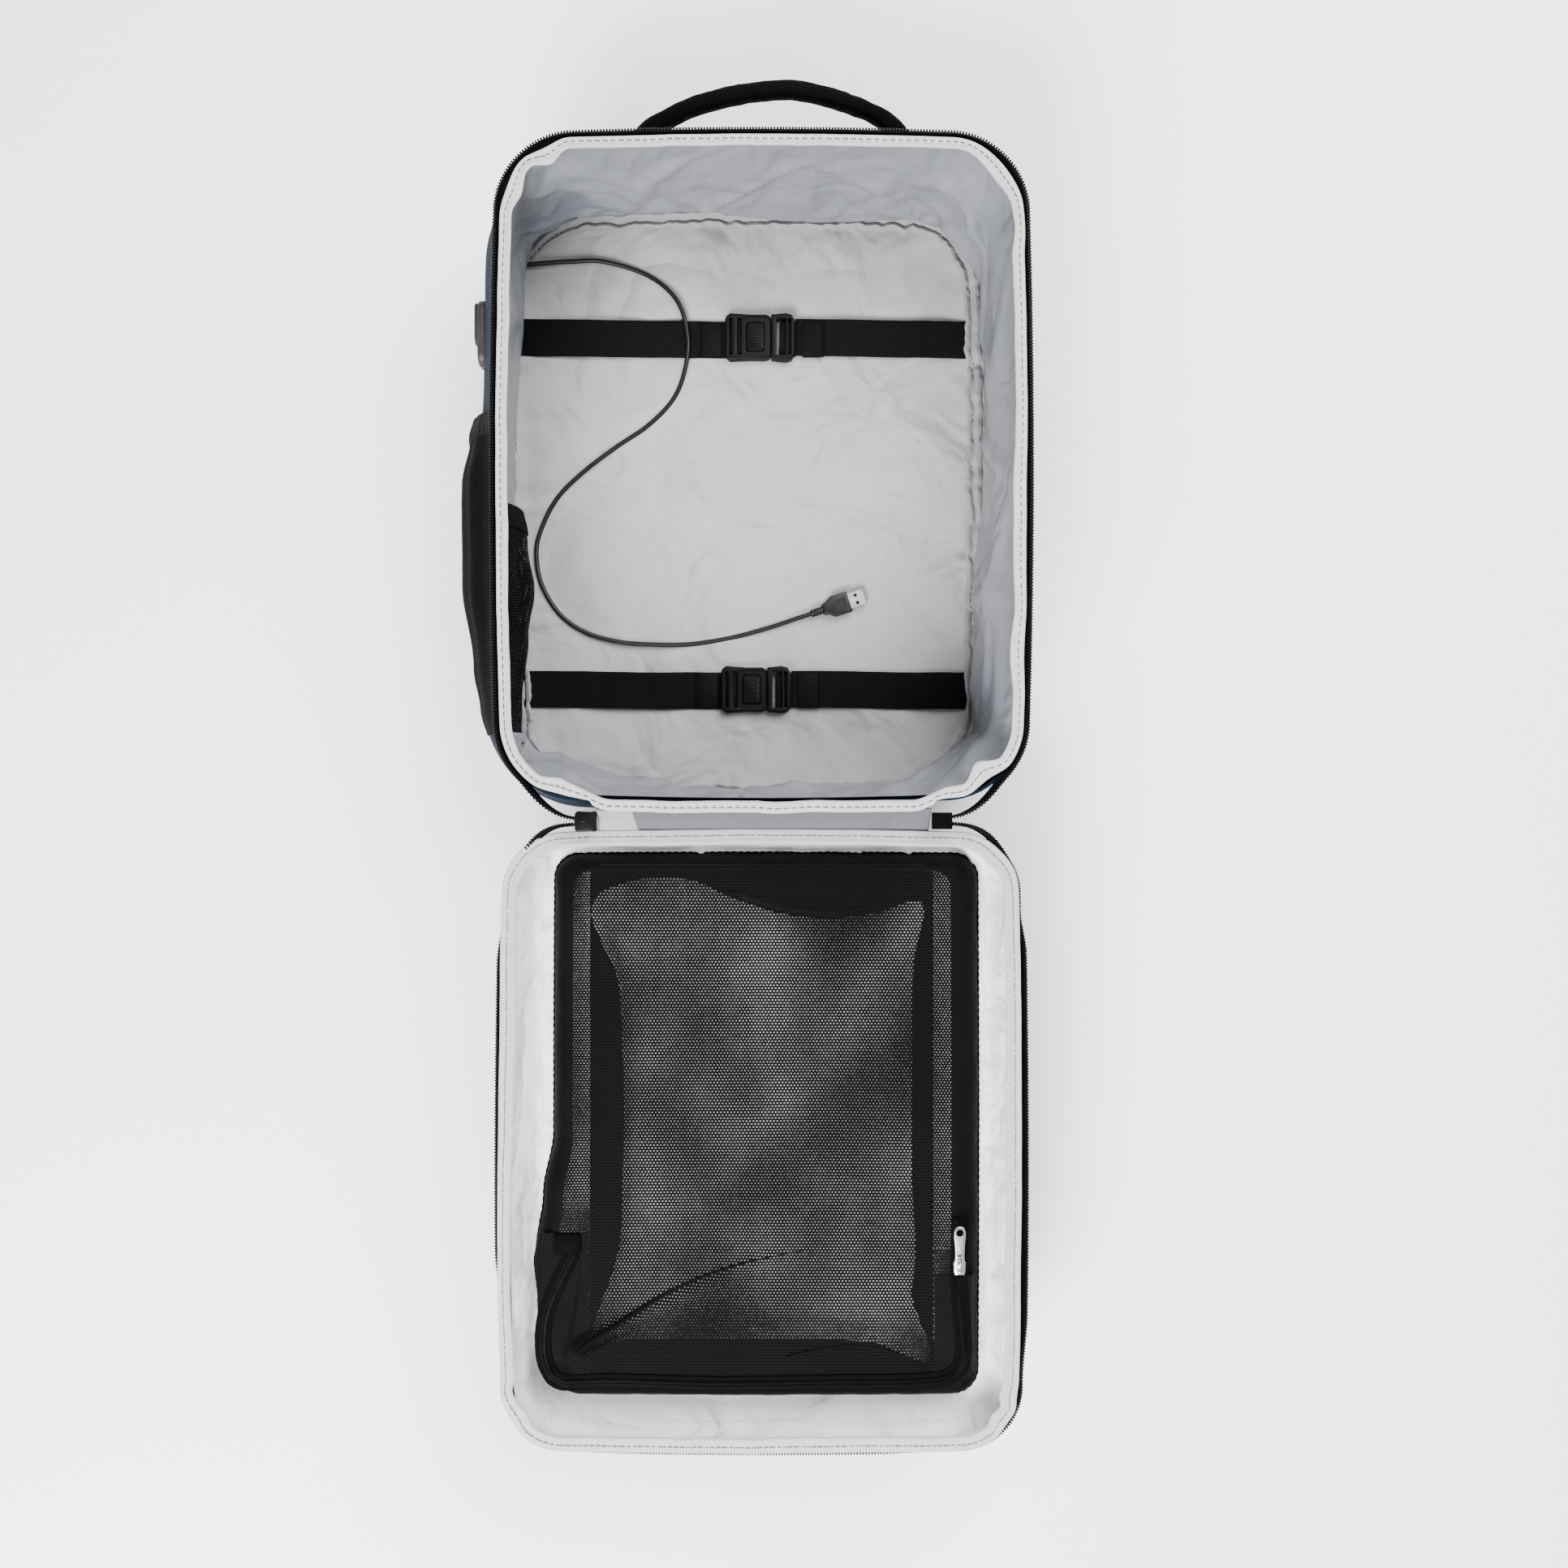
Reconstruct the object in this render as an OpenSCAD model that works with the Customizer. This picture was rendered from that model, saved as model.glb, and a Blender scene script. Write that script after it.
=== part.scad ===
// Clamshell travel backpack, lying open on its back: a deep padded shell with a carry handle,
// and a shallow lid folded out flat, with a zipped mesh compartment.
// X runs across the bag, +Y towards the carry handle, +Z up from the surface it lies on.

/* [Bag] */
// Width of the bag at its zipped rim
body_w = 364; // [330:1:440]
// Length of the bag, bottom panel to handle panel
body_l = 450; // [430:1:540]
// Height of the deep shell, from the floor to the rim
shell_h = 155; // [130:1:200]
// Depth of the lid tray
lid_h = 45; // [42:1:70]
// Corner radius of the rim, in plan
corner_r = 42; // [30:1:60]
// How far the lower part of the shell slumps to the left of the rim
slump = 15; // [0:1:20]
// Height at which the left wall starts to lean back in to the rim
shoulder_h = 110; // [100:1:120]
// Thickness of the padded outer panels
panel_t = 3; // [2:0.5:5]
// Thickness of the lining cloth as a solid
lining_t = 1.2; // [1:0.1:2]
// Thickness of the foam behind the shell's floor
foam_t = 6; // [4:0.5:10]
// Thickness of the foam in the lid
lid_foam_t = 3; // [2:0.5:5]

/* [Hinge] */
// Gap between the shell and the lid when the bag lies open
hinge_gap = 12; // [10:0.5:18]
// How much lower the open lid's rim lies than the shell's rim
hinge_drop = 24; // [10:1:40]
// Length of the cloth hinge strip
strip_l = 227; // [180:1:260]

/* [Rim and main zip] */
// Width of the rim band, zip tape to inner edge of the binding
rim_band_w = 13; // [10:0.5:18]
// Thickness of the zip tape
tape_t = 2; // [1:0.1:2.5]
// Height of the zip coil and of the binding above the tape
coil_h = 4.9; // [3:0.1:6]
// Width of the coil that shows outside the shell's binding
coil_w = 4.5; // [3:0.5:6]
// Width of the coil that shows outside the lid's binding
lid_coil_w = 2.5; // [2:0.5:4]
// Length of the main slider
slider_l = 16; // [12:0.5:20]
// Width of the main slider
slider_w = 13; // [9:0.5:14]
// Thickness of the main slider
slider_t = 8; // [6:0.5:10]
// Length of the main slider's pull
pull_l = 27; // [20:1:35]
// Length of the tape tab at the right end of the main zip
tab_l = 14; // [10:1:20]

/* [Handle] */
// Span of the handle between its two anchors
handle_span = 185; // [150:1:220]
// How far the handle stands out from the top panel
handle_rise = 54; // [45:1:80]
// Thickness of the handle webbing in plan
handle_t = 13; // [8:0.5:16]
// Width of the handle webbing, up and down
handle_w = 16; // [10:1:24]
// Offset of the handle's middle from the bag's middle
handle_x = 6; // [-10:1:10]
// Height of the handle above the floor
handle_z = 120; // [100:1:130]

/* [Packing straps] */
// Width of the elastic straps
strap_w = 28; // [20:1:32]
// Thickness of the elastic straps
strap_t = 1.6; // [1:0.1:2]
// Distance of the lower strap from the bottom panel
lower_strap_y = 88; // [70:1:120]
// Distance of the upper strap from the bottom panel
upper_strap_y = 357; // [320:1:370]
// Sideways place of the upper buckle
upper_buckle_x = -5; // [-30:1:30]
// Sideways place of the lower buckle
lower_buckle_x = -8; // [-30:1:30]

/* [Buckle] */
// Length of the buckle's socket half
buckle_body_l = 35; // [32:0.5:45]
// Length of the frame of the buckle's tongue half
buckle_frame_l = 18; // [14:0.5:22]
// Width of the buckle
buckle_w = 36; // [34:0.5:44]
// Thickness of the buckle
buckle_t = 10; // [9:0.5:14]
// Length of the release button along the strap
button_l = 13.5; // [10:0.5:16]
// Width of the release button across the strap
button_w = 22; // [16:0.5:26]
// Travel of the release button
button_travel = 1.5; // [1:0.1:2]
// Length of the tongue blade inside the socket half
blade_l = 19; // [14:0.5:22]

/* [Lead and plug] */
// Diameter of the lead
lead_d = 3.5; // [3:0.1:4]
// Radius of the grommet in the lining
grommet_r = 3.5; // [3:0.1:4]
// Width of the plug's moulded body
plug_w = 16; // [14:0.5:18]
// Thickness of the plug's moulded body
plug_t = 7.5; // [6:0.5:9]
// Width of the plug's metal shell
plug_shell_w = 12; // [11:0.1:13]
// Thickness of the plug's metal shell
plug_shell_t = 4.5; // [4:0.1:5]
// Length of the plug's metal shell
plug_shell_l = 12.5; // [11:0.1:14]

/* [Charging port] */
// Length of the port housing along the bag
port_l = 47; // [40:1:60]
// Height of the port housing
port_w = 24; // [20:1:30]
// How far the port housing stands proud of the side
port_t = 6; // [5:0.5:10]
// Distance of the middle of the port from the bottom panel
port_y = 336; // [310:1:350]
// Height of the middle of the port
port_z = 92; // [70:1:95]
// Thickness of the port's rubber flap
flap_t = 2; // [1:0.1:3]
// Length of the port's rubber flap
flap_l = 30; // [22:1:32]

/* [Side pockets] */
// Distance of the outer pocket's mouth from the bottom panel
outer_mouth_y = 272; // [240:1:290]
// Distance of the pockets' lower ends from the bottom panel
pocket_foot_y = 50; // [45:1:60]
// How far the outer pocket stands out from the side
outer_pocket_t = 15; // [12:0.5:20]
// Distance of the inner pocket's mouth from the bottom panel
inner_mouth_y = 216; // [190:1:230]
// How far the inner pocket stands out from the lining
inner_pocket_t = 21; // [16:0.5:24]
// Height of the pockets' lower edges
pocket_z = 30; // [26:1:35]
// Height of the pockets, up and down
pocket_w = 78; // [60:1:80]
// Width of the elastic at the pocket mouths
mouth_band_w = 16; // [8:1:20]
// Thickness of the pocket cloth as a solid
pocket_cloth_t = 1.5; // [1:0.1:2]

/* [Mesh compartment] */
// Width of the mesh compartment
mesh_w = 305; // [280:1:320]
// Length of the mesh compartment
mesh_l = 386; // [330:1:400]
// Distance of the compartment from the lid's hinge side
mesh_inset = 20; // [16:1:40]
// Corner radius of the compartment
mesh_r = 18; // [12:1:26]
// Height of the compartment's gusset
gusset_h = 17.3; // [12:0.1:20]
// Thickness of the mesh as a solid
mesh_t = 1.5; // [1:0.1:2]
// Distance of the compartment's zip from the edge of the compartment
zip_inset = 17; // [16:0.5:22]
// Width of the compartment zip's coil
small_coil_w = 6; // [5:0.5:7]
// Width of the compartment zip's tape
small_tape_w = 16; // [13:0.5:18]
// Length of the small slider
small_slider_l = 13; // [10:0.5:16]
// Length of the small slider's pull
small_pull_l = 28; // [20:0.5:34]
// Width of the small slider's pull
small_pull_w = 8; // [7:0.5:10]

/* [Hidden] */
$fn = 64;

// Clearance between soft pieces, and between pieces that slide
gap = 0.3;
// Overshoot of a cut past the face that it opens
cut = 1;

// Heights in the shell
rim_z = shell_h - 0.5;              // top of the binding and coil
tape_top = rim_z - coil_h - gap;    // top of the zip tape
wall_top = tape_top - tape_t - gap; // top of the outer wall
foam_z = panel_t + gap;
floor_z = foam_z + foam_t + gap;
floor_top = floor_z + lining_t;
lining_in = panel_t + gap + lining_t;
shell_left = -body_w / 2 - slump;
shell_right = body_w / 2 - slump;

// Heights in the lid, which is as deep as lid_h below its own rim
lid_rim_plane = shell_h - hinge_drop;
lid_z = lid_rim_plane - lid_h;
lid_rim_z = lid_rim_plane - 0.5;
lid_tape_top = lid_rim_z - coil_h - gap;
lid_wall_top = lid_tape_top - tape_t - gap;
lid_foam_z = lid_z + panel_t + gap;
lid_floor_z = lid_foam_z + lid_foam_t + gap;
lid_floor_top = lid_floor_z + lining_t;
hinge_y = -hinge_gap / 2;
hinge_z = shell_h - hinge_drop / 2;

// The whole bag's middle, so that the origin lies under the middle of its box
x_low = shell_left - outer_pocket_t;
x_high = body_w / 2;
y_low = -hinge_gap - body_l;
y_high = body_l + handle_rise;
middle = [(x_low + x_high) / 2, (y_low + y_high) / 2, 0];

module rounded(w, l, r) {
    square([w - 2 * r, l], center = true);
    square([w, l - 2 * r], center = true);
    for (x = [-1, 1], y = [-1, 1])
        translate([x * (w / 2 - r), y * (l / 2 - r)]) circle(r);
}

// The rim's outline, drawn in by an inset
module rim(inset = 0) {
    translate([0, body_l / 2])
        rounded(body_w - 2 * inset, body_l - 2 * inset, corner_r - inset);
}

module lid_rim(inset = 0) {
    translate([0, -hinge_gap - body_l]) rim(inset);
}

// The floor's outline, which has slumped to the left of the rim
module base(inset = 0) {
    translate([-slump, 0]) rim(inset);
}

module slab(z, t) {
    translate([0, 0, z]) linear_extrude(t) children();
}

// The space inside the shell's walls, from the floor to the rim
module shell_loft(inset, bottom, top) {
    hull() {
        slab(bottom, shoulder_h - bottom) base(inset, $fn = 32);
        slab(wall_top, top - wall_top) rim(inset, $fn = 32);
    }
}

module shell_ring(outer, inner, bottom) {
    difference() {
        shell_loft(outer, bottom, wall_top + 0.01);
        shell_loft(inner, bottom - cut, wall_top + cut);
    }
}

/* ---- Shell ---- */

module shell_back_panel() {
    color("#22384b") slab(0, panel_t) base();
}

module shell_gusset() {
    color("#1b3c56") difference() {
        shell_ring(0, panel_t, panel_t);
        port_hole();
    }
}

module port_hole() {
    translate([shell_left - cut, port_y + socket_shift - socket_l / 2 - gap,
               port_z - socket_w / 2 - gap])
        cube([panel_t + 2 * cut, socket_l + 2 * gap, socket_w + 2 * gap]);
}

module back_foam() {
    color("#d8d8d2") slab(foam_z, foam_t) base(panel_t + gap);
}

module floor_lining() {
    color("#b9bbbc") slab(floor_z, lining_t) base(lining_in + gap);
}

module wall_lining() {
    color("#b4b8c2") shell_ring(panel_t + gap, lining_in, floor_z);
}

piping_w = 5;
piping_h = 4;
piping_z = floor_top + gap;
piping_in = lining_in + 2 * gap;

module floor_piping() {
    color("#a9abac") slab(piping_z, piping_h) difference() {
        base(piping_in);
        base(piping_in + piping_w);
    }
}

// Rim strip between two insets, open along the hinge between the slider and the tab
module zip_ring(outer, inner) {
    difference() {
        rim(outer);
        rim(inner);
        translate([-strip_l / 2 - slider_l - gap, -cut])
            square([strip_l + slider_l + tab_l + 3 * gap, inner + 2 * cut]);
    }
}

module shell_zip_tape() {
    color("#151515") slab(tape_top - tape_t, tape_t) zip_ring(0, rim_band_w);
}

module shell_zip_coil() {
    color("#202020") slab(tape_top + gap, coil_h) zip_ring(0, coil_w);
}

module shell_binding() {
    color("#d9d9d4") slab(tape_top + gap, coil_h) difference() {
        rim(coil_w + gap);
        rim(rim_band_w);
    }
}

/* ---- Hinge and main zip ---- */

strip_t = 2;
strip_edge = 4;     // how far below the wall's top the strip is sewn on

// Cloth from the shell's wall down to the lid's wall
module hinge_strip() {
    high = wall_top - strip_edge;
    low = lid_wall_top - strip_edge;
    color("#dcdcdf") translate([-strip_l / 2, 0, 0]) rotate([90, 0, 90]) linear_extrude(strip_l)
        polygon([[-gap, high], [-gap, high - strip_t], [-hinge_gap + gap, low - strip_t],
                 [-hinge_gap + gap, low]]);
}

slider_x = -strip_l / 2 - gap - slider_l / 2;
slider_y = -slider_w / 2;   // the slider lies against the shell's wall
channel_w = 6.5;    // channel that the coils run in
channel_h = 3.2;
prong_l = 6;        // notches between the slider's nose and its plates
prong_w = 3.2;
prong_h = 2;
pull_t = 1.2;
main_pull_w = 2 * (hinge_gap + slider_y - 1);    // clear of the lid's wall
main_pull_tip = 8;

// The lug that a pull hangs on
crown_l = 6;
crown_w = 2.4;
crown_h = 3.2;
crown_wall = 0.9;
crown_floor = 0.4;
eye_r = 0.6;        // radius of the pull's bar in the lug
eye_z = 1.4;        // height of the bar's middle in the lug
eye_l = 5.2;        // length of the slot in the pull, round the lug
bar_end = 0.1;      // how far the bar runs into each side of the slot
bar_land = 1;       // width of the pull on each side of its bar

// A zip slider's lug, standing on z = 0, open along Y for the pull's bar
module lug() {
    translate([-crown_l / 2, -crown_w / 2, 0]) difference() {
        cube([crown_l, crown_w, crown_h]);
        translate([crown_wall, -cut, crown_floor])
            cube([crown_l - 2 * crown_wall, crown_w + 2 * cut, crown_h - crown_wall - crown_floor]);
    }
}

// A pull that lies along +X with its bar on the Y axis, its eye cut round the lug
module pull_tab(l, w, tip_w) {
    slot_w = crown_w + 2 * gap;
    shoulder = 0.4 * l;
    tip_x = l - w / 2;
    rotate([90, 0, 0]) cylinder(r = eye_r, h = slot_w + 2 * bar_end, center = true);
    difference() {
        translate([0, 0, -pull_t / 2]) linear_extrude(pull_t) {
            translate([0, -w / 2]) square([shoulder, w]);
            polygon([[shoulder, -w / 2], [tip_x, -tip_w / 2], [tip_x, tip_w / 2], [shoulder, w / 2]]);
            translate([tip_x, 0]) circle(tip_w / 2);
        }
        translate([-cut, -slot_w / 2, -pull_t]) cube([eye_l + cut, slot_w, 2 * pull_t]);
        translate([tip_x - bar_land, 0, -pull_t]) cylinder(r = 0.28 * tip_w, h = 2 * pull_t);
    }
}

module main_slider() {
    color("#1a1a1a") translate([slider_x, slider_y, hinge_z]) {
        difference() {
            cube([slider_l, slider_w - 2 * gap, slider_t], center = true);
            cube([slider_l + 2 * cut, channel_w, channel_h], center = true);
            for (side = [-1, 1])
                translate([-slider_l / 2, side * slider_w * 0.3, 0])
                    cube([prong_l, prong_w, prong_h], center = true);
        }
        translate([0, 0, -slider_t / 2]) mirror([0, 0, 1]) lug();
    }
}

module main_pull() {
    color("#1a1a1a") translate([slider_x, slider_y, hinge_z - slider_t / 2 - eye_z])
        rotate([0, 90, 0]) pull_tab(pull_l, main_pull_w, main_pull_tip);
}

module zip_end_tab() {
    color("#141414") translate([strip_l / 2 + gap, -hinge_gap + gap, hinge_z - tape_t / 2])
        cube([tab_l, hinge_gap - 2 * gap, tape_t]);
}

/* ---- Handle ---- */

pivot_r = handle_w / 2;
pivot_y = body_l + gap + pivot_r;
anchor_h = 10;      // height of the sewn ends between the panel and the pivot
handle_out_r = (handle_span * handle_span / 4 + handle_rise * handle_rise) / (2 * handle_rise);
handle_mid_y = body_l + handle_rise - handle_out_r;

// Plan of the handle, an arc on the top panel
module handle_plan() {
    translate([handle_x, handle_mid_y]) difference() {
        circle(handle_out_r, $fn = 128);
        circle(handle_out_r - handle_t, $fn = 128);
    }
}

module handle_anchors() {
    color("#101010") intersection() {
        slab(handle_z - pivot_r, handle_w) intersection() {
            handle_plan();
            translate([-body_w / 2, body_l + gap]) square([body_w, 2 * pivot_r]);
        }
        union() {
            translate([-body_w / 2, body_l, handle_z - anchor_h / 2])
                cube([body_w, pivot_r + gap, anchor_h]);
            handle_pivot(pivot_r);
        }
    }
}

module handle_pivot(r) {
    translate([-body_w / 2, pivot_y, handle_z]) rotate([0, 90, 0]) cylinder(r = r, h = body_w);
}

module carry_handle() {
    color("#101010") difference() {
        slab(handle_z - handle_w / 2, handle_w) intersection() {
            handle_plan();
            translate([-body_w / 2, pivot_y]) square([body_w, handle_rise]);
        }
        handle_pivot(pivot_r + gap);
    }
}

/* ---- Charging port on the left side ---- */

socket_l = 14;
socket_w = 7;
socket_shift = 8;
socket_wall = 0.7;
socket_lip = 1;     // how far the contacts' tongue lies inside the mouth
contact_t = 1.4;
contact_gap = 2.2;  // from the top of the socket's mouth to the bottom of its tongue
flap_edge = 2;      // width of the housing's edge left round the flap
port_face = shell_left - gap - port_t;

// Stadium-shaped plate standing on the left wall, its flat side in the YZ plane
module port_plate(x, t, l, w, y) {
    translate([x, y, port_z]) rotate([90, 0, 90]) linear_extrude(t) {
        square([l - w, w], center = true);
        for (side = [-1, 1]) translate([side * (l - w) / 2, 0]) circle(w / 2);
    }
}

module port_housing() {
    color("#5b5450") difference() {
        port_plate(port_face, port_t, port_l, port_w, port_y);
        translate([port_face - cut, port_y + socket_shift - socket_l / 2 - gap,
                   port_z - socket_w / 2 - gap])
            cube([port_t + 2 * cut, socket_l + 2 * gap, socket_w + 2 * gap]);
    }
}

module port_socket() {
    socket_d = port_t + panel_t - gap;
    color("#b8b8bb") translate([port_face + gap, port_y + socket_shift - socket_l / 2,
                                port_z - socket_w / 2]) {
        difference() {
            cube([socket_d, socket_l, socket_w]);
            translate([-cut, socket_wall, socket_wall])
                cube([socket_d + cut - socket_wall, socket_l - 2 * socket_wall,
                      socket_w - 2 * socket_wall]);
        }
        translate([socket_lip, 2 * socket_lip, socket_w - socket_wall - contact_gap])
            cube([socket_d - socket_lip - socket_wall, socket_l - 4 * socket_lip, contact_t]);
    }
}

module port_flap() {
    flap_w = port_w - 2 * flap_edge;
    flap_y = port_y + port_l / 2 - flap_edge - flap_l;
    color("#4a4441") translate([port_face - gap - flap_t, flap_y, port_z - flap_w / 2]) {
        translate([0, flap_t / 2, 0]) cube([flap_t, flap_l - flap_w / 2 - flap_t / 2, flap_w]);
        translate([flap_t / 2, flap_t / 2, 0]) cylinder(r = flap_t / 2, h = flap_w);
        translate([0, flap_l - flap_w / 2, flap_w / 2]) rotate([0, 90, 0])
            cylinder(r = flap_w / 2, h = flap_t);
    }
}

/* ---- Lead and plug ---- */

strap_lift = 2.4;   // how far the taut straps stand off the floor
strap_z = floor_top + gap + strap_lift;
strap_top = strap_z + strap_t;
lead_low = floor_top + gap + lead_d / 2;
lead_high = strap_top + 2 * gap + lead_d / 2;
grommet_y = 412;
grommet_z = piping_z + piping_h + gap + grommet_r;
grommet_t = 2.5;
corner_dy = max(0, grommet_y + grommet_r - (body_l - corner_r));
grommet_x = shell_left + corner_r - sqrt(pow(corner_r - lining_in, 2) - pow(corner_dy, 2)) + gap;
lead_start = [grommet_x + grommet_t, grommet_y, grommet_z];
plug_z = floor_top + gap + plug_t / 2;
plug_deg = 18;
plug_end = [34, 146, plug_z];

// The lead's route, straight out of the lining, over the upper strap, and round to the plug
lead_route = [
    lead_start, [-180, 412.5, grommet_z - 0.2], [-168, 414, grommet_z - 3],
    [-150, 416, lead_low + 0.5], [-124, 416, lead_low], [-90, 405, lead_low + 0.4],
    [-68, 385, lead_high], [-60, 358, lead_high], [-62, 333, lead_high],
    [-71, 311, lead_low + 0.4], [-90, 291, lead_low], [-115, 274, lead_low],
    [-140, 255, lead_low], [-160, 235, lead_low], [-172, 212, lead_low],
    [-176, 193, lead_low], [-172, 169, lead_low], [-158, 146, lead_low],
    [-138, 132, lead_low], [-113, 125, lead_low], [-90, 123, lead_low],
    [-59, 123, lead_low], [-27, 128, lead_low], [2, 135.6, lead_low + 0.6],
    [22.6, 142.3, plug_z], plug_end];

// Catmull-Rom point between b and c, at t from 0 to 1
function between(a, b, c, d, t) =
    0.5 * (2 * b + (c - a) * t + (2 * a - 5 * b + 4 * c - d) * t * t
           + (3 * b - a - 3 * c + d) * t * t * t);
function route_point(p, i) = p[min(max(i, 0), len(p) - 1)];
function smooth_route(p, steps) = concat(
    [for (i = [0 : len(p) - 2], k = [0 : steps - 1])
        between(route_point(p, i - 1), p[i], p[i + 1], route_point(p, i + 2), k / steps)],
    [p[len(p) - 1]]);
function unit(v) = v / norm(v);
function heading(q, i) =
    i == 0 ? [1, 0, 0] :
    i == len(q) - 1 ? [cos(plug_deg), sin(plug_deg), 0] :
    unit(q[i + 1] - q[i - 1]);

// A tube of radius r along the points q, closed at both ends
module tube(q, r, sides) {
    rings = [for (i = [0 : len(q) - 1])
        let (ahead = heading(q, i), side = unit(cross(ahead, [0, 0, 1])), up = cross(side, ahead))
        for (k = [0 : sides - 1])
            q[i] + r * (cos(360 * k / sides) * side + sin(360 * k / sides) * up)];
    walls = [for (i = [0 : len(q) - 2], k = [0 : sides - 1])
        let (a = i * sides, m = (k + 1) % sides)
        [a + k, a + sides + k, a + sides + m, a + m]];
    polyhedron(rings, concat(walls, [[for (k = [0 : sides - 1]) k]],
        [[for (k = [sides - 1 : -1 : 0]) (len(q) - 1) * sides + k]]));
}

module lead_grommet() {
    color("#1c1c1c") translate([grommet_x, grommet_y, grommet_z]) rotate([0, 90, 0])
        cylinder(r = grommet_r, h = grommet_t);
}

module usb_lead() {
    color("#141414") tube(smooth_route(lead_route, 3), lead_d / 2, 8);
}

relief_l = 10;
relief_r = 2.6;
rib_first = 2;      // place of the relief's first groove
rib_step = 2.5;
rib_l = 1;
rib_depth = 0.6;
neck_l = 8;
neck_w = 8;
plug_body_l = 13;
shell_wall = 0.4;
shell_hole = 2.4;   // side of the two square holes in the metal shell
shell_hole_x = 5.6;
insulator_t = 1.6;
insulator_gap = 0.1;

module at_plug() {
    translate(plug_end) rotate([0, 0, plug_deg]) children();
}

module plug_overmould() {
    color("#1b1b1d") at_plug() {
        difference() {
            rotate([0, 90, 0]) cylinder(r = relief_r, h = relief_l);
            for (i = [0 : 2])
                translate([rib_first + rib_step * i, 0, 0]) rotate([0, 90, 0]) difference() {
                    cylinder(r = relief_r + cut, h = rib_l);
                    cylinder(r = relief_r - rib_depth, h = rib_l);
                }
        }
        translate([relief_l, 0, -plug_t / 2]) linear_extrude(plug_t) {
            polygon([[0, -neck_w / 2], [neck_l, -plug_w / 2], [neck_l, plug_w / 2],
                     [0, neck_w / 2]]);
            translate([neck_l, -plug_w / 2]) square([plug_body_l, plug_w]);
        }
    }
}

plug_nose = relief_l + neck_l + plug_body_l;

module plug_shell() {
    color("#d5d2cb") at_plug() translate([plug_nose, 0, 0]) difference() {
        translate([0, -plug_shell_w / 2, -plug_shell_t / 2])
            cube([plug_shell_l, plug_shell_w, plug_shell_t]);
        translate([-cut, -plug_shell_w / 2 + shell_wall, -plug_shell_t / 2 + shell_wall])
            cube([plug_shell_l + 2 * cut, plug_shell_w - 2 * shell_wall,
                  plug_shell_t - 2 * shell_wall]);
        for (side = [-1, 1])
            translate([shell_hole_x, side * plug_shell_w / 4 - shell_hole / 2, 0])
                cube([shell_hole, shell_hole, plug_shell_t]);
    }
}

module plug_insulator() {
    inset = shell_wall + insulator_gap;
    color("#202022") at_plug()
        translate([plug_nose, inset - plug_shell_w / 2, inset - plug_shell_t / 2])
            cube([plug_shell_l - 1, plug_shell_w - 2 * inset, insulator_t]);
}

/* ---- Packing straps ---- */

strap_left_end = shell_left + piping_in + piping_w + gap;
strap_right_end = shell_right - piping_in - piping_w - gap;
side_bar = 3;       // outer bars of the slots
web_bar = 3;        // bar that the webbing folds round
body_slot = 4;      // slot in the socket half
frame_lip = 2;      // solid part of the frame beside the split
buckle_z = floor_top + gap;
blade_gap = 0.3;
body_bulge = 1.8;
frame_bulge = 0.8;
blade_w = 23;
blade_t = 2.4;
blade_z = 2.7;
window_z = 6.2;
button_x = 5;       // from the split to the button
button_sunk = 0.4;  // how far the button's top lies below the buckle's
button_rest_z = window_z + gap + button_travel;
button_top_z = buckle_t - button_sunk;
sink_edge = 2.5;    // width of the sunk surround of the button
sink_depth = 1.5;
grip_rows = 3;
grip_columns = 6;
grip_r = 0.8;
grip_h = 0.3;

module strap(y, from_x, to_x) {
    color("#121212") translate([from_x, y - strap_w / 2, strap_z])
        cube([to_x - from_x, strap_w, strap_t]);
}

// Places a buckle whose split between its halves is at x, on the strap at y
module at_buckle(x, y) {
    translate([x, y, buckle_z]) children();
}

// Block of length l towards -X whose long sides draw in by a bulge towards its far end
module barrel(l, w, t, bulge) {
    arc_r = (l * l + bulge * bulge) / (2 * bulge);
    linear_extrude(t) intersection() {
        translate([-l, -w / 2]) square([l, w]);
        translate([0, w / 2 - arc_r]) circle(arc_r, $fn = 128);
        translate([0, arc_r - w / 2]) circle(arc_r, $fn = 128);
    }
}

module buckle_body() {
    color("#1d1d1f") difference() {
        barrel(buckle_body_l, buckle_w, buckle_t, body_bulge);
        // slots on both sides of the bar that the webbing folds round
        translate([-buckle_body_l - cut, -strap_w / 2 - gap, -cut])
            cube([side_bar + cut, strap_w + 2 * gap, buckle_t + 2 * cut]);
        translate([-buckle_body_l + side_bar + web_bar, -strap_w / 2 - gap, -cut])
            cube([body_slot, strap_w + 2 * gap, buckle_t + 2 * cut]);
        // mouth for the blade
        translate([-blade_l - blade_gap, -blade_w / 2 - blade_gap, blade_z - blade_gap])
            cube([blade_l + blade_gap + cut, blade_w + 2 * blade_gap, blade_t + 2 * blade_gap]);
        // sunk surround and window of the button
        translate([-button_x - button_l - sink_edge, -button_w / 2 - sink_edge,
                   buckle_t - sink_depth])
            cube([button_l + 2 * sink_edge, button_w + 2 * sink_edge, sink_depth + cut]);
        translate([-button_x - button_l - gap, -button_w / 2 - gap, window_z])
            cube([button_l + 2 * gap, button_w + 2 * gap, buckle_t]);
    }
}

module buckle_button() {
    color("#242426") translate([-button_x - button_l, -button_w / 2, button_rest_z]) {
        cube([button_l, button_w, button_top_z - button_rest_z]);
        for (i = [0 : grip_rows - 1], j = [0 : grip_columns - 1])
            translate([(i + 0.75) * button_l / (grip_rows + 0.5),
                       (j + 1) * button_w / (grip_columns + 1), button_top_z - button_rest_z])
                cylinder(r = grip_r, h = grip_h, $fn = 24);
    }
}

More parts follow.
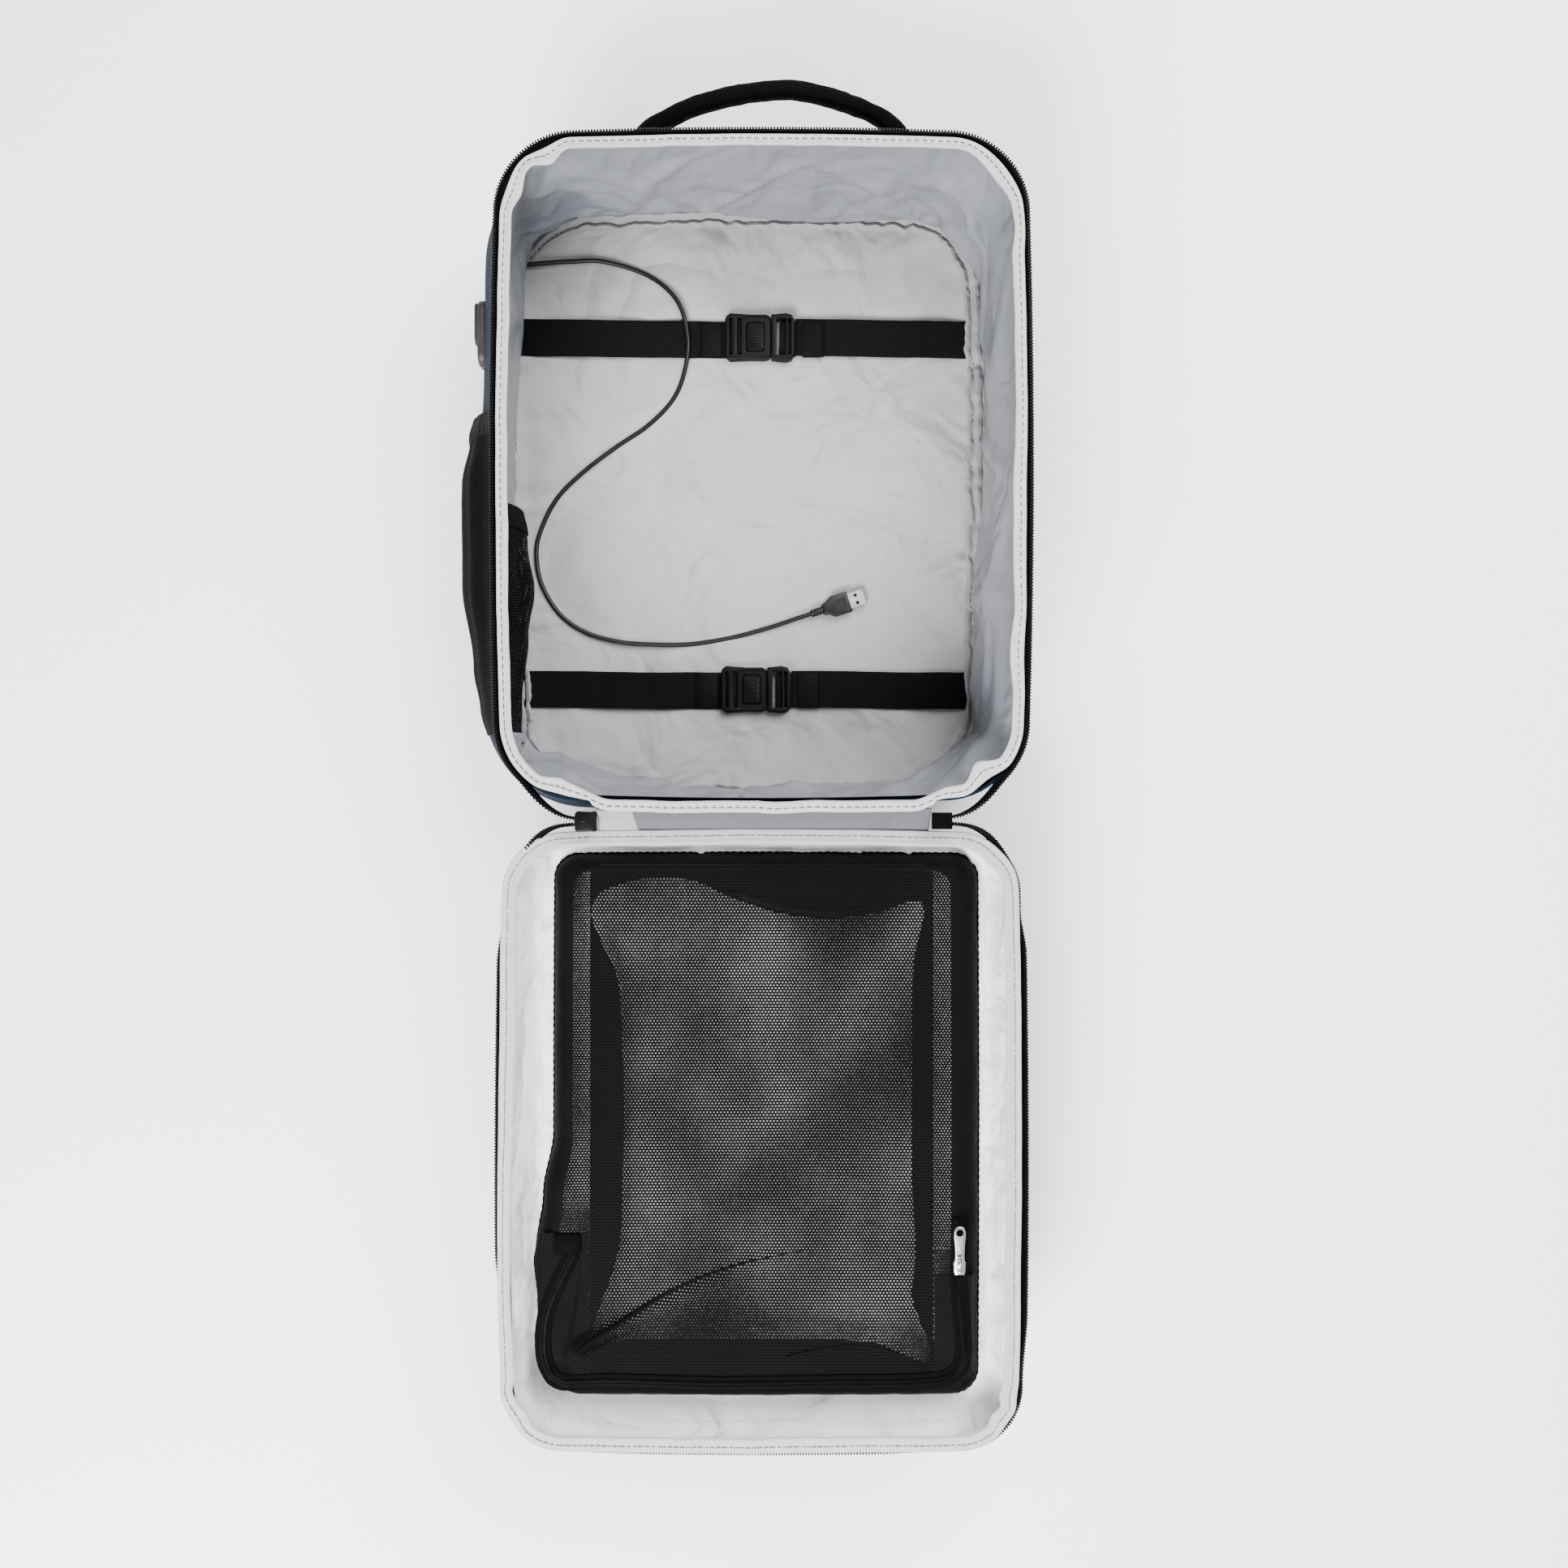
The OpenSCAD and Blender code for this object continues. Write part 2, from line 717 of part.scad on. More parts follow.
module buckle_tongue() {
    color("#1d1d1f") {
        translate([gap, 0, 0]) difference() {
            mirror([1, 0, 0]) barrel(buckle_frame_l, buckle_w, buckle_t, frame_bulge);
            translate([side_bar + frame_lip, -strap_w / 2 - gap, -cut])
                cube([buckle_frame_l - 2 * side_bar - frame_lip, strap_w + 2 * gap,
                      buckle_t + 2 * cut]);
        }
        translate([-blade_l, -blade_w / 2, blade_z])
            cube([blade_l + side_bar, blade_w, blade_t]);
    }
}

left_web = -buckle_body_l + side_bar - gap;    // where the left strap meets the socket half
right_web = 2 * gap + buckle_frame_l;          // where the right strap meets the frame

module upper_strap_left() {
    strap(upper_strap_y, strap_left_end, upper_split + left_web);
}
module upper_strap_right() {
    strap(upper_strap_y, upper_split + right_web, strap_right_end);
}
module lower_strap_left() {
    strap(lower_strap_y, strap_left_end, lower_split + left_web);
}
module lower_strap_right() {
    strap(lower_strap_y, lower_split + right_web, strap_right_end);
}

// The halves part at this distance from the middle of the buckle
split_shift = (buckle_body_l - buckle_frame_l) / 2;
upper_split = upper_buckle_x + split_shift;
lower_split = lower_buckle_x + split_shift;

module upper_buckle_body() { at_buckle(upper_split, upper_strap_y) buckle_body(); }
module upper_buckle_button() { at_buckle(upper_split, upper_strap_y) buckle_button(); }
module upper_buckle_tongue() { at_buckle(upper_split, upper_strap_y) buckle_tongue(); }
module lower_buckle_body() { at_buckle(lower_split, lower_strap_y) buckle_body(); }
module lower_buckle_button() { at_buckle(lower_split, lower_strap_y) buckle_button(); }
module lower_buckle_tongue() { at_buckle(lower_split, lower_strap_y) buckle_tongue(); }

/* ---- Side pockets ---- */

outer_mouth_t = 8;
inner_mouth_t = 17;
foot_rise = 4;      // run of the pocket's blunt lower end

// Cloth pocket of depth t, closed at its foot, open at its mouth and towards the wall. Its belly
// begins a little past half way up and narrows again towards the mouth.
module pocket(t, foot, mouth, mouth_t) {
    foot_t = 0.35 * t;
    belly = foot + 0.55 * (mouth - foot);
    belly_end = belly + 0.4 * (mouth - belly);
    shape = [[0, foot], [foot_t, foot + foot_rise], [t, belly], [t, belly_end],
             [mouth_t, mouth], [0, mouth]];
    inside = [[-cut, foot + pocket_cloth_t],
              [foot_t - pocket_cloth_t, foot + foot_rise + pocket_cloth_t],
              [t - pocket_cloth_t, belly], [t - pocket_cloth_t, belly_end],
              [mouth_t - pocket_cloth_t, mouth + cut], [-cut, mouth + cut]];
    difference() {
        linear_extrude(pocket_w) polygon(shape);
        translate([0, 0, pocket_cloth_t]) linear_extrude(pocket_w - 2 * pocket_cloth_t)
            polygon(inside);
    }
}

// Band round a pocket's mouth, open towards the wall
module mouth_band(t, mouth) {
    translate([0, mouth + gap, 0]) difference() {
        cube([t, mouth_band_w - gap, pocket_w]);
        translate([-cut, -cut, pocket_cloth_t])
            cube([t + cut - pocket_cloth_t, mouth_band_w + 2 * cut, pocket_w - 2 * pocket_cloth_t]);
    }
}

module outer_pocket() {
    color("#1e1b1a") translate([shell_left, 0, pocket_z]) mirror([1, 0, 0]) translate([gap, 0, 0])
        pocket(outer_pocket_t - gap, pocket_foot_y, outer_mouth_y - mouth_band_w, outer_mouth_t);
}

module outer_pocket_hem() {
    color("#2a2624") translate([shell_left, 0, pocket_z]) mirror([1, 0, 0]) translate([gap, 0, 0])
        mouth_band(outer_mouth_t, outer_mouth_y - mouth_band_w);
}

module inner_pocket_mesh() {
    color("#232326") translate([shell_left + lining_in + gap, 0, pocket_z])
        pocket(inner_pocket_t, pocket_foot_y, inner_mouth_y - mouth_band_w, inner_mouth_t);
}

module inner_pocket_band() {
    color("#19191b") translate([shell_left + lining_in + gap, 0, pocket_z])
        mouth_band(inner_mouth_t, inner_mouth_y - mouth_band_w);
}

/* ---- Lid ---- */

module lid_front_panel() {
    color("#22384b") slab(lid_z, panel_t) lid_rim();
}

module lid_gusset() {
    color("#1b3c56") slab(lid_z + panel_t, lid_wall_top - lid_z - panel_t) difference() {
        lid_rim();
        lid_rim(panel_t);
    }
}

module lid_foam() {
    color("#d8d8d2") slab(lid_foam_z, lid_foam_t) lid_rim(panel_t + gap);
}

module lid_lining() {
    color("#e3e4e8") {
        slab(lid_floor_z, lining_t) lid_rim(panel_t + gap);
        slab(lid_floor_z, lid_wall_top - lid_floor_z) difference() {
            lid_rim(panel_t + gap);
            lid_rim(lining_in);
        }
    }
}

// The lid's rim strip, the shell's one turned over the hinge
module lid_zip_ring(outer, inner) {
    translate([0, -hinge_gap]) mirror([0, 1]) zip_ring(outer, inner);
}

module lid_zip_tape() {
    color("#151515") slab(lid_tape_top - tape_t, tape_t) lid_zip_ring(0, rim_band_w);
}

module lid_zip_coil() {
    color("#202020") slab(lid_tape_top + gap, coil_h) lid_zip_ring(0, lid_coil_w);
}

module lid_binding() {
    color("#d2d4d3") slab(lid_tape_top + gap, coil_h) difference() {
        lid_rim(lid_coil_w + gap);
        lid_rim(rim_band_w);
    }
}

/* ---- Mesh compartment ---- */

mesh_y = -hinge_gap - mesh_inset - mesh_l / 2;
border_z = lid_floor_top + gap;
border_h = 2.5;
border_w = 10;
gusset_z = border_z + border_h + gap;
mesh_edge = 1;      // how far the mesh lies inside the edge of its border
mesh_top_z = gusset_z + gusset_h + gap;
small_tape_t = 0.6;
small_tape_z = mesh_top_z + mesh_t + gap;
small_coil_h = 2;
small_coil_z = small_tape_z + small_tape_t + gap;
zip_r = 10;                         // radius of the zip's line at the corners
zip_left_top = mesh_y - 80;         // left end of the zip
zip_right_top = mesh_y - 62;        // right end of the zip's tape
small_slider_w = 8.6;
small_slider_t = 3.8;
small_slider_y = mesh_y - 94;
coil_end = 2;                       // tape left past the coil's left end
coil_in = 4;                        // how far the closed coil runs into the slider

module mesh_plan(inset = 0) {
    translate([0, mesh_y]) rounded(mesh_w - 2 * inset, mesh_l - 2 * inset, mesh_r - inset);
}

module mesh_band(outer, inner) {
    difference() {
        mesh_plan(outer);
        mesh_plan(inner);
    }
}

module mesh_border() {
    color("#161616") slab(border_z, border_h) mesh_band(0, border_w);
}

module mesh_gusset() {
    color("#202022") slab(gusset_z, gusset_h) mesh_band(mesh_edge, mesh_edge + mesh_t);
}

module mesh_top() {
    color("#3a3a3e") slab(mesh_top_z, mesh_t) mesh_plan(mesh_edge);
}

// U-shaped run of the compartment's zip, round its foot, up to the two heights given
module zip_run(w, left_top, right_top) {
    intersection() {
        difference() {
            translate([0, mesh_y]) rounded(mesh_w - 2 * zip_inset + w, mesh_l - 2 * zip_inset + w,
                                           zip_r + w / 2);
            translate([0, mesh_y]) rounded(mesh_w - 2 * zip_inset - w, mesh_l - 2 * zip_inset - w,
                                           zip_r - w / 2);
        }
        union() {
            translate([-mesh_w / 2, mesh_y - mesh_l / 2 - cut])
                square([mesh_w / 2, left_top - mesh_y + mesh_l / 2 + cut]);
            translate([-cut, mesh_y - mesh_l / 2 - cut])
                square([mesh_w / 2 + cut, right_top - mesh_y + mesh_l / 2 + cut]);
        }
    }
}

module pocket_zip_tape() {
    color("#151515") slab(small_tape_z, small_tape_t)
        zip_run(small_tape_w, zip_left_top, zip_right_top);
}

module pocket_zip_coil() {
    color("#242424") slab(small_coil_z, small_coil_h)
        zip_run(small_coil_w, zip_left_top - coil_end,
                small_slider_y - small_slider_l / 2 + coil_in);
}

// Slider running along Y over the coil, its lug on top
module pocket_slider() {
    color("#c9c4bc")
    translate([mesh_w / 2 - zip_inset, small_slider_y, small_coil_z]) {
        difference() {
            translate([-small_slider_w / 2, -small_slider_l / 2, 0])
                cube([small_slider_w, small_slider_l, small_slider_t]);
            translate([-small_coil_w / 2 - gap, -small_slider_l / 2 - cut, -cut])
                cube([small_coil_w + 2 * gap, small_slider_l + 2 * cut,
                      small_coil_h + gap + cut]);
        }
        translate([0, 0, small_slider_t]) rotate([0, 0, 90]) lug();
    }
}

module pocket_pull() {
    color("#d6d1c9") translate([mesh_w / 2 - zip_inset, small_slider_y,
                                small_coil_z + small_slider_t + eye_z])
        rotate([0, 0, 90]) pull_tab(small_pull_l, small_pull_w, small_pull_w);
}

/* ---- Assembly ---- */

// Sets a piece in the frame whose origin lies under the middle of the whole bag
module placed() {
    translate(-middle) children();
}

placed() shell_back_panel();
placed() shell_gusset();
placed() back_foam();
placed() floor_lining();
placed() wall_lining();
placed() floor_piping();
placed() shell_zip_tape();
placed() shell_zip_coil();
placed() shell_binding();
placed() hinge_strip();
placed() main_slider();
placed() main_pull();
placed() zip_end_tab();
placed() handle_anchors();
placed() carry_handle();
placed() port_housing();
placed() port_socket();
placed() port_flap();
placed() lead_grommet();
placed() usb_lead();
placed() plug_overmould();
placed() plug_shell();
placed() plug_insulator();
placed() upper_strap_left();
placed() upper_strap_right();
placed() upper_buckle_body();
placed() upper_buckle_button();
placed() upper_buckle_tongue();
placed() lower_strap_left();
placed() lower_strap_right();
placed() lower_buckle_body();
placed() lower_buckle_button();
placed() lower_buckle_tongue();
placed() outer_pocket();
placed() outer_pocket_hem();
placed() inner_pocket_mesh();
placed() inner_pocket_band();
placed() lid_front_panel();
placed() lid_gusset();
placed() lid_foam();
placed() lid_lining();
placed() lid_zip_tape();
placed() lid_zip_coil();
placed() lid_binding();
placed() mesh_border();
placed() mesh_gusset();
placed() mesh_top();
placed() pocket_zip_tape();
placed() pocket_zip_coil();
placed() pocket_slider();
placed() pocket_pull();
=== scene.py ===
"""Looks of an open clamshell travel backpack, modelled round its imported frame.

Everything is in metres in the frame's own axes: +X across the bag, +Y from the lid towards the
carry handle, +Z up from the surface that the bag lies on. Each sub-assembly is a class that
builds its pieces and dresses them; the finishes are frozen dataclasses.
"""

from __future__ import annotations

import logging
import math
from collections.abc import Callable, Sequence
from dataclasses import dataclass, field
from enum import Enum
from functools import cache
from itertools import accumulate

import bmesh
import bpy
from mathutils.bvhtree import BVHTree
from mathutils import Matrix, Vector, noise


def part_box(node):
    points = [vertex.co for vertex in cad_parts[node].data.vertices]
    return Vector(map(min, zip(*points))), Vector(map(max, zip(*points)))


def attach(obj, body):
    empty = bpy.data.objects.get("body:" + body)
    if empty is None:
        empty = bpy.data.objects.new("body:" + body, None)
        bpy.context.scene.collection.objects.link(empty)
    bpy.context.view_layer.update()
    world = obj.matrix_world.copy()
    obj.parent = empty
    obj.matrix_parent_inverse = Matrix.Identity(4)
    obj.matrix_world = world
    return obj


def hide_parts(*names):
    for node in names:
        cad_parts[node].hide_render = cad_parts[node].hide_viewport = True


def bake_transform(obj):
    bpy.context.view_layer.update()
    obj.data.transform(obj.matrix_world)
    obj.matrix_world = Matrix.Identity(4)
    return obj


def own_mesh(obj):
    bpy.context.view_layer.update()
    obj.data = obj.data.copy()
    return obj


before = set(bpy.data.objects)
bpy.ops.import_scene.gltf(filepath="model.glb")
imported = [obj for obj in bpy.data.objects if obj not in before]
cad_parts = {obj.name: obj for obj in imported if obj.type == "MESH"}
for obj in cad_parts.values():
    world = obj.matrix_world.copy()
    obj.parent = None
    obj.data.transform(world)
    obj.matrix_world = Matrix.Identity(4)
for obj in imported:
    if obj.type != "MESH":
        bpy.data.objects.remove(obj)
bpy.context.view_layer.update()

logging.basicConfig(level=logging.INFO, format="%(message)s")
log = logging.getLogger("backpack")

Place = Callable[[float, float], Vector]
MM = 0.001
UP, LEFT, RIGHT = Vector((0, 0, 1)), Vector((-1, 0, 0)), Vector((1, 0, 0))


class Body(Enum):
    """The moving bodies of the bag."""

    SHELL = "shell"
    LID = "lid"
    MAIN_SLIDER = "main_slider"
    MAIN_PULL = "main_pull"
    HANDLE = "handle"
    PORT_FLAP = "port_flap"
    UPPER_BUTTON = "upper_button"
    UPPER_TONGUE = "upper_tongue"
    LOWER_BUTTON = "lower_button"
    LOWER_TONGUE = "lower_tongue"
    POCKET_SLIDER = "pocket_slider"
    POCKET_PULL = "pocket_pull"


# ---- Small mathematics ----


def smooth_step(low: float, high: float, value: float) -> float:
    """Eases from 0 at low to 1 at high."""
    share = min(max((value - low) / (high - low), 0.0), 1.0)
    return share * share * (3.0 - 2.0 * share)


def bump(value: float, middle: float, reach: float) -> float:
    """A smooth hill, 1 at the middle and 0 at the reach on both sides."""
    share = min(abs(value - middle) / reach, 1.0)
    return (1.0 - share * share) ** 2


def ripple(x: float, y: float, seed: float, octaves: int = 3) -> float:
    """Seeded soft noise, about -1 to 1.

    Args:
        x: First coordinate, in wavelengths.
        y: Second coordinate, in wavelengths.
        seed: Picks the pattern.
        octaves: How many finer patterns are added.

    Returns:
        The value at that place.
    """
    total, size, weight = 0.0, 1.0, 0.0
    for octave in range(octaves):
        total += noise.noise(Vector((x / size, y / size, seed + 7.3 * octave))) * size
        weight += size
        size *= 0.5
    return 1.6 * total / weight


def crease(x: float, y: float, seed: float) -> float:
    """Sharp-backed cloth creases, 0 to 1, from folded noise."""
    return (1.0 - min(abs(ripple(x, y, seed, 2)) * 2.4, 1.0)) ** 2


def table(value: float, points: Sequence[tuple[float, float]]) -> float:
    """Reads a smooth curve through a few (place, amount) points.

    Args:
        value: Where to read it.
        points: The points, in rising order of place.

    Returns:
        The amount there; the ends hold their own amounts.
    """
    if value <= points[0][0]:
        return points[0][1]
    for (a, low), (b, high) in zip(points, points[1:]):
        if value <= b:
            return low + (high - low) * smooth_step(a, b, value)
    return points[-1][1]


@dataclass(frozen=True)
class Outline:
    """A rounded rectangle in plan whose sides bow outwards.

    A place on it is a share of the way round, from 0 to 1, anticlockwise from the middle of its
    side nearest -Y.
    """

    middle: Vector
    width: float
    length: float
    radius: float
    bow: float = 0.0

    @classmethod
    def of_box(cls, low: Vector, high: Vector, radius: float, bow: float = 0.0) -> Outline:
        """The outline that fills a box in plan."""
        return cls((low + high) / 2, high.x - low.x, high.y - low.y, radius, bow)

    def grown(self, amount: float) -> Outline:
        """The same outline, larger by an amount all round."""
        return Outline(
            self.middle,
            self.width + 2 * amount,
            self.length + 2 * amount,
            max(self.radius + amount, MM),
            self.bow,
        )

    @property
    def perimeter(self) -> float:
        """The way round, in metres."""
        return 2 * (self.width + self.length) - (8 - 2 * math.pi) * self.radius

    def at(self, share: float, inset: float = 0.0) -> tuple[Vector, Vector]:
        """The point at a share of the way round.

        Args:
            share: From 0 to 1, and round again past those.
            inset: How far inwards of the outline the point lies.

        Returns:
            The point and its outward normal, both level.
        """
        radius, arc = self.radius, math.pi * self.radius / 2
        half_w, half_l = self.width / 2, self.length / 2
        flat_w, flat_l = self.width - 2 * radius, self.length - 2 * radius
        left = (share % 1.0) * self.perimeter + flat_w / 2
        place, angle = Vector((0, 0, 0)), 0.0
        corners = (
            (flat_w, Vector((-flat_w / 2, -half_l, 0)), -math.pi / 2),
            (flat_l, Vector((half_w, -flat_l / 2, 0)), 0.0),
            (flat_w, Vector((flat_w / 2, half_l, 0)), math.pi / 2),
            (flat_l, Vector((-half_w, flat_l / 2, 0)), math.pi),
            (flat_w, Vector((-flat_w / 2, -half_l, 0)), 1.5 * math.pi),
        )
        for run, start, facing in corners:
            outward = Vector((math.cos(facing), math.sin(facing), 0))
            ahead = Vector((-outward.y, outward.x, 0))
            if left <= run:
                place, angle = start + ahead * left, facing
                break
            left -= run
            if left <= arc:
                angle = facing + left / radius
                hub = start + ahead * run - outward * radius
                place = hub + Vector((math.cos(angle), math.sin(angle), 0)) * radius
                break
            left -= arc
        across, along = place.x / half_w, place.y / half_l
        place.x -= across * self.bow * along * along
        place.y -= along * self.bow * across * across
        normal = Vector((math.cos(angle), math.sin(angle), 0))
        flat_middle = Vector((self.middle.x, self.middle.y, 0))
        return flat_middle + place - normal * inset, normal

    def left_x(self, y: float) -> float:
        """The x of the outline's left side at a y."""
        along = min(max((y - self.middle.y) / (self.length / 2), -1.0), 1.0)
        past = max(abs(y - self.middle.y) - (self.length / 2 - self.radius), 0.0)
        short = self.radius - math.sqrt(max(self.radius**2 - past**2, 0.0))
        return self.middle.x - self.width / 2 + self.bow * along * along + short

    def inside(self, u: float, v: float) -> Vector:
        """A point of a square net stretched over the outline, u and v from -1 to 1."""
        reach = max(abs(u), abs(v))
        if reach < 1e-6:
            return Vector((self.middle.x, self.middle.y, 0))
        angle = math.atan2(v * self.length, u * self.width)
        edge = self.reach_at(angle)
        square = Vector((u * self.width / 2, v * self.length / 2, 0))
        full = square / reach
        pull = 1.0 + (edge / full.length - 1.0) * reach**6
        return Vector((self.middle.x, self.middle.y, 0)) + square * pull

    def reach_at(self, angle: float) -> float:
        """The distance from the middle to the outline in one direction."""
        half_w, half_l, radius = self.width / 2, self.length / 2, self.radius
        c, s = abs(math.cos(angle)), abs(math.sin(angle))
        straight = min(half_w / max(c, 1e-9), half_l / max(s, 1e-9))
        x, y = straight * c, straight * s
        if x > half_w - radius and y > half_l - radius:
            a, b = half_w - radius, half_l - radius
            along = a * c + b * s
            return along + math.sqrt(max(along * along - a * a - b * b + radius * radius, 0.0))
        return straight


# ---- Mesh making ----


def face_outwards(net: bmesh.types.BMesh, outward: Vector) -> None:
    """Turns a sheet's faces over if they look away from the outward direction."""
    total = Vector((0, 0, 0))
    for face in net.faces:
        face.normal_update()
        total += face.normal * face.calc_area()
    if total.dot(outward) < 0:
        bmesh.ops.reverse_faces(net, faces=net.faces)


def skin(
    segments: tuple[int, int],
    size: tuple[float, float],
    place: Place,
    closed: tuple[bool, bool] = (False, False),
    turned: bool = False,
    facing: Vector | None = None,
    lengthwise: bool = False,
) -> bmesh.types.BMesh:
    """A net of quads laid over a surface, with a UV map in metres of cloth.

    Args:
        segments: Faces along u and along v.
        size: Length of the cloth along u and along v, for the UV map.
        place: Gives the point at (u, v), each from 0 to 1.
        closed: Whether u and v come round to where they began.
        turned: Whether the faces are turned over to face outwards.
        facing: The way that an open sheet's faces look, where that isn't left to its net.
        lengthwise: Whether the cloth's own length runs along v.

    Returns:
        The new mesh.
    """
    net = bmesh.new()
    bmesh.ops.create_grid(net, x_segments=segments[0], y_segments=segments[1], size=0.5)
    weave = net.loops.layers.uv.new("UVMap")
    for face in net.faces:
        for loop in face.loops:
            co = loop.vert.co
            spot = ((co.x + 0.5) * size[0], (co.y + 0.5) * size[1])
            loop[weave].uv = spot[::-1] if lengthwise else spot
    for vert in net.verts:
        u, v = min(vert.co.x + 0.5, 1.0), min(vert.co.y + 0.5, 1.0)
        vert.co = place(0.0 if closed[0] and u > 0.99999 else u, 0.0 if closed[1] and v > 0.99999 else v)
    if any(closed):
        bmesh.ops.remove_doubles(net, verts=net.verts, dist=1e-6)
    if turned:
        bmesh.ops.reverse_faces(net, faces=net.faces)
    elif closed[0]:
        bmesh.ops.recalc_face_normals(net, faces=net.faces)
    if facing:
        face_outwards(net, facing)
    return net


def box(low: Sequence[float], high: Sequence[float], soft: float = 0.0, steps: int = 2) -> bmesh.types.BMesh:
    """A block between two corners, with all its edges rounded.

    Args:
        low: Lowest corner.
        high: Highest corner.
        soft: Radius of the edges.
        steps: Faces across each rounded edge.

    Returns:
        The new mesh.
    """
    low, high = Vector(low), Vector(high)
    block = bmesh.new()
    bmesh.ops.create_cube(block, size=1.0, calc_uvs=True)
    bmesh.ops.transform(
        block,
        matrix=Matrix.Translation((low + high) / 2) @ Matrix.Diagonal((high - low).to_4d()),
        verts=block.verts,
    )
    if soft:
        bevel(block, block.edges, soft, steps)
    return block


def bevel(mesh: bmesh.types.BMesh, edges: Sequence, soft: float, steps: int = 2) -> None:
    """Rounds edges by a radius in that many steps."""
    bmesh.ops.bevel(
        mesh,
        geom=list(edges),
        offset=soft,
        offset_type="OFFSET",
        affect="EDGES",
        segments=steps,
        profile=0.5,
        material=-1,
        clamp_overlap=True,
    )


def plate(
    points: Sequence[tuple[float, float]], bottom: float, top: float, soft: float = 0.0, steps: int = 2,
) -> bmesh.types.BMesh:
    """A flat plate of an outline, extruded and with its rims rounded.

    Args:
        points: The outline in plan, anticlockwise.
        bottom: Height of its lower face.
        top: Height of its upper face.
        soft: Radius of the upper and lower rims.
        steps: Faces across each rounded rim.

    Returns:
        The new mesh.
    """
    mesh = bmesh.new()
    verts = [mesh.verts.new((x, y, bottom)) for x, y in points]
    lower = mesh.faces.new(verts)
    raised = bmesh.ops.extrude_face_region(mesh, geom=[lower])["geom"]
    bmesh.ops.translate(
        mesh,
        vec=(0, 0, top - bottom),
        verts=[item for item in raised if isinstance(item, bmesh.types.BMVert)],
    )
    if soft:
        rims = [
            edge
            for edge in mesh.edges
            if abs(edge.verts[0].co.z - edge.verts[1].co.z) < 1e-7 and edge.calc_length() > 1e-6
        ]
        bevel(mesh, rims, soft, steps)
    bmesh.ops.recalc_face_normals(mesh, faces=mesh.faces)
    return mesh


def stadium(
    length: float, width: float, steps: int = 10, middle: tuple[float, float] = (0.0, 0.0),
) -> list[tuple[float, float]]:
    """Outline of a bar with round ends along X, anticlockwise."""
    radius, points = width / 2, []
    for side in (1, -1):
        hub = side * (length / 2 - radius)
        for step in range(steps + 1):
            angle = math.pi * step / steps - side * math.pi / 2
            points.append((middle[0] + hub + radius * math.cos(angle), middle[1] + radius * math.sin(angle)))
    return points


def rounded_outline(width: float, length: float, radius: float, steps: int = 5) -> list[tuple[float, float]]:
    """Outline of a rounded rectangle about the origin, anticlockwise."""
    points = []
    for corner in range(4):
        facing = corner * math.pi / 2
        sx = 1 if corner in (0, 3) else -1
        sy = 1 if corner in (0, 1) else -1
        for step in range(steps + 1):
            angle = facing + math.pi / 2 * step / steps
            points.append(
                (
                    sx * (width / 2 - radius) + radius * math.cos(angle),
                    sy * (length / 2 - radius) + radius * math.sin(angle),
                )
            )
    return points


def rod(radius: float, length: float, sides: int = 20, soft: float = 0.0) -> bmesh.types.BMesh:
    """A round bar about Z from z = 0 up, with its rims rounded."""
    mesh = bmesh.new()
    bmesh.ops.create_cone(
        mesh, cap_ends=True, segments=sides, radius1=radius, radius2=radius, depth=length
    )
    bmesh.ops.translate(mesh, vec=(0, 0, length / 2), verts=mesh.verts)
    if soft:
        rims = [e for e in mesh.edges if abs(e.verts[0].co.z - e.verts[1].co.z) < 1e-7]
        bevel(mesh, rims, soft)
    return mesh


def moved(mesh: bmesh.types.BMesh, matrix: Matrix) -> bmesh.types.BMesh:
    """The same mesh, turned and set in its place."""
    bmesh.ops.transform(mesh, matrix=matrix, verts=mesh.verts)
    return mesh


def laid_along(here: Vector, ahead: Vector) -> Matrix:
    """Matrix that lays a bar that stands on Z at a place, along a direction."""
    return Matrix.Translation(here) @ ahead.to_track_quat("Z", "Y").to_matrix().to_4x4()


def joined(*meshes: bmesh.types.BMesh) -> bmesh.types.BMesh:
    """All of several meshes in the first of them."""
    first = meshes[0]
    first.loops.layers.uv.verify()
    for other in meshes[1:]:
        other.loops.layers.uv.verify()
        data = bpy.data.meshes.new("joined")
        other.to_mesh(data)
        first.from_mesh(data)
        bpy.data.meshes.remove(data)
        other.free()
    return first


def repeated(pattern: bmesh.types.BMesh, matrices: Sequence[Matrix]) -> bmesh.types.BMesh:
    """Copies of one small mesh at many places."""
    data = bpy.data.meshes.new("pattern")
    pattern.loops.layers.uv.verify()
    pattern.to_mesh(data)
    pattern.free()
    mesh, count = bmesh.new(), len(data.vertices)
    for matrix in matrices:
        mesh.from_mesh(data)
        mesh.verts.ensure_lookup_table()
        for vert in mesh.verts[-count:]:
            vert.co = matrix @ vert.co
    bpy.data.meshes.remove(data)
    return mesh


def carved(body: bpy.types.Object, *cutters: bmesh.types.BMesh) -> None:
    """Cuts the shapes of some closed meshes out of a piece."""
    for cutter in cutters:
        data = bpy.data.meshes.new("cutter")
        cutter.to_mesh(data)
        cutter.free()
        tool = bpy.data.objects.new("cutter", data)
        bpy.context.scene.collection.objects.link(tool)
        cut = body.modifiers.new("cut", "BOOLEAN")
        cut.operation, cut.solver, cut.object = "DIFFERENCE", "EXACT", tool
        settle_modifiers(body)
        bpy.data.objects.remove(tool)
        bpy.data.meshes.remove(data)


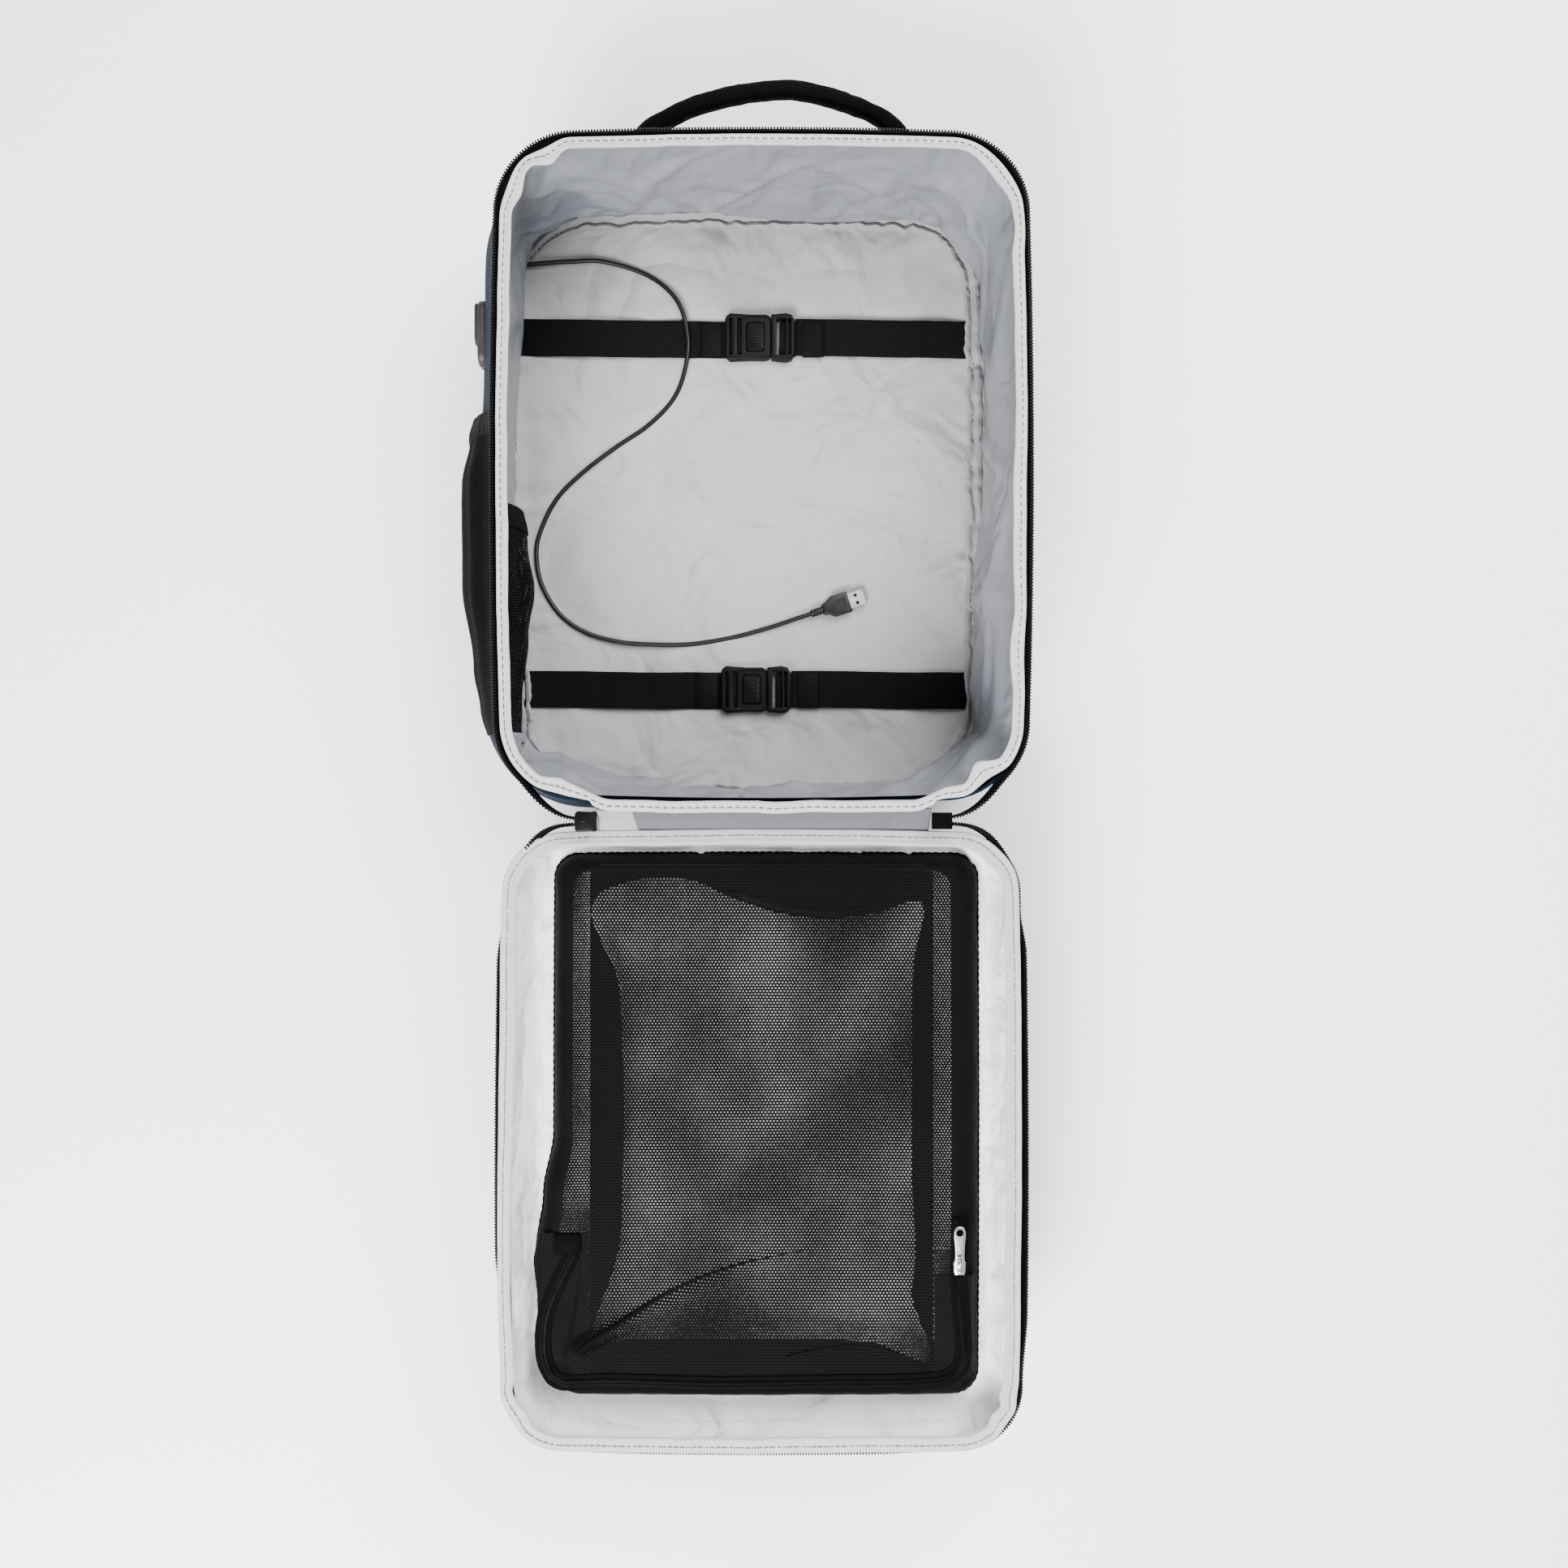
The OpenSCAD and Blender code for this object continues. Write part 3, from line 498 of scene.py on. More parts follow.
def settle_modifiers(item: bpy.types.Object) -> None:
    """Makes the result of a piece's modifiers its own mesh."""
    bpy.context.view_layer.update()
    graph = bpy.context.evaluated_depsgraph_get()
    result = bpy.data.meshes.new_from_object(item.evaluated_get(graph))
    old, result.name = item.data, item.name
    item.modifiers.clear()
    item.data = result
    bpy.data.meshes.remove(old)


def add(
    name: str,
    mesh: bmesh.types.BMesh,
    finish: bpy.types.Material,
    body: Body | None,
    stands_for: Sequence[str] = (),
    flat: bool = False,
) -> bpy.types.Object:
    """Puts a piece in the scene, riding on its body.

    Args:
        name: Name of the piece.
        mesh: Its mesh, in place.
        finish: Its material.
        body: The body that it rides on, or None, which leaves it on no body.
        stands_for: The frame's nodes that it replaces.
        flat: Whether its faces stay flat rather than shaded smooth.

    Returns:
        The new object.
    """
    data = bpy.data.meshes.new(name)
    mesh.to_mesh(data)
    mesh.free()
    if not flat:
        data.shade_smooth()
        data.set_sharp_from_angle(angle=math.radians(38))
    item = bpy.data.objects.new(name, data)
    bpy.context.scene.collection.objects.link(item)
    data.materials.append(finish)
    if body is not None:
        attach(item, body.value)
    if stands_for:
        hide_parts(*stands_for)
    log.info("%s: %d faces, %s", name, len(data.polygons), f"rides on {body.value}" if body else "bends")
    return item


def thicken(item: bpy.types.Object, amount: float, offset: float = -1.0) -> bpy.types.Object:
    """Gives a sheet its thickness, inwards of its face unless told otherwise."""
    wall = item.modifiers.new("cloth", "SOLIDIFY")
    wall.thickness, wall.offset = amount, offset
    return item


def eased(item: bpy.types.Object) -> None:
    """Rounds a moulding's sharp edges a little."""
    edge = item.modifiers.new("edges", "BEVEL")
    edge.width, edge.segments, edge.profile, edge.limit_method = 0.0004, 2, 0.5, "ANGLE"
    edge.angle_limit = math.radians(50)


def soften(item: bpy.types.Object, levels: int = 1) -> bpy.types.Object:
    """Subdivides a piece smoothly."""
    smooth = item.modifiers.new("smooth", "SUBSURF")
    smooth.levels = smooth.render_levels = levels
    return item


def keep_inside(item: bpy.types.Object, wall: bpy.types.Object, clear: float) -> None:
    """Pushes a lining's points back inside the outer wall that it hangs in.

    Args:
        item: The lining, or another piece inside the wall.
        wall: The padded wall, whose outward faces are the limit.
        clear: How far inside those faces each point stays.
    """
    spots = [vert.co for vert in wall.data.vertices]
    middle = sum(spots, Vector()) / len(spots)
    outer = [
        list(face.vertices) for face in wall.data.polygons
        if face.normal.xy.dot((face.center - middle).xy) > 0.02 * face.normal.length
    ]
    tree = BVHTree.FromPolygons(spots, outer)
    for vert in item.data.vertices:
        spot, normal, _, _ = tree.find_nearest(vert.co)
        level = Vector((normal.x, normal.y, 0.0))
        if level.length < 0.3:
            continue
        level.normalize()
        past = (vert.co - spot).dot(level) + clear
        if past > 0:
            vert.co -= level * past


def relax(
    item: bpy.types.Object,
    held: Callable[[Vector], float],
    growth: float,
    cap: float,
    frames: int = 24,
    gravity: float = 0.3,
    behind: float = 0.0012,
) -> None:
    """Lets a piece of cloth buckle as real slack cloth does, and keeps the result.

    Args:
        item: The sheet, a single layer of quads.
        held: How firmly each point is held by its seam, from 0 to 1.
        growth: How much longer the cloth is than its place, as a share.
        cap: The farthest that a point may move.
        frames: Steps of the simulation.
        gravity: Share of full gravity.
        behind: The farthest that a point may move back against its face.
    """
    fronts = [vert.normal.copy() for vert in item.data.vertices]
    before = [vert.co.copy() for vert in item.data.vertices]
    pins = item.vertex_groups.new(name="seams")
    for index, place in enumerate(before):
        firm = held(place)
        if firm > 0:
            pins.add([index], firm, "REPLACE")
    cloth = item.modifiers.new("cloth", "CLOTH")
    settings = cloth.settings
    settings.quality = 5
    settings.mass = 0.15
    settings.tension_stiffness = settings.compression_stiffness = 12
    settings.shear_stiffness = 6
    settings.bending_stiffness = 0.04
    settings.air_damping = 2.0
    settings.vertex_group_mass = "seams"
    settings.shrink_min = -growth
    settings.effector_weights.gravity = gravity
    cloth.collision_settings.use_collision = False
    cloth.point_cache.frame_start, cloth.point_cache.frame_end = 1, frames
    scene = bpy.context.scene
    for step in range(1, frames + 1):
        scene.frame_set(step)
    graph = bpy.context.evaluated_depsgraph_get()
    shaped = [vert.co.copy() for vert in item.evaluated_get(graph).data.vertices]
    item.modifiers.remove(cloth)
    item.vertex_groups.remove(pins)
    scene.frame_set(1)
    for vert, old, new, front in zip(item.data.vertices, before, shaped, fronts):
        step = new - old
        step -= front * min(step.dot(front) + behind, 0.0)
        if step.length > cap:
            step *= cap * (2.0 - cap / step.length) / step.length if step.length < 4 * cap else 1.7 * cap / step.length
        vert.co = old + step
    item.data.update()


# ---- Finishes ----


class Recipe:
    """Builds one material's nodes, and closes them in a Principled shader."""

    def __init__(self, name: str, color: Sequence[float], roughness: float, **sockets: float) -> None:
        """Starts a material with its constant sockets set.

        Args:
            name: Name of the material.
            color: Its mean colour.
            roughness: Its mean roughness.
            **sockets: Other constants, named as on the shader with underscores.
        """
        self.material = bpy.data.materials.new(name)
        self.material.use_nodes = True
        self.tree = self.material.node_tree
        self.shader = self.tree.nodes["Principled BSDF"]
        self.shader.inputs["Base Color"].default_value = (*color, 1)
        self.shader.inputs["Roughness"].default_value = roughness
        for key, value in sockets.items():
            self.shader.inputs[key.replace("_", " ")].default_value = value
        self.coords = self.tree.nodes.new("ShaderNodeTexCoord")
        self.height = None

    @property
    def cloth(self) -> bpy.types.NodeSocket:
        """Place on the piece's own UV map, in metres of cloth."""
        return self.coords.outputs["UV"]

    @property
    def space(self) -> bpy.types.NodeSocket:
        """Place in the object's own space, in metres."""
        return self.coords.outputs["Object"]

    def node(self, kind: str, settings: dict | None = None, **inputs: object) -> bpy.types.Node:
        """Adds a node, with its settings and its inputs by name or number.

        Args:
            kind: The node's type, without its ShaderNode prefix.
            settings: Properties of the node.
            **inputs: Values or sockets; i0, i1 and so on are inputs by number.

        Returns:
            The new node.
        """
        made = self.tree.nodes.new("ShaderNode" + kind)
        for key, value in (settings or {}).items():
            setattr(made, key, value)
        for key, value in inputs.items():
            socket = made.inputs[int(key[1:])] if key[1:].isdigit() else made.inputs[key.replace("_", " ")]
            if isinstance(value, bpy.types.NodeSocket):
                self.tree.links.new(value, socket)
            else:
                socket.default_value = value
        return made

    def effect(self, group: bpy.types.NodeTree, **inputs: object) -> bpy.types.Node:
        """Places a shared effect in the material with its own values."""
        return self.node("Group", {"node_tree": group}, **inputs)

    def math(self, operation: str, a: object, b: object = 0.0) -> bpy.types.NodeSocket:
        """One sum of two values."""
        return self.node("Math", {"operation": operation}, i0=a, i1=b).outputs[0]

    def shade(self, mask: bpy.types.NodeSocket, dark: Sequence[float], light: Sequence[float]) -> None:
        """Colours the surface between two colours by a mask."""
        mix = self.node("Mix", {"data_type": "RGBA"}, Factor=mask)
        mix.inputs[6].default_value, mix.inputs[7].default_value = (*dark, 1), (*light, 1)
        self.tree.links.new(mix.outputs[2], self.shader.inputs["Base Color"])

    def rough(self, mask: bpy.types.NodeSocket, low: float, high: float) -> None:
        """Varies the roughness between two values by a mask."""
        span = self.node("MapRange", None, Value=mask, To_Min=low, To_Max=high)
        self.tree.links.new(span.outputs[0], self.shader.inputs["Roughness"])

    def relief(self, height: bpy.types.NodeSocket, distance: float, strength: float = 1.0) -> None:
        """Adds a bump over what is there already."""
        lift = self.node("Bump", None, Height=height, Distance=distance, Strength=strength)
        if self.height is not None:
            self.tree.links.new(self.height, lift.inputs["Normal"])
        self.height = lift.outputs["Normal"]
        self.tree.links.new(self.height, self.shader.inputs["Normal"])


class Effects:
    """The shared node groups, each built once."""

    @staticmethod
    def _group(name: str, inputs: dict[str, float], outputs: Sequence[str]) -> tuple:
        """Starts a group with its sockets.

        Args:
            name: Name of the group.
            inputs: Its value inputs and their defaults; it also has a Vector input.
            outputs: Names of its value outputs.

        Returns:
            The group, its input node, its output node and a function that adds a Math node.
        """
        tree = bpy.data.node_groups.new(name, "ShaderNodeTree")
        tree.interface.new_socket("Vector", in_out="INPUT", socket_type="NodeSocketVector")
        for key, value in inputs.items():
            socket = tree.interface.new_socket(key, in_out="INPUT", socket_type="NodeSocketFloat")
            socket.default_value = value
        for key in outputs:
            tree.interface.new_socket(key, in_out="OUTPUT", socket_type="NodeSocketFloat")
        start, end = tree.nodes.new("NodeGroupInput"), tree.nodes.new("NodeGroupOutput")

        def sum_of(operation: str, a: object, b: object = 0.0) -> bpy.types.NodeSocket:
            """One Math node of the group."""
            made = tree.nodes.new("ShaderNodeMath")
            made.operation = operation
            for socket, value in zip(made.inputs, (a, b)):
                if isinstance(value, bpy.types.NodeSocket):
                    tree.links.new(value, socket)
                else:
                    socket.default_value = value
            return made.outputs[0]

        return tree, start, end, sum_of

    @classmethod
    @cache
    def weave(cls) -> bpy.types.NodeTree:
        """Plain weave: crossing threads that pass over and under each other."""
        tree, start, end, sum_of = cls._group("plain_weave", {"Pitch": 0.0005}, ("Height", "Thread"))
        split = tree.nodes.new("ShaderNodeSeparateXYZ")
        tree.links.new(start.outputs["Vector"], split.inputs[0])
        turns = sum_of("DIVIDE", math.pi, start.outputs["Pitch"])
        u, v = (sum_of("SINE", sum_of("MULTIPLY", split.outputs[k], turns)) for k in (0, 1))
        over = sum_of("MULTIPLY", u, v)
        height = sum_of("MULTIPLY", over, sum_of("SUBTRACT", sum_of("ABSOLUTE", u), 0.2))
        tree.links.new(sum_of("ADD", height, 0.5), end.inputs["Height"])
        tree.links.new(sum_of("MULTIPLY", sum_of("ADD", over, 1.0), 0.5), end.inputs["Thread"])
        return tree

    @classmethod
    @cache
    def ribs(cls) -> bpy.types.NodeTree:
        """Rows of ribs along u, each crossed by fine picks."""
        tree, start, end, sum_of = cls._group("ribs", {"Pitch": 0.0015, "Pick": 0.0006}, ("Height",))
        split = tree.nodes.new("ShaderNodeSeparateXYZ")
        tree.links.new(start.outputs["Vector"], split.inputs[0])
        across = sum_of("DIVIDE", math.tau, start.outputs["Pitch"])
        along = sum_of("DIVIDE", math.tau, start.outputs["Pick"])
        rib = sum_of("SINE", sum_of("MULTIPLY", split.outputs[1], across))
        pick = sum_of("SINE", sum_of("MULTIPLY", split.outputs[0], along))
        crossed = sum_of("MULTIPLY", sum_of("MULTIPLY", pick, sum_of("SIGN", rib)), 0.25)
        total = sum_of("ADD", sum_of("ABSOLUTE", rib), crossed)
        tree.links.new(sum_of("MULTIPLY", total, 0.8), end.inputs["Height"])
        return tree

    @classmethod
    @cache
    def knit(cls) -> bpy.types.NodeTree:
        """Mesh knit: staggered round holes between threads."""
        tree, start, end, sum_of = cls._group("knit", {"Pitch": 0.0022, "Hole": 0.3}, ("Cloth", "Height"))
        split = tree.nodes.new("ShaderNodeSeparateXYZ")
        tree.links.new(start.outputs["Vector"], split.inputs[0])
        u, v = (sum_of("DIVIDE", split.outputs[k], start.outputs["Pitch"]) for k in (0, 1))
        v = sum_of("MULTIPLY", v, 1.16)
        row = sum_of("FLOOR", v)
        shift = sum_of("MULTIPLY", sum_of("PINGPONG", row, 1.0), 0.5)
        du = sum_of("SUBTRACT", sum_of("FRACT", sum_of("ADD", u, shift)), 0.5)
        dv = sum_of("SUBTRACT", sum_of("FRACT", v), 0.5)
        apart = sum_of("SQRT", sum_of("ADD", sum_of("MULTIPLY", du, du), sum_of("MULTIPLY", dv, dv)))
        cloth = sum_of("GREATER_THAN", apart, start.outputs["Hole"])
        tree.links.new(cloth, end.inputs["Cloth"])
        tree.links.new(apart, end.inputs["Height"])
        return tree

    @classmethod
    @cache
    def mottle(cls) -> bpy.types.NodeTree:
        """Broad uneven patches with a finer grain in them: dye and handling on most finishes, painted shade on the
        floor lining and the mesh.
        """
        tree, start, end, sum_of = cls._group("mottle", {"Size": 0.06, "Grain": 0.002}, ("Patch", "Speck"))
        for size, output, detail in (("Size", "Patch", 4.0), ("Grain", "Speck", 2.0)):
            cloud = tree.nodes.new("ShaderNodeTexNoise")
            tree.links.new(start.outputs["Vector"], cloud.inputs["Vector"])
            tree.links.new(sum_of("DIVIDE", 1.0, start.outputs[size]), cloud.inputs["Scale"])
            cloud.inputs["Detail"].default_value = detail
            sharp = sum_of("ADD", sum_of("MULTIPLY", sum_of("SUBTRACT", cloud.outputs["Fac"], 0.5), 2.2), 0.5)
            tree.links.new(sharp, end.inputs[output])
        return tree


def scaled(color: Sequence[float], factor: float) -> tuple[float, ...]:
    """A colour, darker or lighter."""
    return tuple(min(part * factor, 1.0) for part in color)


@dataclass(frozen=True)
class WovenCloth:
    """Plain-woven cloth, such as a lining or the outer fabric."""

    name: str
    color: tuple[float, float, float]
    pitch: float = 0.00055
    contrast: float = 0.10
    roughness: float = 0.75
    sheen: float = 0.25
    depth: float = 0.00012
    fold: float = 0.0008
    fold_size: float = 0.03
    patch: float = 0.06
    shine: float = 0.3
    crease: float = 0.0

    def make(self) -> bpy.types.Material:
        """Builds the material."""
        recipe = Recipe(
            self.name, self.color, self.roughness, Sheen_Weight=self.sheen, Specular_IOR_Level=self.shine
        )
        weave = recipe.effect(Effects.weave(), Vector=recipe.cloth, Pitch=self.pitch)
        mottle = recipe.effect(Effects.mottle(), Vector=recipe.space, Size=self.patch, Grain=0.0015)
        # Colour from broad mottle patches and the weave's threads; on the floor lining, with its larger patch and
        # contrast, the patches are painted shade.
        blend = recipe.math(
            "ADD",
            recipe.math("MULTIPLY", mottle.outputs["Patch"], 0.6),
            recipe.math("MULTIPLY", weave.outputs["Thread"], 0.4),
        )
        recipe.shade(blend, scaled(self.color, 1 - self.contrast), scaled(self.color, 1 + self.contrast))
        recipe.rough(mottle.outputs["Speck"], self.roughness - 0.08, self.roughness + 0.08)
        crumple = recipe.node(
            "TexNoise", None, Vector=recipe.space, Scale=1 / self.fold_size, Detail=3.0, Distortion=0.6,
        )
        recipe.relief(crumple.outputs["Fac"], self.fold, 0.7)
        if self.crease:
            cloud = recipe.node(
                "TexNoise", None, Vector=recipe.space, Scale=0.45 / self.fold_size, Detail=1.5, Distortion=1.1,
            )
            ridge = recipe.math("ABSOLUTE", recipe.math("SUBTRACT", cloud.outputs["Fac"], 0.5))
            sharp = recipe.math("MINIMUM", recipe.math("MULTIPLY", ridge, 5.0), 1.0)
            recipe.relief(sharp, self.crease, 0.8)
        recipe.relief(weave.outputs["Height"], self.depth, 0.8)
        return recipe.material


@dataclass(frozen=True)
class RibbedTape:
    """Webbing, elastic or zip tape, ribbed along its run."""

    name: str
    color: tuple[float, float, float]
    pitch: float = 0.0016
    pick: float = 0.0007
    roughness: float = 0.7
    depth: float = 0.0003
    contrast: float = 0.6
    shine: float = 0.10

    def make(self) -> bpy.types.Material:
        """Builds the material."""
        recipe = Recipe(self.name, self.color, self.roughness, Specular_IOR_Level=self.shine)
        ribs = recipe.effect(Effects.ribs(), Vector=recipe.cloth, Pitch=self.pitch, Pick=self.pick)
        mottle = recipe.effect(Effects.mottle(), Vector=recipe.space, Size=0.02, Grain=0.001)
        # The colour follows the rib height: painted shade in the grooves and lighter crests, with a random fine grain.
        mask = recipe.math(
            "ADD",
            recipe.math("MULTIPLY", ribs.outputs["Height"], 0.7),
            recipe.math("MULTIPLY", mottle.outputs["Speck"], 0.3),
        )
        recipe.shade(mask, scaled(self.color, 1 - self.contrast), scaled(self.color, 1 + self.contrast))
        recipe.rough(mottle.outputs["Patch"], self.roughness - 0.08, self.roughness + 0.08)
        recipe.relief(ribs.outputs["Height"], self.depth, 0.9)
        return recipe.material


@dataclass(frozen=True)
class MeshKnit:
    """Open knitted mesh that shows what lies under it through its holes."""

    name: str
    color: tuple[float, float, float]
    pitch: float = 0.0022
    hole: float = 0.3
    # How far the holes open and close in broad patches: painted shade and light of the net's soft shadow waves on the
    # lining.
    slack: float = 0.0
    level: bool = True

    def make(self) -> bpy.types.Material:
        """Builds the material."""
        recipe = Recipe(self.name, self.color, 0.6, Specular_IOR_Level=0.02)
        # Painted shade and light: broad patches narrow or open the holes and darken or lighten the net, standing in for
        # its soft shadow waves on the lining.
        mottle = recipe.effect(Effects.mottle(), Vector=recipe.space, Size=0.07, Grain=0.0015)
        spread = recipe.math("MULTIPLY", recipe.math("SUBTRACT", mottle.outputs["Patch"], 0.5), self.slack)
        size = recipe.math("ADD", spread, self.hole)
        place = recipe.space if self.level else recipe.cloth
        knit = recipe.effect(Effects.knit(), Vector=place, Pitch=self.pitch, Hole=size)
        recipe.shade(mottle.outputs["Patch"], scaled(self.color, 0.75), scaled(self.color, 1.3))
        recipe.rough(mottle.outputs["Speck"], 0.5, 0.7)
        recipe.tree.links.new(knit.outputs["Cloth"], recipe.shader.inputs["Alpha"])
        recipe.relief(knit.outputs["Height"], 0.0003, 0.5)
        return recipe.material


@dataclass(frozen=True)
class Moulded:
    """Moulded plastic or rubber, with a fine spark-eroded grain and faint handling marks."""

    name: str
    color: tuple[float, float, float]
    roughness: float = 0.45
    grain: float = 0.0006
    depth: float = 0.00004
    coat: float = 0.0
    shine: float = 0.3

    def make(self) -> bpy.types.Material:
        """Builds the material."""
        recipe = Recipe(
            self.name, self.color, self.roughness, Coat_Weight=self.coat, Coat_Roughness=0.3,
            Specular_IOR_Level=self.shine,
        )
        mottle = recipe.effect(Effects.mottle(), Vector=recipe.space, Size=0.012, Grain=self.grain)
        recipe.shade(mottle.outputs["Patch"], scaled(self.color, 0.8), scaled(self.color, 1.25))
        recipe.rough(mottle.outputs["Patch"], self.roughness - 0.07, self.roughness + 0.09)
        recipe.relief(mottle.outputs["Speck"], self.depth, 0.6)
        return recipe.material


@dataclass(frozen=True)
class PlatedMetal:
    """Bright plated metal with fine scratches and dull patches."""

    name: str
    color: tuple[float, float, float]
    roughness: float = 0.22

    def make(self) -> bpy.types.Material:
        """Builds the material."""
        recipe = Recipe(self.name, self.color, self.roughness, Metallic=1.0)
        mottle = recipe.effect(Effects.mottle(), Vector=recipe.space, Size=0.004, Grain=0.0004)
        recipe.shade(mottle.outputs["Patch"], scaled(self.color, 0.88), scaled(self.color, 1.06))
        recipe.rough(mottle.outputs["Speck"], self.roughness - 0.06, self.roughness + 0.12)
        recipe.relief(mottle.outputs["Patch"], 0.00003, 0.3)
        return recipe.material


@dataclass(frozen=True)
class Thread:
    """Sewing thread, twisted."""

    name: str
    color: tuple[float, float, float]

    def make(self) -> bpy.types.Material:
        """Builds the material."""
        recipe = Recipe(self.name, self.color, 0.6, Sheen_Weight=0.2)
        twist = recipe.node("TexWave", None, Vector=recipe.space, Scale=500.0, Distortion=2.0)
        # The colour follows the twist's relief: painted shade in its grooves and lighter ridges.
        recipe.shade(twist.outputs["Fac"], scaled(self.color, 0.85), scaled(self.color, 1.1))
        recipe.relief(twist.outputs["Fac"], 0.00005, 0.5)
        return recipe.material


class Wardrobe:
    """Every finish of the bag, made once."""

    def __init__(self) -> None:
        """Makes the materials."""
        self.outer = WovenCloth(
            "petrol_blue_polyester", (0.0020, 0.0092, 0.0190), pitch=0.0009, contrast=0.3, depth=0.0003,
            sheen=0.0, shine=0.08,
        ).make()
        # Floor lining: its larger, stronger colour patches are painted shade, lighter and darker patches over its grey.
        self.floor = WovenCloth(
            "warm_grey_lining_painted_shade", (0.300, 0.300, 0.297), contrast=0.10, fold=0.0300, fold_size=0.075,
            crease=0.0050, patch=0.11,
        ).make()
        self.satin = WovenCloth(
            "satin_grey_lining", (0.190, 0.198, 0.222), contrast=0.06, roughness=0.38, sheen=0.0, fold=0.0030,
            fold_size=0.035, crease=0.0022, shine=0.5
        ).make()
        # The hinge strip's satin, much darker than the wall lining: painted shade of the dip between the two rims.
        self.strip = WovenCloth(
            "strip_satin_painted_shade", (0.100, 0.104, 0.117), contrast=0.06, roughness=0.45, sheen=0.0, crease=0.0015, shine=0.4
        ).make()
        self.white = WovenCloth(
            "near_white_lining", (0.80, 0.805, 0.82), contrast=0.025, roughness=0.55, fold=0.0160,
            fold_size=0.05, crease=0.0050,
        ).make()
        self.shell_bind = WovenCloth(
            "off_white_binding", (0.41, 0.41, 0.40), contrast=0.05, fold=0.0006, fold_size=0.012
        ).make()
        # The binding's own light grey, darkened further as painted shade to outline its rolled edge against the lining.
        self.lid_bind = WovenCloth(
            "light_grey_binding_painted_shade", (0.37, 0.375, 0.37), contrast=0.05, fold=0.0006, fold_size=0.012
        ).make()
        # The piping cloth's own grey, darkened below the floor lining's as painted shade along its grooves.
        self.piping = WovenCloth(
            "piping_cloth_painted_shade", (0.235, 0.235, 0.237), contrast=0.06, fold=0.0008, fold_size=0.01
        ).make()
        self.tape = RibbedTape("black_zip_tape", (0.0022, 0.0022, 0.0024), pitch=0.0012, depth=0.0002, shine=0.02).make(

        )
        self.coil = Moulded("black_nylon_coil", (0.0026, 0.0026, 0.0028), roughness=0.35, shine=0.10).make()
        self.webbing = RibbedTape(
            "black_webbing", (0.0016, 0.0016, 0.0017), pitch=0.0022, pick=0.001, depth=0.0005, shine=0.04
        ).make()
        self.elastic = RibbedTape(
            "black_elastic", (0.0028, 0.0028, 0.0028), pitch=0.0018, pick=0.0009, depth=0.0004, shine=0.07
        ).make()
        self.stretch = WovenCloth(
            "brown_black_stretch_knit", (0.0020, 0.0017, 0.0016), pitch=0.0008, contrast=0.3, sheen=0.0, shine=0.03
        ).make()
        self.mesh = MeshKnit("black_mesh", (0.0027, 0.0027, 0.0030), pitch=0.0024, hole=0.225, slack=0.15).make()
        self.open_mesh = MeshKnit("see_through_mesh", (0.0026, 0.0026, 0.0028), hole=0.27, slack=0.05).make()
        self.side_mesh = MeshKnit("pocket_mesh", (0.0026, 0.0026, 0.0028), hole=0.20, slack=0.2, level=False).make()
        self.close_mesh = MeshKnit("close_black_mesh", (0.0026, 0.0026, 0.0028), hole=0.0, slack=0.0).make()
        self.buckle = Moulded("satin_black_nylon", (0.0022, 0.0022, 0.0023), roughness=0.42, shine=0.09).make()
        self.slider = Moulded("black_enamel", (0.0020, 0.0020, 0.0022), roughness=0.32, shine=0.12).make()
        self.port = Moulded("grey_brown_plastic", (0.028, 0.023, 0.019), roughness=0.5).make()
        self.port_rubber = Moulded("grey_brown_rubber", (0.024, 0.020, 0.017), roughness=0.62).make()
        self.lead = Moulded("black_cable_sheath", (0.0036, 0.0036, 0.0038), roughness=0.4, shine=0.25).make()
        self.plug = Moulded("black_plug_body", (0.0042, 0.0042, 0.0046), roughness=0.38, shine=0.25).make()
        self.nickel = PlatedMetal("bright_nickel", (0.62, 0.60, 0.56)).make()
        self.light_thread = Thread("light_thread", (0.09, 0.09, 0.09)).make()
        self.dark_thread = Thread("dark_thread", (0.010, 0.010, 0.011)).make()


# ---- Shared shapes of soft goods ----

Section = list[tuple[float, float]]


@dataclass(frozen=True)
class ZipRun:
    """The line of one zip half round a rim, open along the hinge."""

    rim: Outline
    height: float
    first: float
    last: float
    first_end: Vector
    last_end: Vector
    lead_in: float = 0.045
    tuck: tuple[tuple[float, float], ...] = ((0.0, 0.0),)

    @property
    def length(self) -> float:
        """Length of the run, in metres."""
        return (self.last - self.first) * self.rim.perimeter

    def at(self, share: float, inset: float, drop: float = 0.0) -> Vector:
        """A point of the run, inset from the rim and below its height.

        Args:
            share: How far along the run, from 0 to 1.
            inset: How far inwards of the rim.
            drop: How far below the run's height.

        Returns:
            The point, drawn in to the slider or the end tab near the run's ends.
        """
        around = self.first + (self.last - self.first) * share
        place, _ = self.rim.at(around, inset + table(around % 1.0, self.tuck))
        place.z = self.height - drop
        for end, distance in ((self.first_end, share), (self.last_end, 1 - share)):
            near = 1 - smooth_step(0, self.lead_in, distance * self.length)
            hinge_side = 1 if end.y < place.y else -1
            goal = Vector((end.x, end.y + hinge_side * inset * 0.25, end.z - drop * 0.5))
            slide = (place.x - end.x) * (1 - near * 0.05)
            place = place.lerp(Vector((end.x + slide, goal.y, goal.z)), near)
        return place

    def frame_at(self, share: float, inset: float) -> Matrix:
        """Matrix of a tooth there: its X points outwards, its Y along the run."""
        step = 0.002 / self.length
        ahead = (self.at(min(share + step, 1), inset) - self.at(max(share - step, 0), inset)).normalized()
        out = ahead.cross(UP).normalized()
        turn = Matrix((out, ahead, out.cross(ahead))).transposed().to_4x4()
        return Matrix.Translation(self.at(share, inset)) @ turn


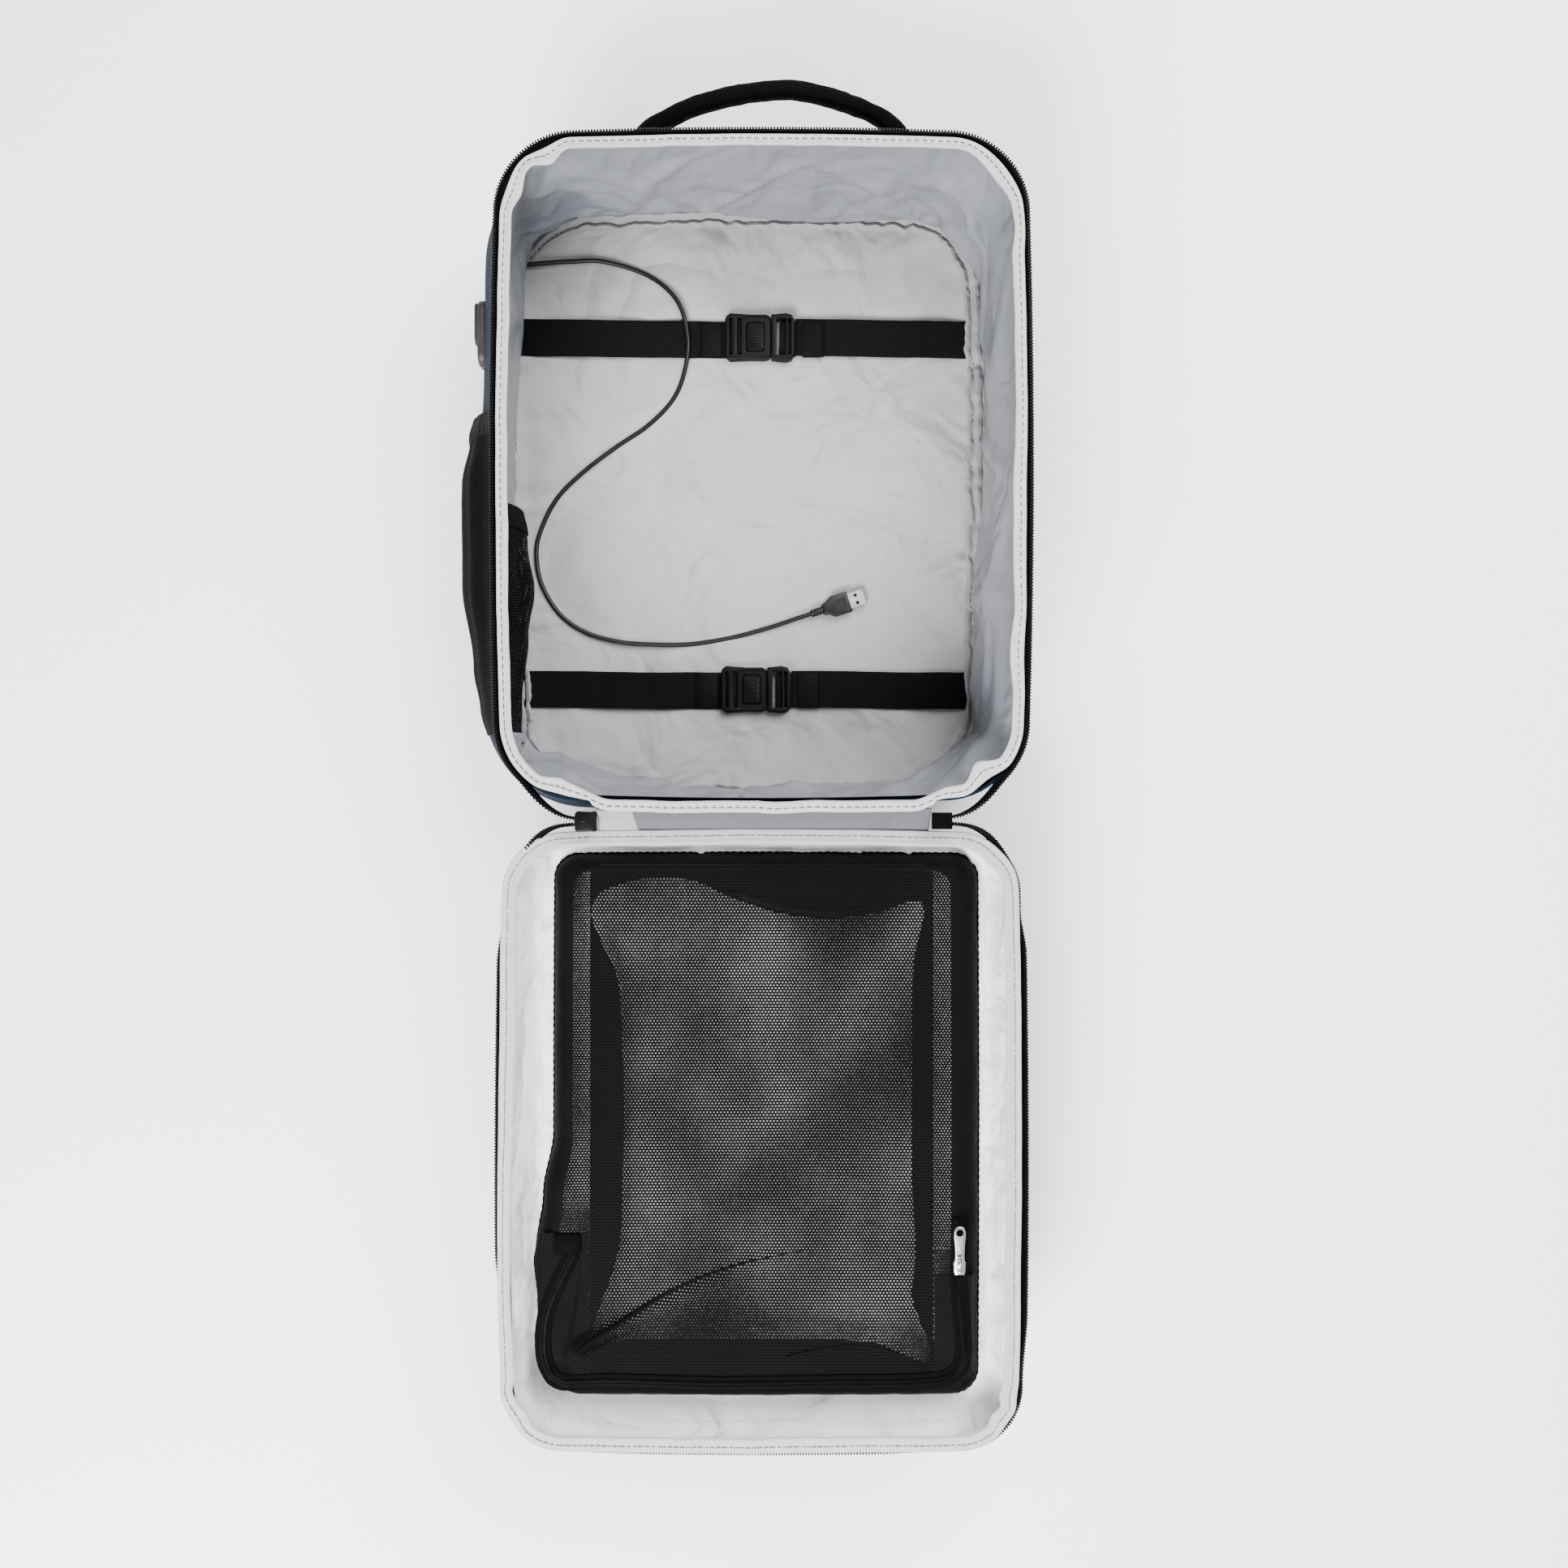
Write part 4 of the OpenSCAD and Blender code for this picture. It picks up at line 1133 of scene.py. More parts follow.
@dataclass
class ZipHalf:
    """One half of a coil zip: its tape and its row of teeth."""

    name: str
    run: ZipRun
    body: Body
    finishes: Wardrobe
    tape_w: float = 0.009
    tooth_pitch: float = 0.0021
    tooth_l: float = 0.0030

    def build(self, tape_node: str, coil_node: str) -> None:
        """Builds the tape and the teeth.

        Args:
            tape_node: The frame's tape that the tape replaces.
            coil_node: The frame's coil that the teeth replace.
        """
        count = int(self.run.length / 0.004)
        rows = 6

        def place(u: float, v: float) -> Vector:
            """A point of the tape."""
            inset = 0.0004 + self.tape_w * u
            sink = 0.0022 + 0.0012 * u + 0.0002 * ripple(v * 60, u, 3.1)
            return self.run.at(v, inset, sink)

        net = skin((rows, count), (self.tape_w, self.run.length), place, turned=True, lengthwise=True)
        tape = add(f"{self.name}_tape", net, self.finishes.tape, self.body, [tape_node])
        thicken(tape, 0.0009)
        tooth = box((-self.tooth_l / 2, -0.0007, -0.0011), (self.tooth_l / 2, 0.0007, 0.0011), 0.0005, 1)
        total = int(self.run.length / self.tooth_pitch)
        places = [self.run.frame_at((k + 0.5) / total, self.tooth_l / 2) for k in range(total)]
        teeth = add(
            f"{self.name}_coil", repeated(tooth, places), self.finishes.coil, self.body, [coil_node]
        )
        teeth.data.shade_smooth()


@dataclass(frozen=True)
class Slack:
    """A place on a rim where its binding droops inwards."""

    share: float
    reach: float
    depth: float
    drop: float = 0.0
    flat: float = 0.0


@dataclass
class Binding:
    """Folded binding tape round a rim: a flat stitched part and a rolled, wavy inner edge."""

    name: str
    rim: Outline
    top: float
    body: Body
    cloth: bpy.types.Material
    thread: bpy.types.Material
    slacks: Sequence[Slack]
    outer: float = 0.0052
    width: float = 0.0100
    wave: float = 0.0009
    seed: float = 1.0
    roll: float = 0.0016
    stitch_pitch: float = 0.0055

    def droop(self, share: float) -> tuple[float, float]:
        """How far inwards and down the tape hangs at a share of the way round."""
        inwards = self.wave * ripple(share * 34, 0.0, self.seed)
        down = 0.0005 * abs(ripple(share * 50, 4.0, self.seed + 2))
        for slack in self.slacks:
            apart = (share - slack.share + 0.5) % 1.0 - 0.5
            hill = bump(max(abs(apart) - slack.flat, 0.0), 0, slack.reach)
            inwards += slack.depth * hill
            down += slack.drop * hill
        return inwards, down

    def section(self) -> Section:
        """The tape's cross-section: how far inwards and how far below its top."""
        start, end, roll = self.outer, self.outer + self.width, self.roll
        return [
            (start, 0.0018), (start + 0.0005, 0.0009), (start + 0.0020, 0.0006), (end - 2.6 * roll, 0.0010),
            (end - 2.0 * roll, 0.0004), (end - 1.2 * roll, 0.0), (end - 0.4 * roll, 0.0004),
            (end, 0.4 * roll + 0.0006), (end - 0.2 * roll, 1.3 * roll), (end - 1.0 * roll, 1.9 * roll),
            (end - 2.4 * roll, 0.0024), (start + 0.0005, 0.0026),
        ]

    def point(self, share: float, inset: float, below: float) -> Vector:
        """A point of the tape at a share of the way round."""
        inwards, down = self.droop(share)
        lean = smooth_step(self.outer - 0.002, self.outer + self.width, inset)
        pucker = 0.00035 * math.sin(share * self.rim.perimeter / 0.0055 * math.tau + 3 * ripple(share * 90, 1, 5))
        place, _ = self.rim.at(share, inset + inwards * (0.35 + 0.65 * lean if inwards > -0.004 else 1.0))
        place.z = self.top - below - down * lean - pucker * (1 - abs(2 * lean - 1))
        return place

    def build(self, stands_for: Sequence[str], slot: str) -> None:
        """Builds the tape and its line of stitches.

        Args:
            stands_for: The frame's nodes that the tape replaces.
            slot: Not used.
        """
        section = self.section()
        around, count = len(section), int(self.rim.perimeter / 0.0022)
        breadth = 2.4 * self.width

        def place(u: float, v: float) -> Vector:
            """A point of the tape's skin."""
            inset, below = section[round(u * around) % around]
            return self.point(v, inset, below)

        net = skin((around, count), (breadth, self.rim.perimeter), place, closed=(True, True))
        add(f"{self.name}_tape", net, self.cloth, self.body, stands_for)
        stitch = rod(0.00032, 0.0036, 6, 0.0)
        bmesh.ops.translate(stitch, vec=(0, 0, -0.0018), verts=stitch.verts)
        total = int(self.rim.perimeter / self.stitch_pitch)
        line = self.outer + 0.42 * self.width
        places = []
        for k in range(total):
            share = k / total
            here = self.point(share, line, 0.0006)
            ahead = (self.point(share + 0.001, line, 0.0006) - here).normalized()
            places.append(laid_along(here, ahead))
        add(f"{self.name}_stitches", repeated(stitch, places), self.thread, self.body)


# ---- The shell ----


@dataclass
class Shell:
    """The deep half: padded outside, linings, floor, piping, rim."""

    finishes: Wardrobe
    settle_right: float = 0.006
    settle_top: float = 0.009
    lean_top: float = 0.008
    lean_left: float = 0.003
    tucked: float = 0.001
    base_corner: float = 0.062
    corner: float = 0.052
    bow: float = 0.0045
    shoulder: float = 0.110
    foot: float = 0.013
    wall: float = 0.0022
    base: Outline = field(init=False)
    settled: Outline = field(init=False)
    rim: Outline = field(init=False)
    crown: Outline = field(init=False)
    top: float = field(init=False)
    floor: float = field(init=False)
    rim_top: float = field(init=False)
    port_y: float = field(init=False)
    hull: bpy.types.Object = field(init=False)

    def __post_init__(self) -> None:
        """Reads the shell's places from the frame."""
        low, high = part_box("shell_back_panel")
        low += Vector((0, self.tucked, 0))
        self.base = Outline.of_box(low, high, self.base_corner, self.bow)
        spread = Vector((self.settle_right, self.settle_top, 0))
        self.settled = Outline.of_box(low, high + spread, self.base_corner, self.bow)
        low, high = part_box("shell_zip_tape")
        low.x -= self.lean_left
        self.rim = Outline.of_box(low, high + Vector((0, self.lean_top, 0)), self.corner, self.bow)
        self.crown = Outline.of_box(
            low + Vector((0.0015, 0.0026, 0)), high + Vector((-0.0015, self.lean_top - 0.0015, 0)),
            self.corner, self.bow,
        )
        self.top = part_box("shell_gusset")[1].z
        self.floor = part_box("floor_lining")[1].z
        self.rim_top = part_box("shell_binding")[1].z
        low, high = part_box("port_housing")
        self.port_y = (low.y + high.y) / 2

    def point(self, share: float, z: float, inset: float = 0.0) -> Vector:
        """A point of the shell's wall, inset from its outer face."""
        low, normal = self.settled.at(share, inset)
        mid, _ = self.base.at(share, inset)
        high, _ = self.crown.at(share, inset)
        to_middle, to_crown = self.lean(z)
        place = low.lerp(mid, to_middle).lerp(high, to_crown)
        place += normal * self.swell(place.y, z, normal.x < -0.5)
        place.z = z
        return place

    def lean(self, z: float) -> tuple[float, float]:
        """How far a height is from the foot to the middle line, and on to the crown, from 0 to 1."""
        to_crown = min(max((z - self.shoulder) / (self.top - self.shoulder), 0), 1)
        return smooth_step(0.02, 0.098, z), to_crown

    def swell(self, y: float, z: float, on_left: bool) -> float:
        """How far the padding stands out at a place, less so beside the port on the left."""
        swell = 0.0026 * math.sin(math.pi * min(max(z / self.top, 0), 1)) ** 2
        return swell * (1 - 0.75 * bump(y, self.port_y, 0.045)) if on_left else swell

    def left_x(self, y: float, z: float, inset: float) -> float:
        """The x of the left wall's face at a place along and up it."""
        low, mid, high = (line.left_x(y) for line in (self.settled, self.base, self.crown))
        to_middle, to_crown = self.lean(z)
        x = low + (mid - low) * to_middle
        x += (high - x) * to_crown
        return x - self.swell(y, z, True) + inset

    def outside(self) -> None:
        """Builds the padded outer wall with its rounded foot, its top edge turned in."""
        foot, steps = self.foot, 6
        rows = [(0.034, 0.0024), (0.026, 0.0008), (0.020, 0.0003)]
        for k in range(steps + 1):
            angle = math.pi / 2 * k / steps
            rows.append((foot * (1 - math.sin(angle)), foot * (1 - math.cos(angle)) + 0.0003))
        levels = 26
        rows += [(0.0, foot + (self.top - foot - 0.001) * k / levels) for k in range(1, levels + 1)]
        rows += [(0.0010, self.top), (self.wall, self.top), (self.wall, self.top - 0.02)]
        count = len(rows) - 1

        def place(u: float, v: float) -> Vector:
            """A point of the padded wall."""
            inset, z = rows[round(v * count)]
            spot = self.point(u, z, inset)
            _, normal = self.base.at(u)
            soft = math.sin(math.pi * min(z / self.top, 1)) if inset < 0.012 else 0
            spot += normal * soft * 0.0012 * ripple(u * 22, z * 18, 2.0)
            return spot

        net = skin((400, count), (self.base.perimeter, 0.22), place, closed=(True, False))
        wall = add("padded_wall", net, self.finishes.outer, Body.SHELL, ["shell_gusset"])
        self.hull = wall

    def back(self) -> None:
        """Builds the padded back panel that the bag lies on, with its sewn channels."""
        pad = self.settled.grown(-0.024)
        channels = (-0.36, 0.0, 0.36)

        def place(u: float, v: float) -> Vector:
            """A point of the pad's lower face."""
            a, b = 2 * u - 1, 2 * v - 1
            spot = pad.inside(a, b)
            groove = max(bump(b, line, 0.035) for line in channels)
            upright = bump(a, 0.0, 0.05)
            edge = smooth_step(0.86, 1.0, max(abs(a), abs(b)))
            spot.z = 0.0002 + 0.0026 * max(groove, upright, edge)
            return spot

        net = skin((72, 90), (pad.width, pad.length), place, turned=True)
        panel = add(
            "back_pad", net, self.finishes.outer, Body.SHELL, ["shell_back_panel", "back_foam"]
        )
        thicken(panel, 0.0045)

        def cord(u: float, v: float) -> Vector:
            """A point of the cord sewn round the back panel."""
            angle = math.tau * u
            spot, _ = self.settled.at(v, 0.0235 + 0.0019 * math.cos(angle))
            spot.z = 0.0022 + 0.0019 * math.sin(angle)
            return spot

        net = skin((10, 420), (0.012, self.settled.perimeter), cord, closed=(True, True))
        add("back_piping", net, self.finishes.tape, Body.SHELL)

    def wall_lining(self) -> None:
        """Builds the satin wall lining and lets it buckle between its two seams."""
        low, high = self.floor + 0.0018, self.rim_top - 0.0035
        seam = 0.0049

        def place(u: float, v: float) -> Vector:
            """A point of the lining, before it buckles."""
            z = low + (high - low) * v
            inset = seam + 0.0045 * smooth_step(0.82, 1.0, v) + 0.002 * (1 - v)
            apart = (u + 0.5) % 1.0 - 0.5
            _, normal = self.base.at(u)
            inset -= 0.0030 * smooth_step(0.5, 0.9, -normal.x) + 0.0020 * smooth_step(0.6, 1.0, -normal.y)
            inset -= 0.0074 * bump(max(abs(apart) - 0.066, 0.0), 0, 0.016) * smooth_step(0.7, 1.0, v)
            spot = self.point(u, z, inset)
            loose = math.sin(math.pi * v) * (1 - 0.8 * smooth_step(0.5, 0.9, -normal.x))
            folds = 0.0062 * crease(u * 17 + v * 1.4, v * 0.7, 13.0) + 0.0055 * crease(u * 11 - v * 1.9, v * 0.5, 15.0)
            spot -= normal * loose * (0.0018 + 0.0018 * ripple(u * 30 + v * 2.2, v * 1.5, 9.0) + folds)
            if spot.y < self.rim.middle.y:
                sag = table(spot.x, ((-0.165, 0.012), (-0.13, 0.027), (-0.09, 0.012), (-0.03, 0.0),
                                     (0.05, 0.0), (0.11, 0.010), (0.15, 0.020), (0.18, 0.008)))
                sag *= smooth_step(0.1, 0.6, -normal.y) * math.sin(math.pi * v**0.62)
                spot.y += sag * (1 + 0.15 * ripple(spot.x * 30, v, 11.0))
            return spot

        net = skin((360, 36), (self.base.perimeter, high - low), place, closed=(True, False), turned=True)
        lining = add("wall_lining_cloth", net, self.finishes.satin, Body.SHELL, ["wall_lining"])

        def held(spot: Vector) -> float:
            """The seams at the floor and under the binding."""
            return 1.0 if spot.z < low + 0.002 or spot.z > high - 0.005 else 0.0

        relax(lining, held, growth=0.035, cap=0.006, frames=26)
        keep_inside(lining, self.hull, self.wall + 0.0010)
        soften(lining)
        self.base.perimeter

    def floor_lining(self) -> None:
        """Builds the floor lining, which lies in soft waves and puckers at its seam."""
        cloth = self.settled.grown(-0.0040)
        level = self.floor - 0.0001

        def place(u: float, v: float) -> Vector:
            """A point of the floor lining."""
            a, b = 2 * u - 1, 2 * v - 1
            spot = cloth.inside(a, b)
            rim_share = smooth_step(0.80, 0.99, max(abs(a), abs(b)))
            waves = 0.0024 * (1 + ripple(spot.x / 0.07, spot.y / 0.16, 21.0))
            folds = 0.0022 * crease(spot.x / 0.13 + 0.3 * spot.y / 0.16, spot.y / 0.30, 24.0)
            pucker = 0.0012 * rim_share * (1 + ripple(spot.x / 0.018, spot.y / 0.018, 27.0))
            spot.z = level + waves + folds * (1 - rim_share) + pucker
            return spot

        net = skin((100, 124), (cloth.width, cloth.length), place)
        lining = add("floor_cloth", net, self.finishes.floor, Body.SHELL, ["floor_lining"])

        def held(spot: Vector) -> float:
            """The seam round the floor, and the places under the straps."""
            a = abs(spot.x - cloth.middle.x) / (cloth.width / 2)
            b = abs(spot.y - cloth.middle.y) / (cloth.length / 2)
            return 1.0 if max(a, b) > 0.975 else 0.0

        relax(lining, held, growth=0.006, cap=0.0022, frames=18, gravity=0.6)
        for vert in lining.data.vertices:
            vert.co.z = min(max(vert.co.z, level), level + 0.0060)
        keep_inside(lining, self.hull, self.wall + 0.0012)
        cloth.length

    @staticmethod
    def size_at(share: float) -> float:
        """How full the piping is at a share of the way round, flattened along the left wall."""
        return table(share, ((0.58, 1.0), (0.64, 0.35), (0.76, 0.35), (0.80, 0.9), (1.0, 1.0)))

    @staticmethod
    def sway_at(run: float) -> float:
        """How the piping weaves from side to side along its run."""
        return 0.0030 * ripple(run / 0.036, 0, 31.0) + 0.0026 * ripple(run / 0.013, 0, 33.0)

    def seat_at(self, share: float) -> float:
        """How far inwards of the foot the floor's piping runs at a share of the way round."""
        return table(share, ((0.0, 0.001), (0.10, 0.004), (0.13, 0.0065), (0.36, 0.0065), (0.40, 0.004),
                             (0.60, 0.004), (0.64, 0.0024), (0.86, 0.0024), (1.0, 0.001)))

    def piping(self) -> None:
        """Builds the ruffled piping round the floor: two ridges with a stitched groove between."""
        line, level = self.settled, self.floor
        section = [
            (0.0000, 0.0002), (0.0006, 0.0058), (0.0024, 0.0088), (0.0048, 0.0098), (0.0070, 0.0078),
            (0.0082, 0.0034), (0.0096, 0.0058), (0.0114, 0.0068), (0.0128, 0.0052), (0.0136, 0.0004),
        ]
        around, count = len(section), int(line.perimeter / 0.0020)

        def place(u: float, v: float) -> Vector:
            """A point of the piping."""
            inset, up = section[round(u * around) % around]
            run = v * line.perimeter
            sway = self.sway_at(run)
            pinch = 1.1 - 0.75 * max(ripple(run / 0.015, 0.5, 35.0, 2), 0.0)
            size = self.size_at(v)
            pinch, inset, sway = pinch * size, inset * size, sway * size**2
            spot, _ = line.at(v, self.seat_at(v) + inset + sway * (0.4 + 60 * inset))
            spot.z = level + up * pinch
            return spot

        net = skin((around, count), (0.022, line.perimeter), place, closed=(True, True))
        piping = add("floor_piping_cloth", net, self.finishes.piping, Body.SHELL, ["floor_piping"])
        keep_inside(piping, self.hull, self.wall + 0.0002)
        stitch = rod(0.0003, 0.003, 6)
        total = int(line.perimeter / 0.005)
        places = []
        for k in range(total):
            run = k / total * line.perimeter
            size = self.size_at(k / total)
            sway = self.sway_at(run) * size**2
            here, normal = line.at(k / total, self.seat_at(k / total) + 0.0083 * size + sway * 0.90)
            here.z = level + 0.0034
            places.append(laid_along(here, Vector((-normal.y, normal.x, 0))))
        finish = self.finishes.dark_thread
        stitches = add("piping_stitches", repeated(stitch, places), finish, Body.SHELL)
        keep_inside(stitches, self.hull, self.wall + 0.0002)

    def rim_parts(self) -> ZipHalf:
        """Builds the binding and the shell's half of the main zip."""
        slacks = [Slack(*row) for row in (
            (0.598, 0.012, 0.0055, 0.002), (0.626, 0.014, 0.0040, 0.002), (0.386, 0.022, 0.0035, 0.002),
            (0.355, 0.012, -0.0012), (0.104, 0.014, 0.0090, 0.004), (0.230, 0.050, 0.0015),
            (0.170, 0.020, 0.0022, 0.001), (0.908, 0.012, 0.0040, 0.001), (0.0, 0.018, -0.0080, 0.0, 0.066),
        )]
        Binding(
            "shell_binding", self.rim, self.rim_top, Body.SHELL, self.finishes.shell_bind,
            self.finishes.dark_thread, slacks, outer=0.0044, width=0.0080, seed=1.7, roll=0.0014,
        ).build(["shell_binding"], "shell_binding")
        tab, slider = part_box("zip_end_tab"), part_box("main_slider")
        z = (slider[0].z + slider[1].z) / 2 + 0.0008
        start = Vector((tab[1].x, tab[1].y - 0.0065, z))
        end = Vector((slider[0].x, slider[1].y - 0.0075, z))
        run = ZipRun(
            self.rim,
            self.rim_top - 0.001,
            (tab[1].x - self.rim.middle.x) / self.rim.perimeter,
            1 - (self.rim.middle.x - slider[0].x) / self.rim.perimeter,
            start,
            end,
        )
        half = ZipHalf("shell_main_zip", run, Body.SHELL, self.finishes, tape_w=0.0050)
        half.build("shell_zip_tape", "shell_zip_coil")
        return half

    def build(self) -> None:
        """Builds the whole shell."""
        self.outside()
        self.back()
        self.wall_lining()
        self.floor_lining()
        self.piping()
        self.rim_parts()


# ---- The hinge, the handle and the main slider ----


@dataclass
class HingeStrip:
    """The cloth strip that joins the two rims along the hinge side."""

    finishes: Wardrobe

    def build(self) -> None:
        """Builds the strip with its reinforcing patch, sagging between the two halves and riding on no body."""
        low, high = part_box("hinge_strip")
        start = Vector((0, high.y - 0.0005, high.z + 0.0040))
        end = Vector((0, low.y - 0.0050, low.z + 0.0085))
        width = (end - start).length

        def place(u: float, v: float) -> Vector:
            """A point of the strip, sagging a little between the rims."""
            spot = start.lerp(end, v)
            spot.x = low.x + (high.x - low.x) * u
            sag = math.sin(math.pi * v)
            spot.z -= 0.0012 * sag * (1 + 0.5 * ripple(u * 4, 0, 40.0))
            spot.y += 0.0005 * ripple(u * 9, v, 41.0) * sag
            return spot

        net = skin((130, 14), (high.x - low.x, width), place)
        strip = add("hinge_cloth", net, self.finishes.strip, None, ["hinge_strip"])
        thicken(strip, 0.0014, 0.0)
        settle_modifiers(strip)

        def patch(u: float, v: float) -> Vector:
            """A point of the white patch over the strip's end."""
            spot = place(0.002 + 0.105 * u + 0.012 * u * v, 0.06 + 0.88 * v)
            spot.z += 0.0012 * (1 - 0.4 * abs(2 * u - 1) ** 6)
            return spot

        net = skin((16, 12), (0.03, width), patch)
        cover = add("hinge_patch", net, self.finishes.floor, None)
        thicken(cover, 0.0009, -1.0)
        settle_modifiers(cover)
        for item in (strip, cover):
            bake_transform(item)
        low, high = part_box("zip_end_tab")
        drop = Vector((0, -0.0030, 0.0015))
        tab = box(low + drop, high + drop, 0.0006, 2)
        add("zip_end_cover", tab, self.finishes.tape, Body.SHELL, ["zip_end_tab"])


@dataclass
class CarryHandle:
    """The webbing handle and its sewn ends, folded to a rounded bar."""

    finishes: Wardrobe
    height: float = 0.017
    thick: float = 0.0115

    def build(self) -> None:
        """Builds the handle, which rides on no body."""
        low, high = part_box("handle_anchors")
        middle_z, foot = (low.z + high.z) / 2, low.y
        spine = (
            (-0.0800, 0.000), (-0.0765, 0.0090), (-0.0667, 0.0190), (-0.0510, 0.0285), (-0.0317, 0.0372),
            (-0.0080, 0.0435), (0.0120, 0.0466), (0.0390, 0.0474), (0.0709, 0.0393), (0.0930, 0.0300),
            (0.1080, 0.0190), (0.1145, 0.0085), (0.1155, 0.000),
        )
        points = [Vector((x, foot + y, middle_z)) for x, y in spine]
        path = curve_through(points, 16)
        lengths = lengths_of(path)
        total = lengths[-1]

        def place(u: float, v: float) -> Vector:
            """A point of the folded webbing."""
            here, ahead = along(path, v)
            side = ahead.cross(UP).normalized()
            angle = math.tau * u
            c, s = math.cos(angle), math.sin(angle)
            run = lengths[round(v * (len(path) - 1))] / total
            flat = smooth_step(0.0, 0.12, min(run, 1 - run))
            wide = self.thick / 2 * (0.55 + 0.45 * flat)
            wide *= 1 + 0.03 * ripple(run * 5, c * 0.5, 44.0)
            wide *= 1 - 0.10 * bump(run, 0.80, 0.03) - 0.08 * bump(run, 0.74, 0.02)
            across = math.copysign(abs(c) ** 0.75, c) * wide
            up = math.copysign(abs(s) ** 0.6, s) * self.height / 2 * (0.92 - 0.04 * flat)
            lump = 0.0005 * ripple(run * 26, angle, 45.0)
            return here + side * (across + lump) + Vector((0, 0, up))

        net = skin((20, len(path) - 1), (0.05, total), place, closed=(True, False), lengthwise=True)
        bmesh.ops.holes_fill(net, edges=net.edges, sides=0)
        bmesh.ops.recalc_face_normals(net, faces=net.faces)
        item = add(
            "webbing_handle", net, self.finishes.webbing, None, ["carry_handle", "handle_anchors"]
        )
        soften(item)
        settle_modifiers(item)
        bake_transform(item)


def along(path: Sequence[Vector], share: float) -> tuple[Vector, Vector]:
    """The point at a share of a line's points, and the line's direction there."""
    last = len(path) - 1
    index = min(int(round(share * last)), last)
    return path[index], (path[min(index + 1, last)] - path[max(index - 1, 0)]).normalized()


def lengths_of(path: Sequence[Vector]) -> list[float]:
    """How far along a line each of its points lies."""
    return list(accumulate(((b - a).length for a, b in zip(path, path[1:])), initial=0.0))


def curve_through(points: Sequence[Vector], steps: int) -> list[Vector]:
    """A smooth line through every point.

    Args:
        points: The points that it passes through.
        steps: Pieces of the line between two points.

    Returns:
        The line's own points, close together.
    """
    line = []
    for k in range(len(points) - 1):
        a = points[k - 1] if k else points[0] * 2 - points[1]
        b, c = points[k], points[k + 1]
        d = points[k + 2] if k + 2 < len(points) else c * 2 - b
        for step in range(steps):
            t = step / steps
            line.append(
                (b * 2 + (c - a) * t + (a * 2 - b * 5 + c * 4 - d) * t**2 + (b * 3 - a - c * 3 + d) * t**3) / 2
            )
    line.append(points[-1].copy())
    return line


@dataclass
class MainSlider:
    """The main zip's slider, enamelled black, and its pull."""

    finishes: Wardrobe

    def build(self) -> None:
        """Builds the slider with its nose, prongs and bridge, and the hanging pull."""
        low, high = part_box("main_slider")
        pull_low, pull_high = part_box("main_pull")
        for corner in (low, high, pull_low, pull_high):
            corner.y -= 0.0030
        low.y, high.y = low.y - 0.0008, high.y + 0.0008
        middle = (low + high) / 2
        long, wide = high.x - low.x, high.y - low.y
        lug_top = pull_high.z
        base = lug_top - 0.0006
        top = high.z
        outline = [
            (-0.30, -0.50), (0.22, -0.46), (0.42, -0.50), (0.50, -0.42), (0.48, 0.0), (0.50, 0.42),
            (0.42, 0.50), (0.22, 0.46), (-0.30, 0.50), (-0.40, 0.40), (-0.43, 0.0), (-0.40, -0.40),
        ]
        points = [(middle.x + x * long, middle.y + y * wide) for x, y in outline]
        upper = plate(points, top - 0.0024, top - 0.0002, 0.0009, 3)
        lower = plate(points, base + 0.0010, base + 0.0030, 0.0008, 2)
        diamond = box(
            (middle.x + 0.001, middle.y - 0.0016, base + 0.002),
            (middle.x + 0.006, middle.y + 0.0016, top - 0.001), 0.0005,
        )
        ridge = box(
            (middle.x - 0.0022, middle.y - 0.0004, top - 0.0008), (middle.x + 0.0012, middle.y + 0.0004, top),
            0.0003,
        )
        prongs = []
        for side in (-1, 1):
            y = middle.y + side * 0.0022
            prong = rod(0.0009, 0.0052, 12, 0.0004)
            turn = Matrix.Translation((low.x + 0.0052, y, top - 0.0022)) @ Matrix.Rotation(-math.pi / 2, 4, "Y")
            prongs.append(moved(prong, turn))
        lug = box(
            (pull_low.x - 0.0012, middle.y - 0.0028, low.z),
            (pull_high.x + 0.0012, middle.y + 0.0028, base + 0.0016), 0.0006,
        )
        mesh = joined(upper, lower, diamond, ridge, lug, *prongs)
        add("main_slider_body", mesh, self.finishes.slider, Body.MAIN_SLIDER, ["main_slider"])
        wide = pull_high.y - pull_low.y
        drop = pull_high.z - pull_low.z
        shape = [
            (-0.50, 0.10), (-0.50, 0.06), (-0.42, 0.0), (0.42, 0.0), (0.50, 0.06), (0.50, 0.30),
            (0.36, 0.55), (0.36, 0.94), (0.28, 1.0), (-0.28, 1.0), (-0.36, 0.94), (-0.36, 0.55), (-0.50, 0.30),
        ]
        points = [(x * wide, y * drop) for x, y in shape]
        thick = pull_high.x - pull_low.x
        pull = plate(points, 0, thick, 0.0003, 2)
        stand = Matrix.Translation((pull_low.x, (pull_low.y + pull_high.y) / 2, pull_low.z))
        turn = Matrix(((0, 0, 1, 0), (1, 0, 0, 0), (0, 1, 0, 0), (0, 0, 0, 1)))
        item = add(
            "main_pull_tab", moved(pull, stand @ turn), self.finishes.slider, Body.MAIN_PULL, ["main_pull"],
        )
        hole = stand @ turn @ Matrix.Translation((0, 0.8 * drop, 0))
        carved(item, moved(plate(stadium(0.0052, 0.0034, 8), -0.01, 0.01), hole))


# ---- The USB port and the pockets ----


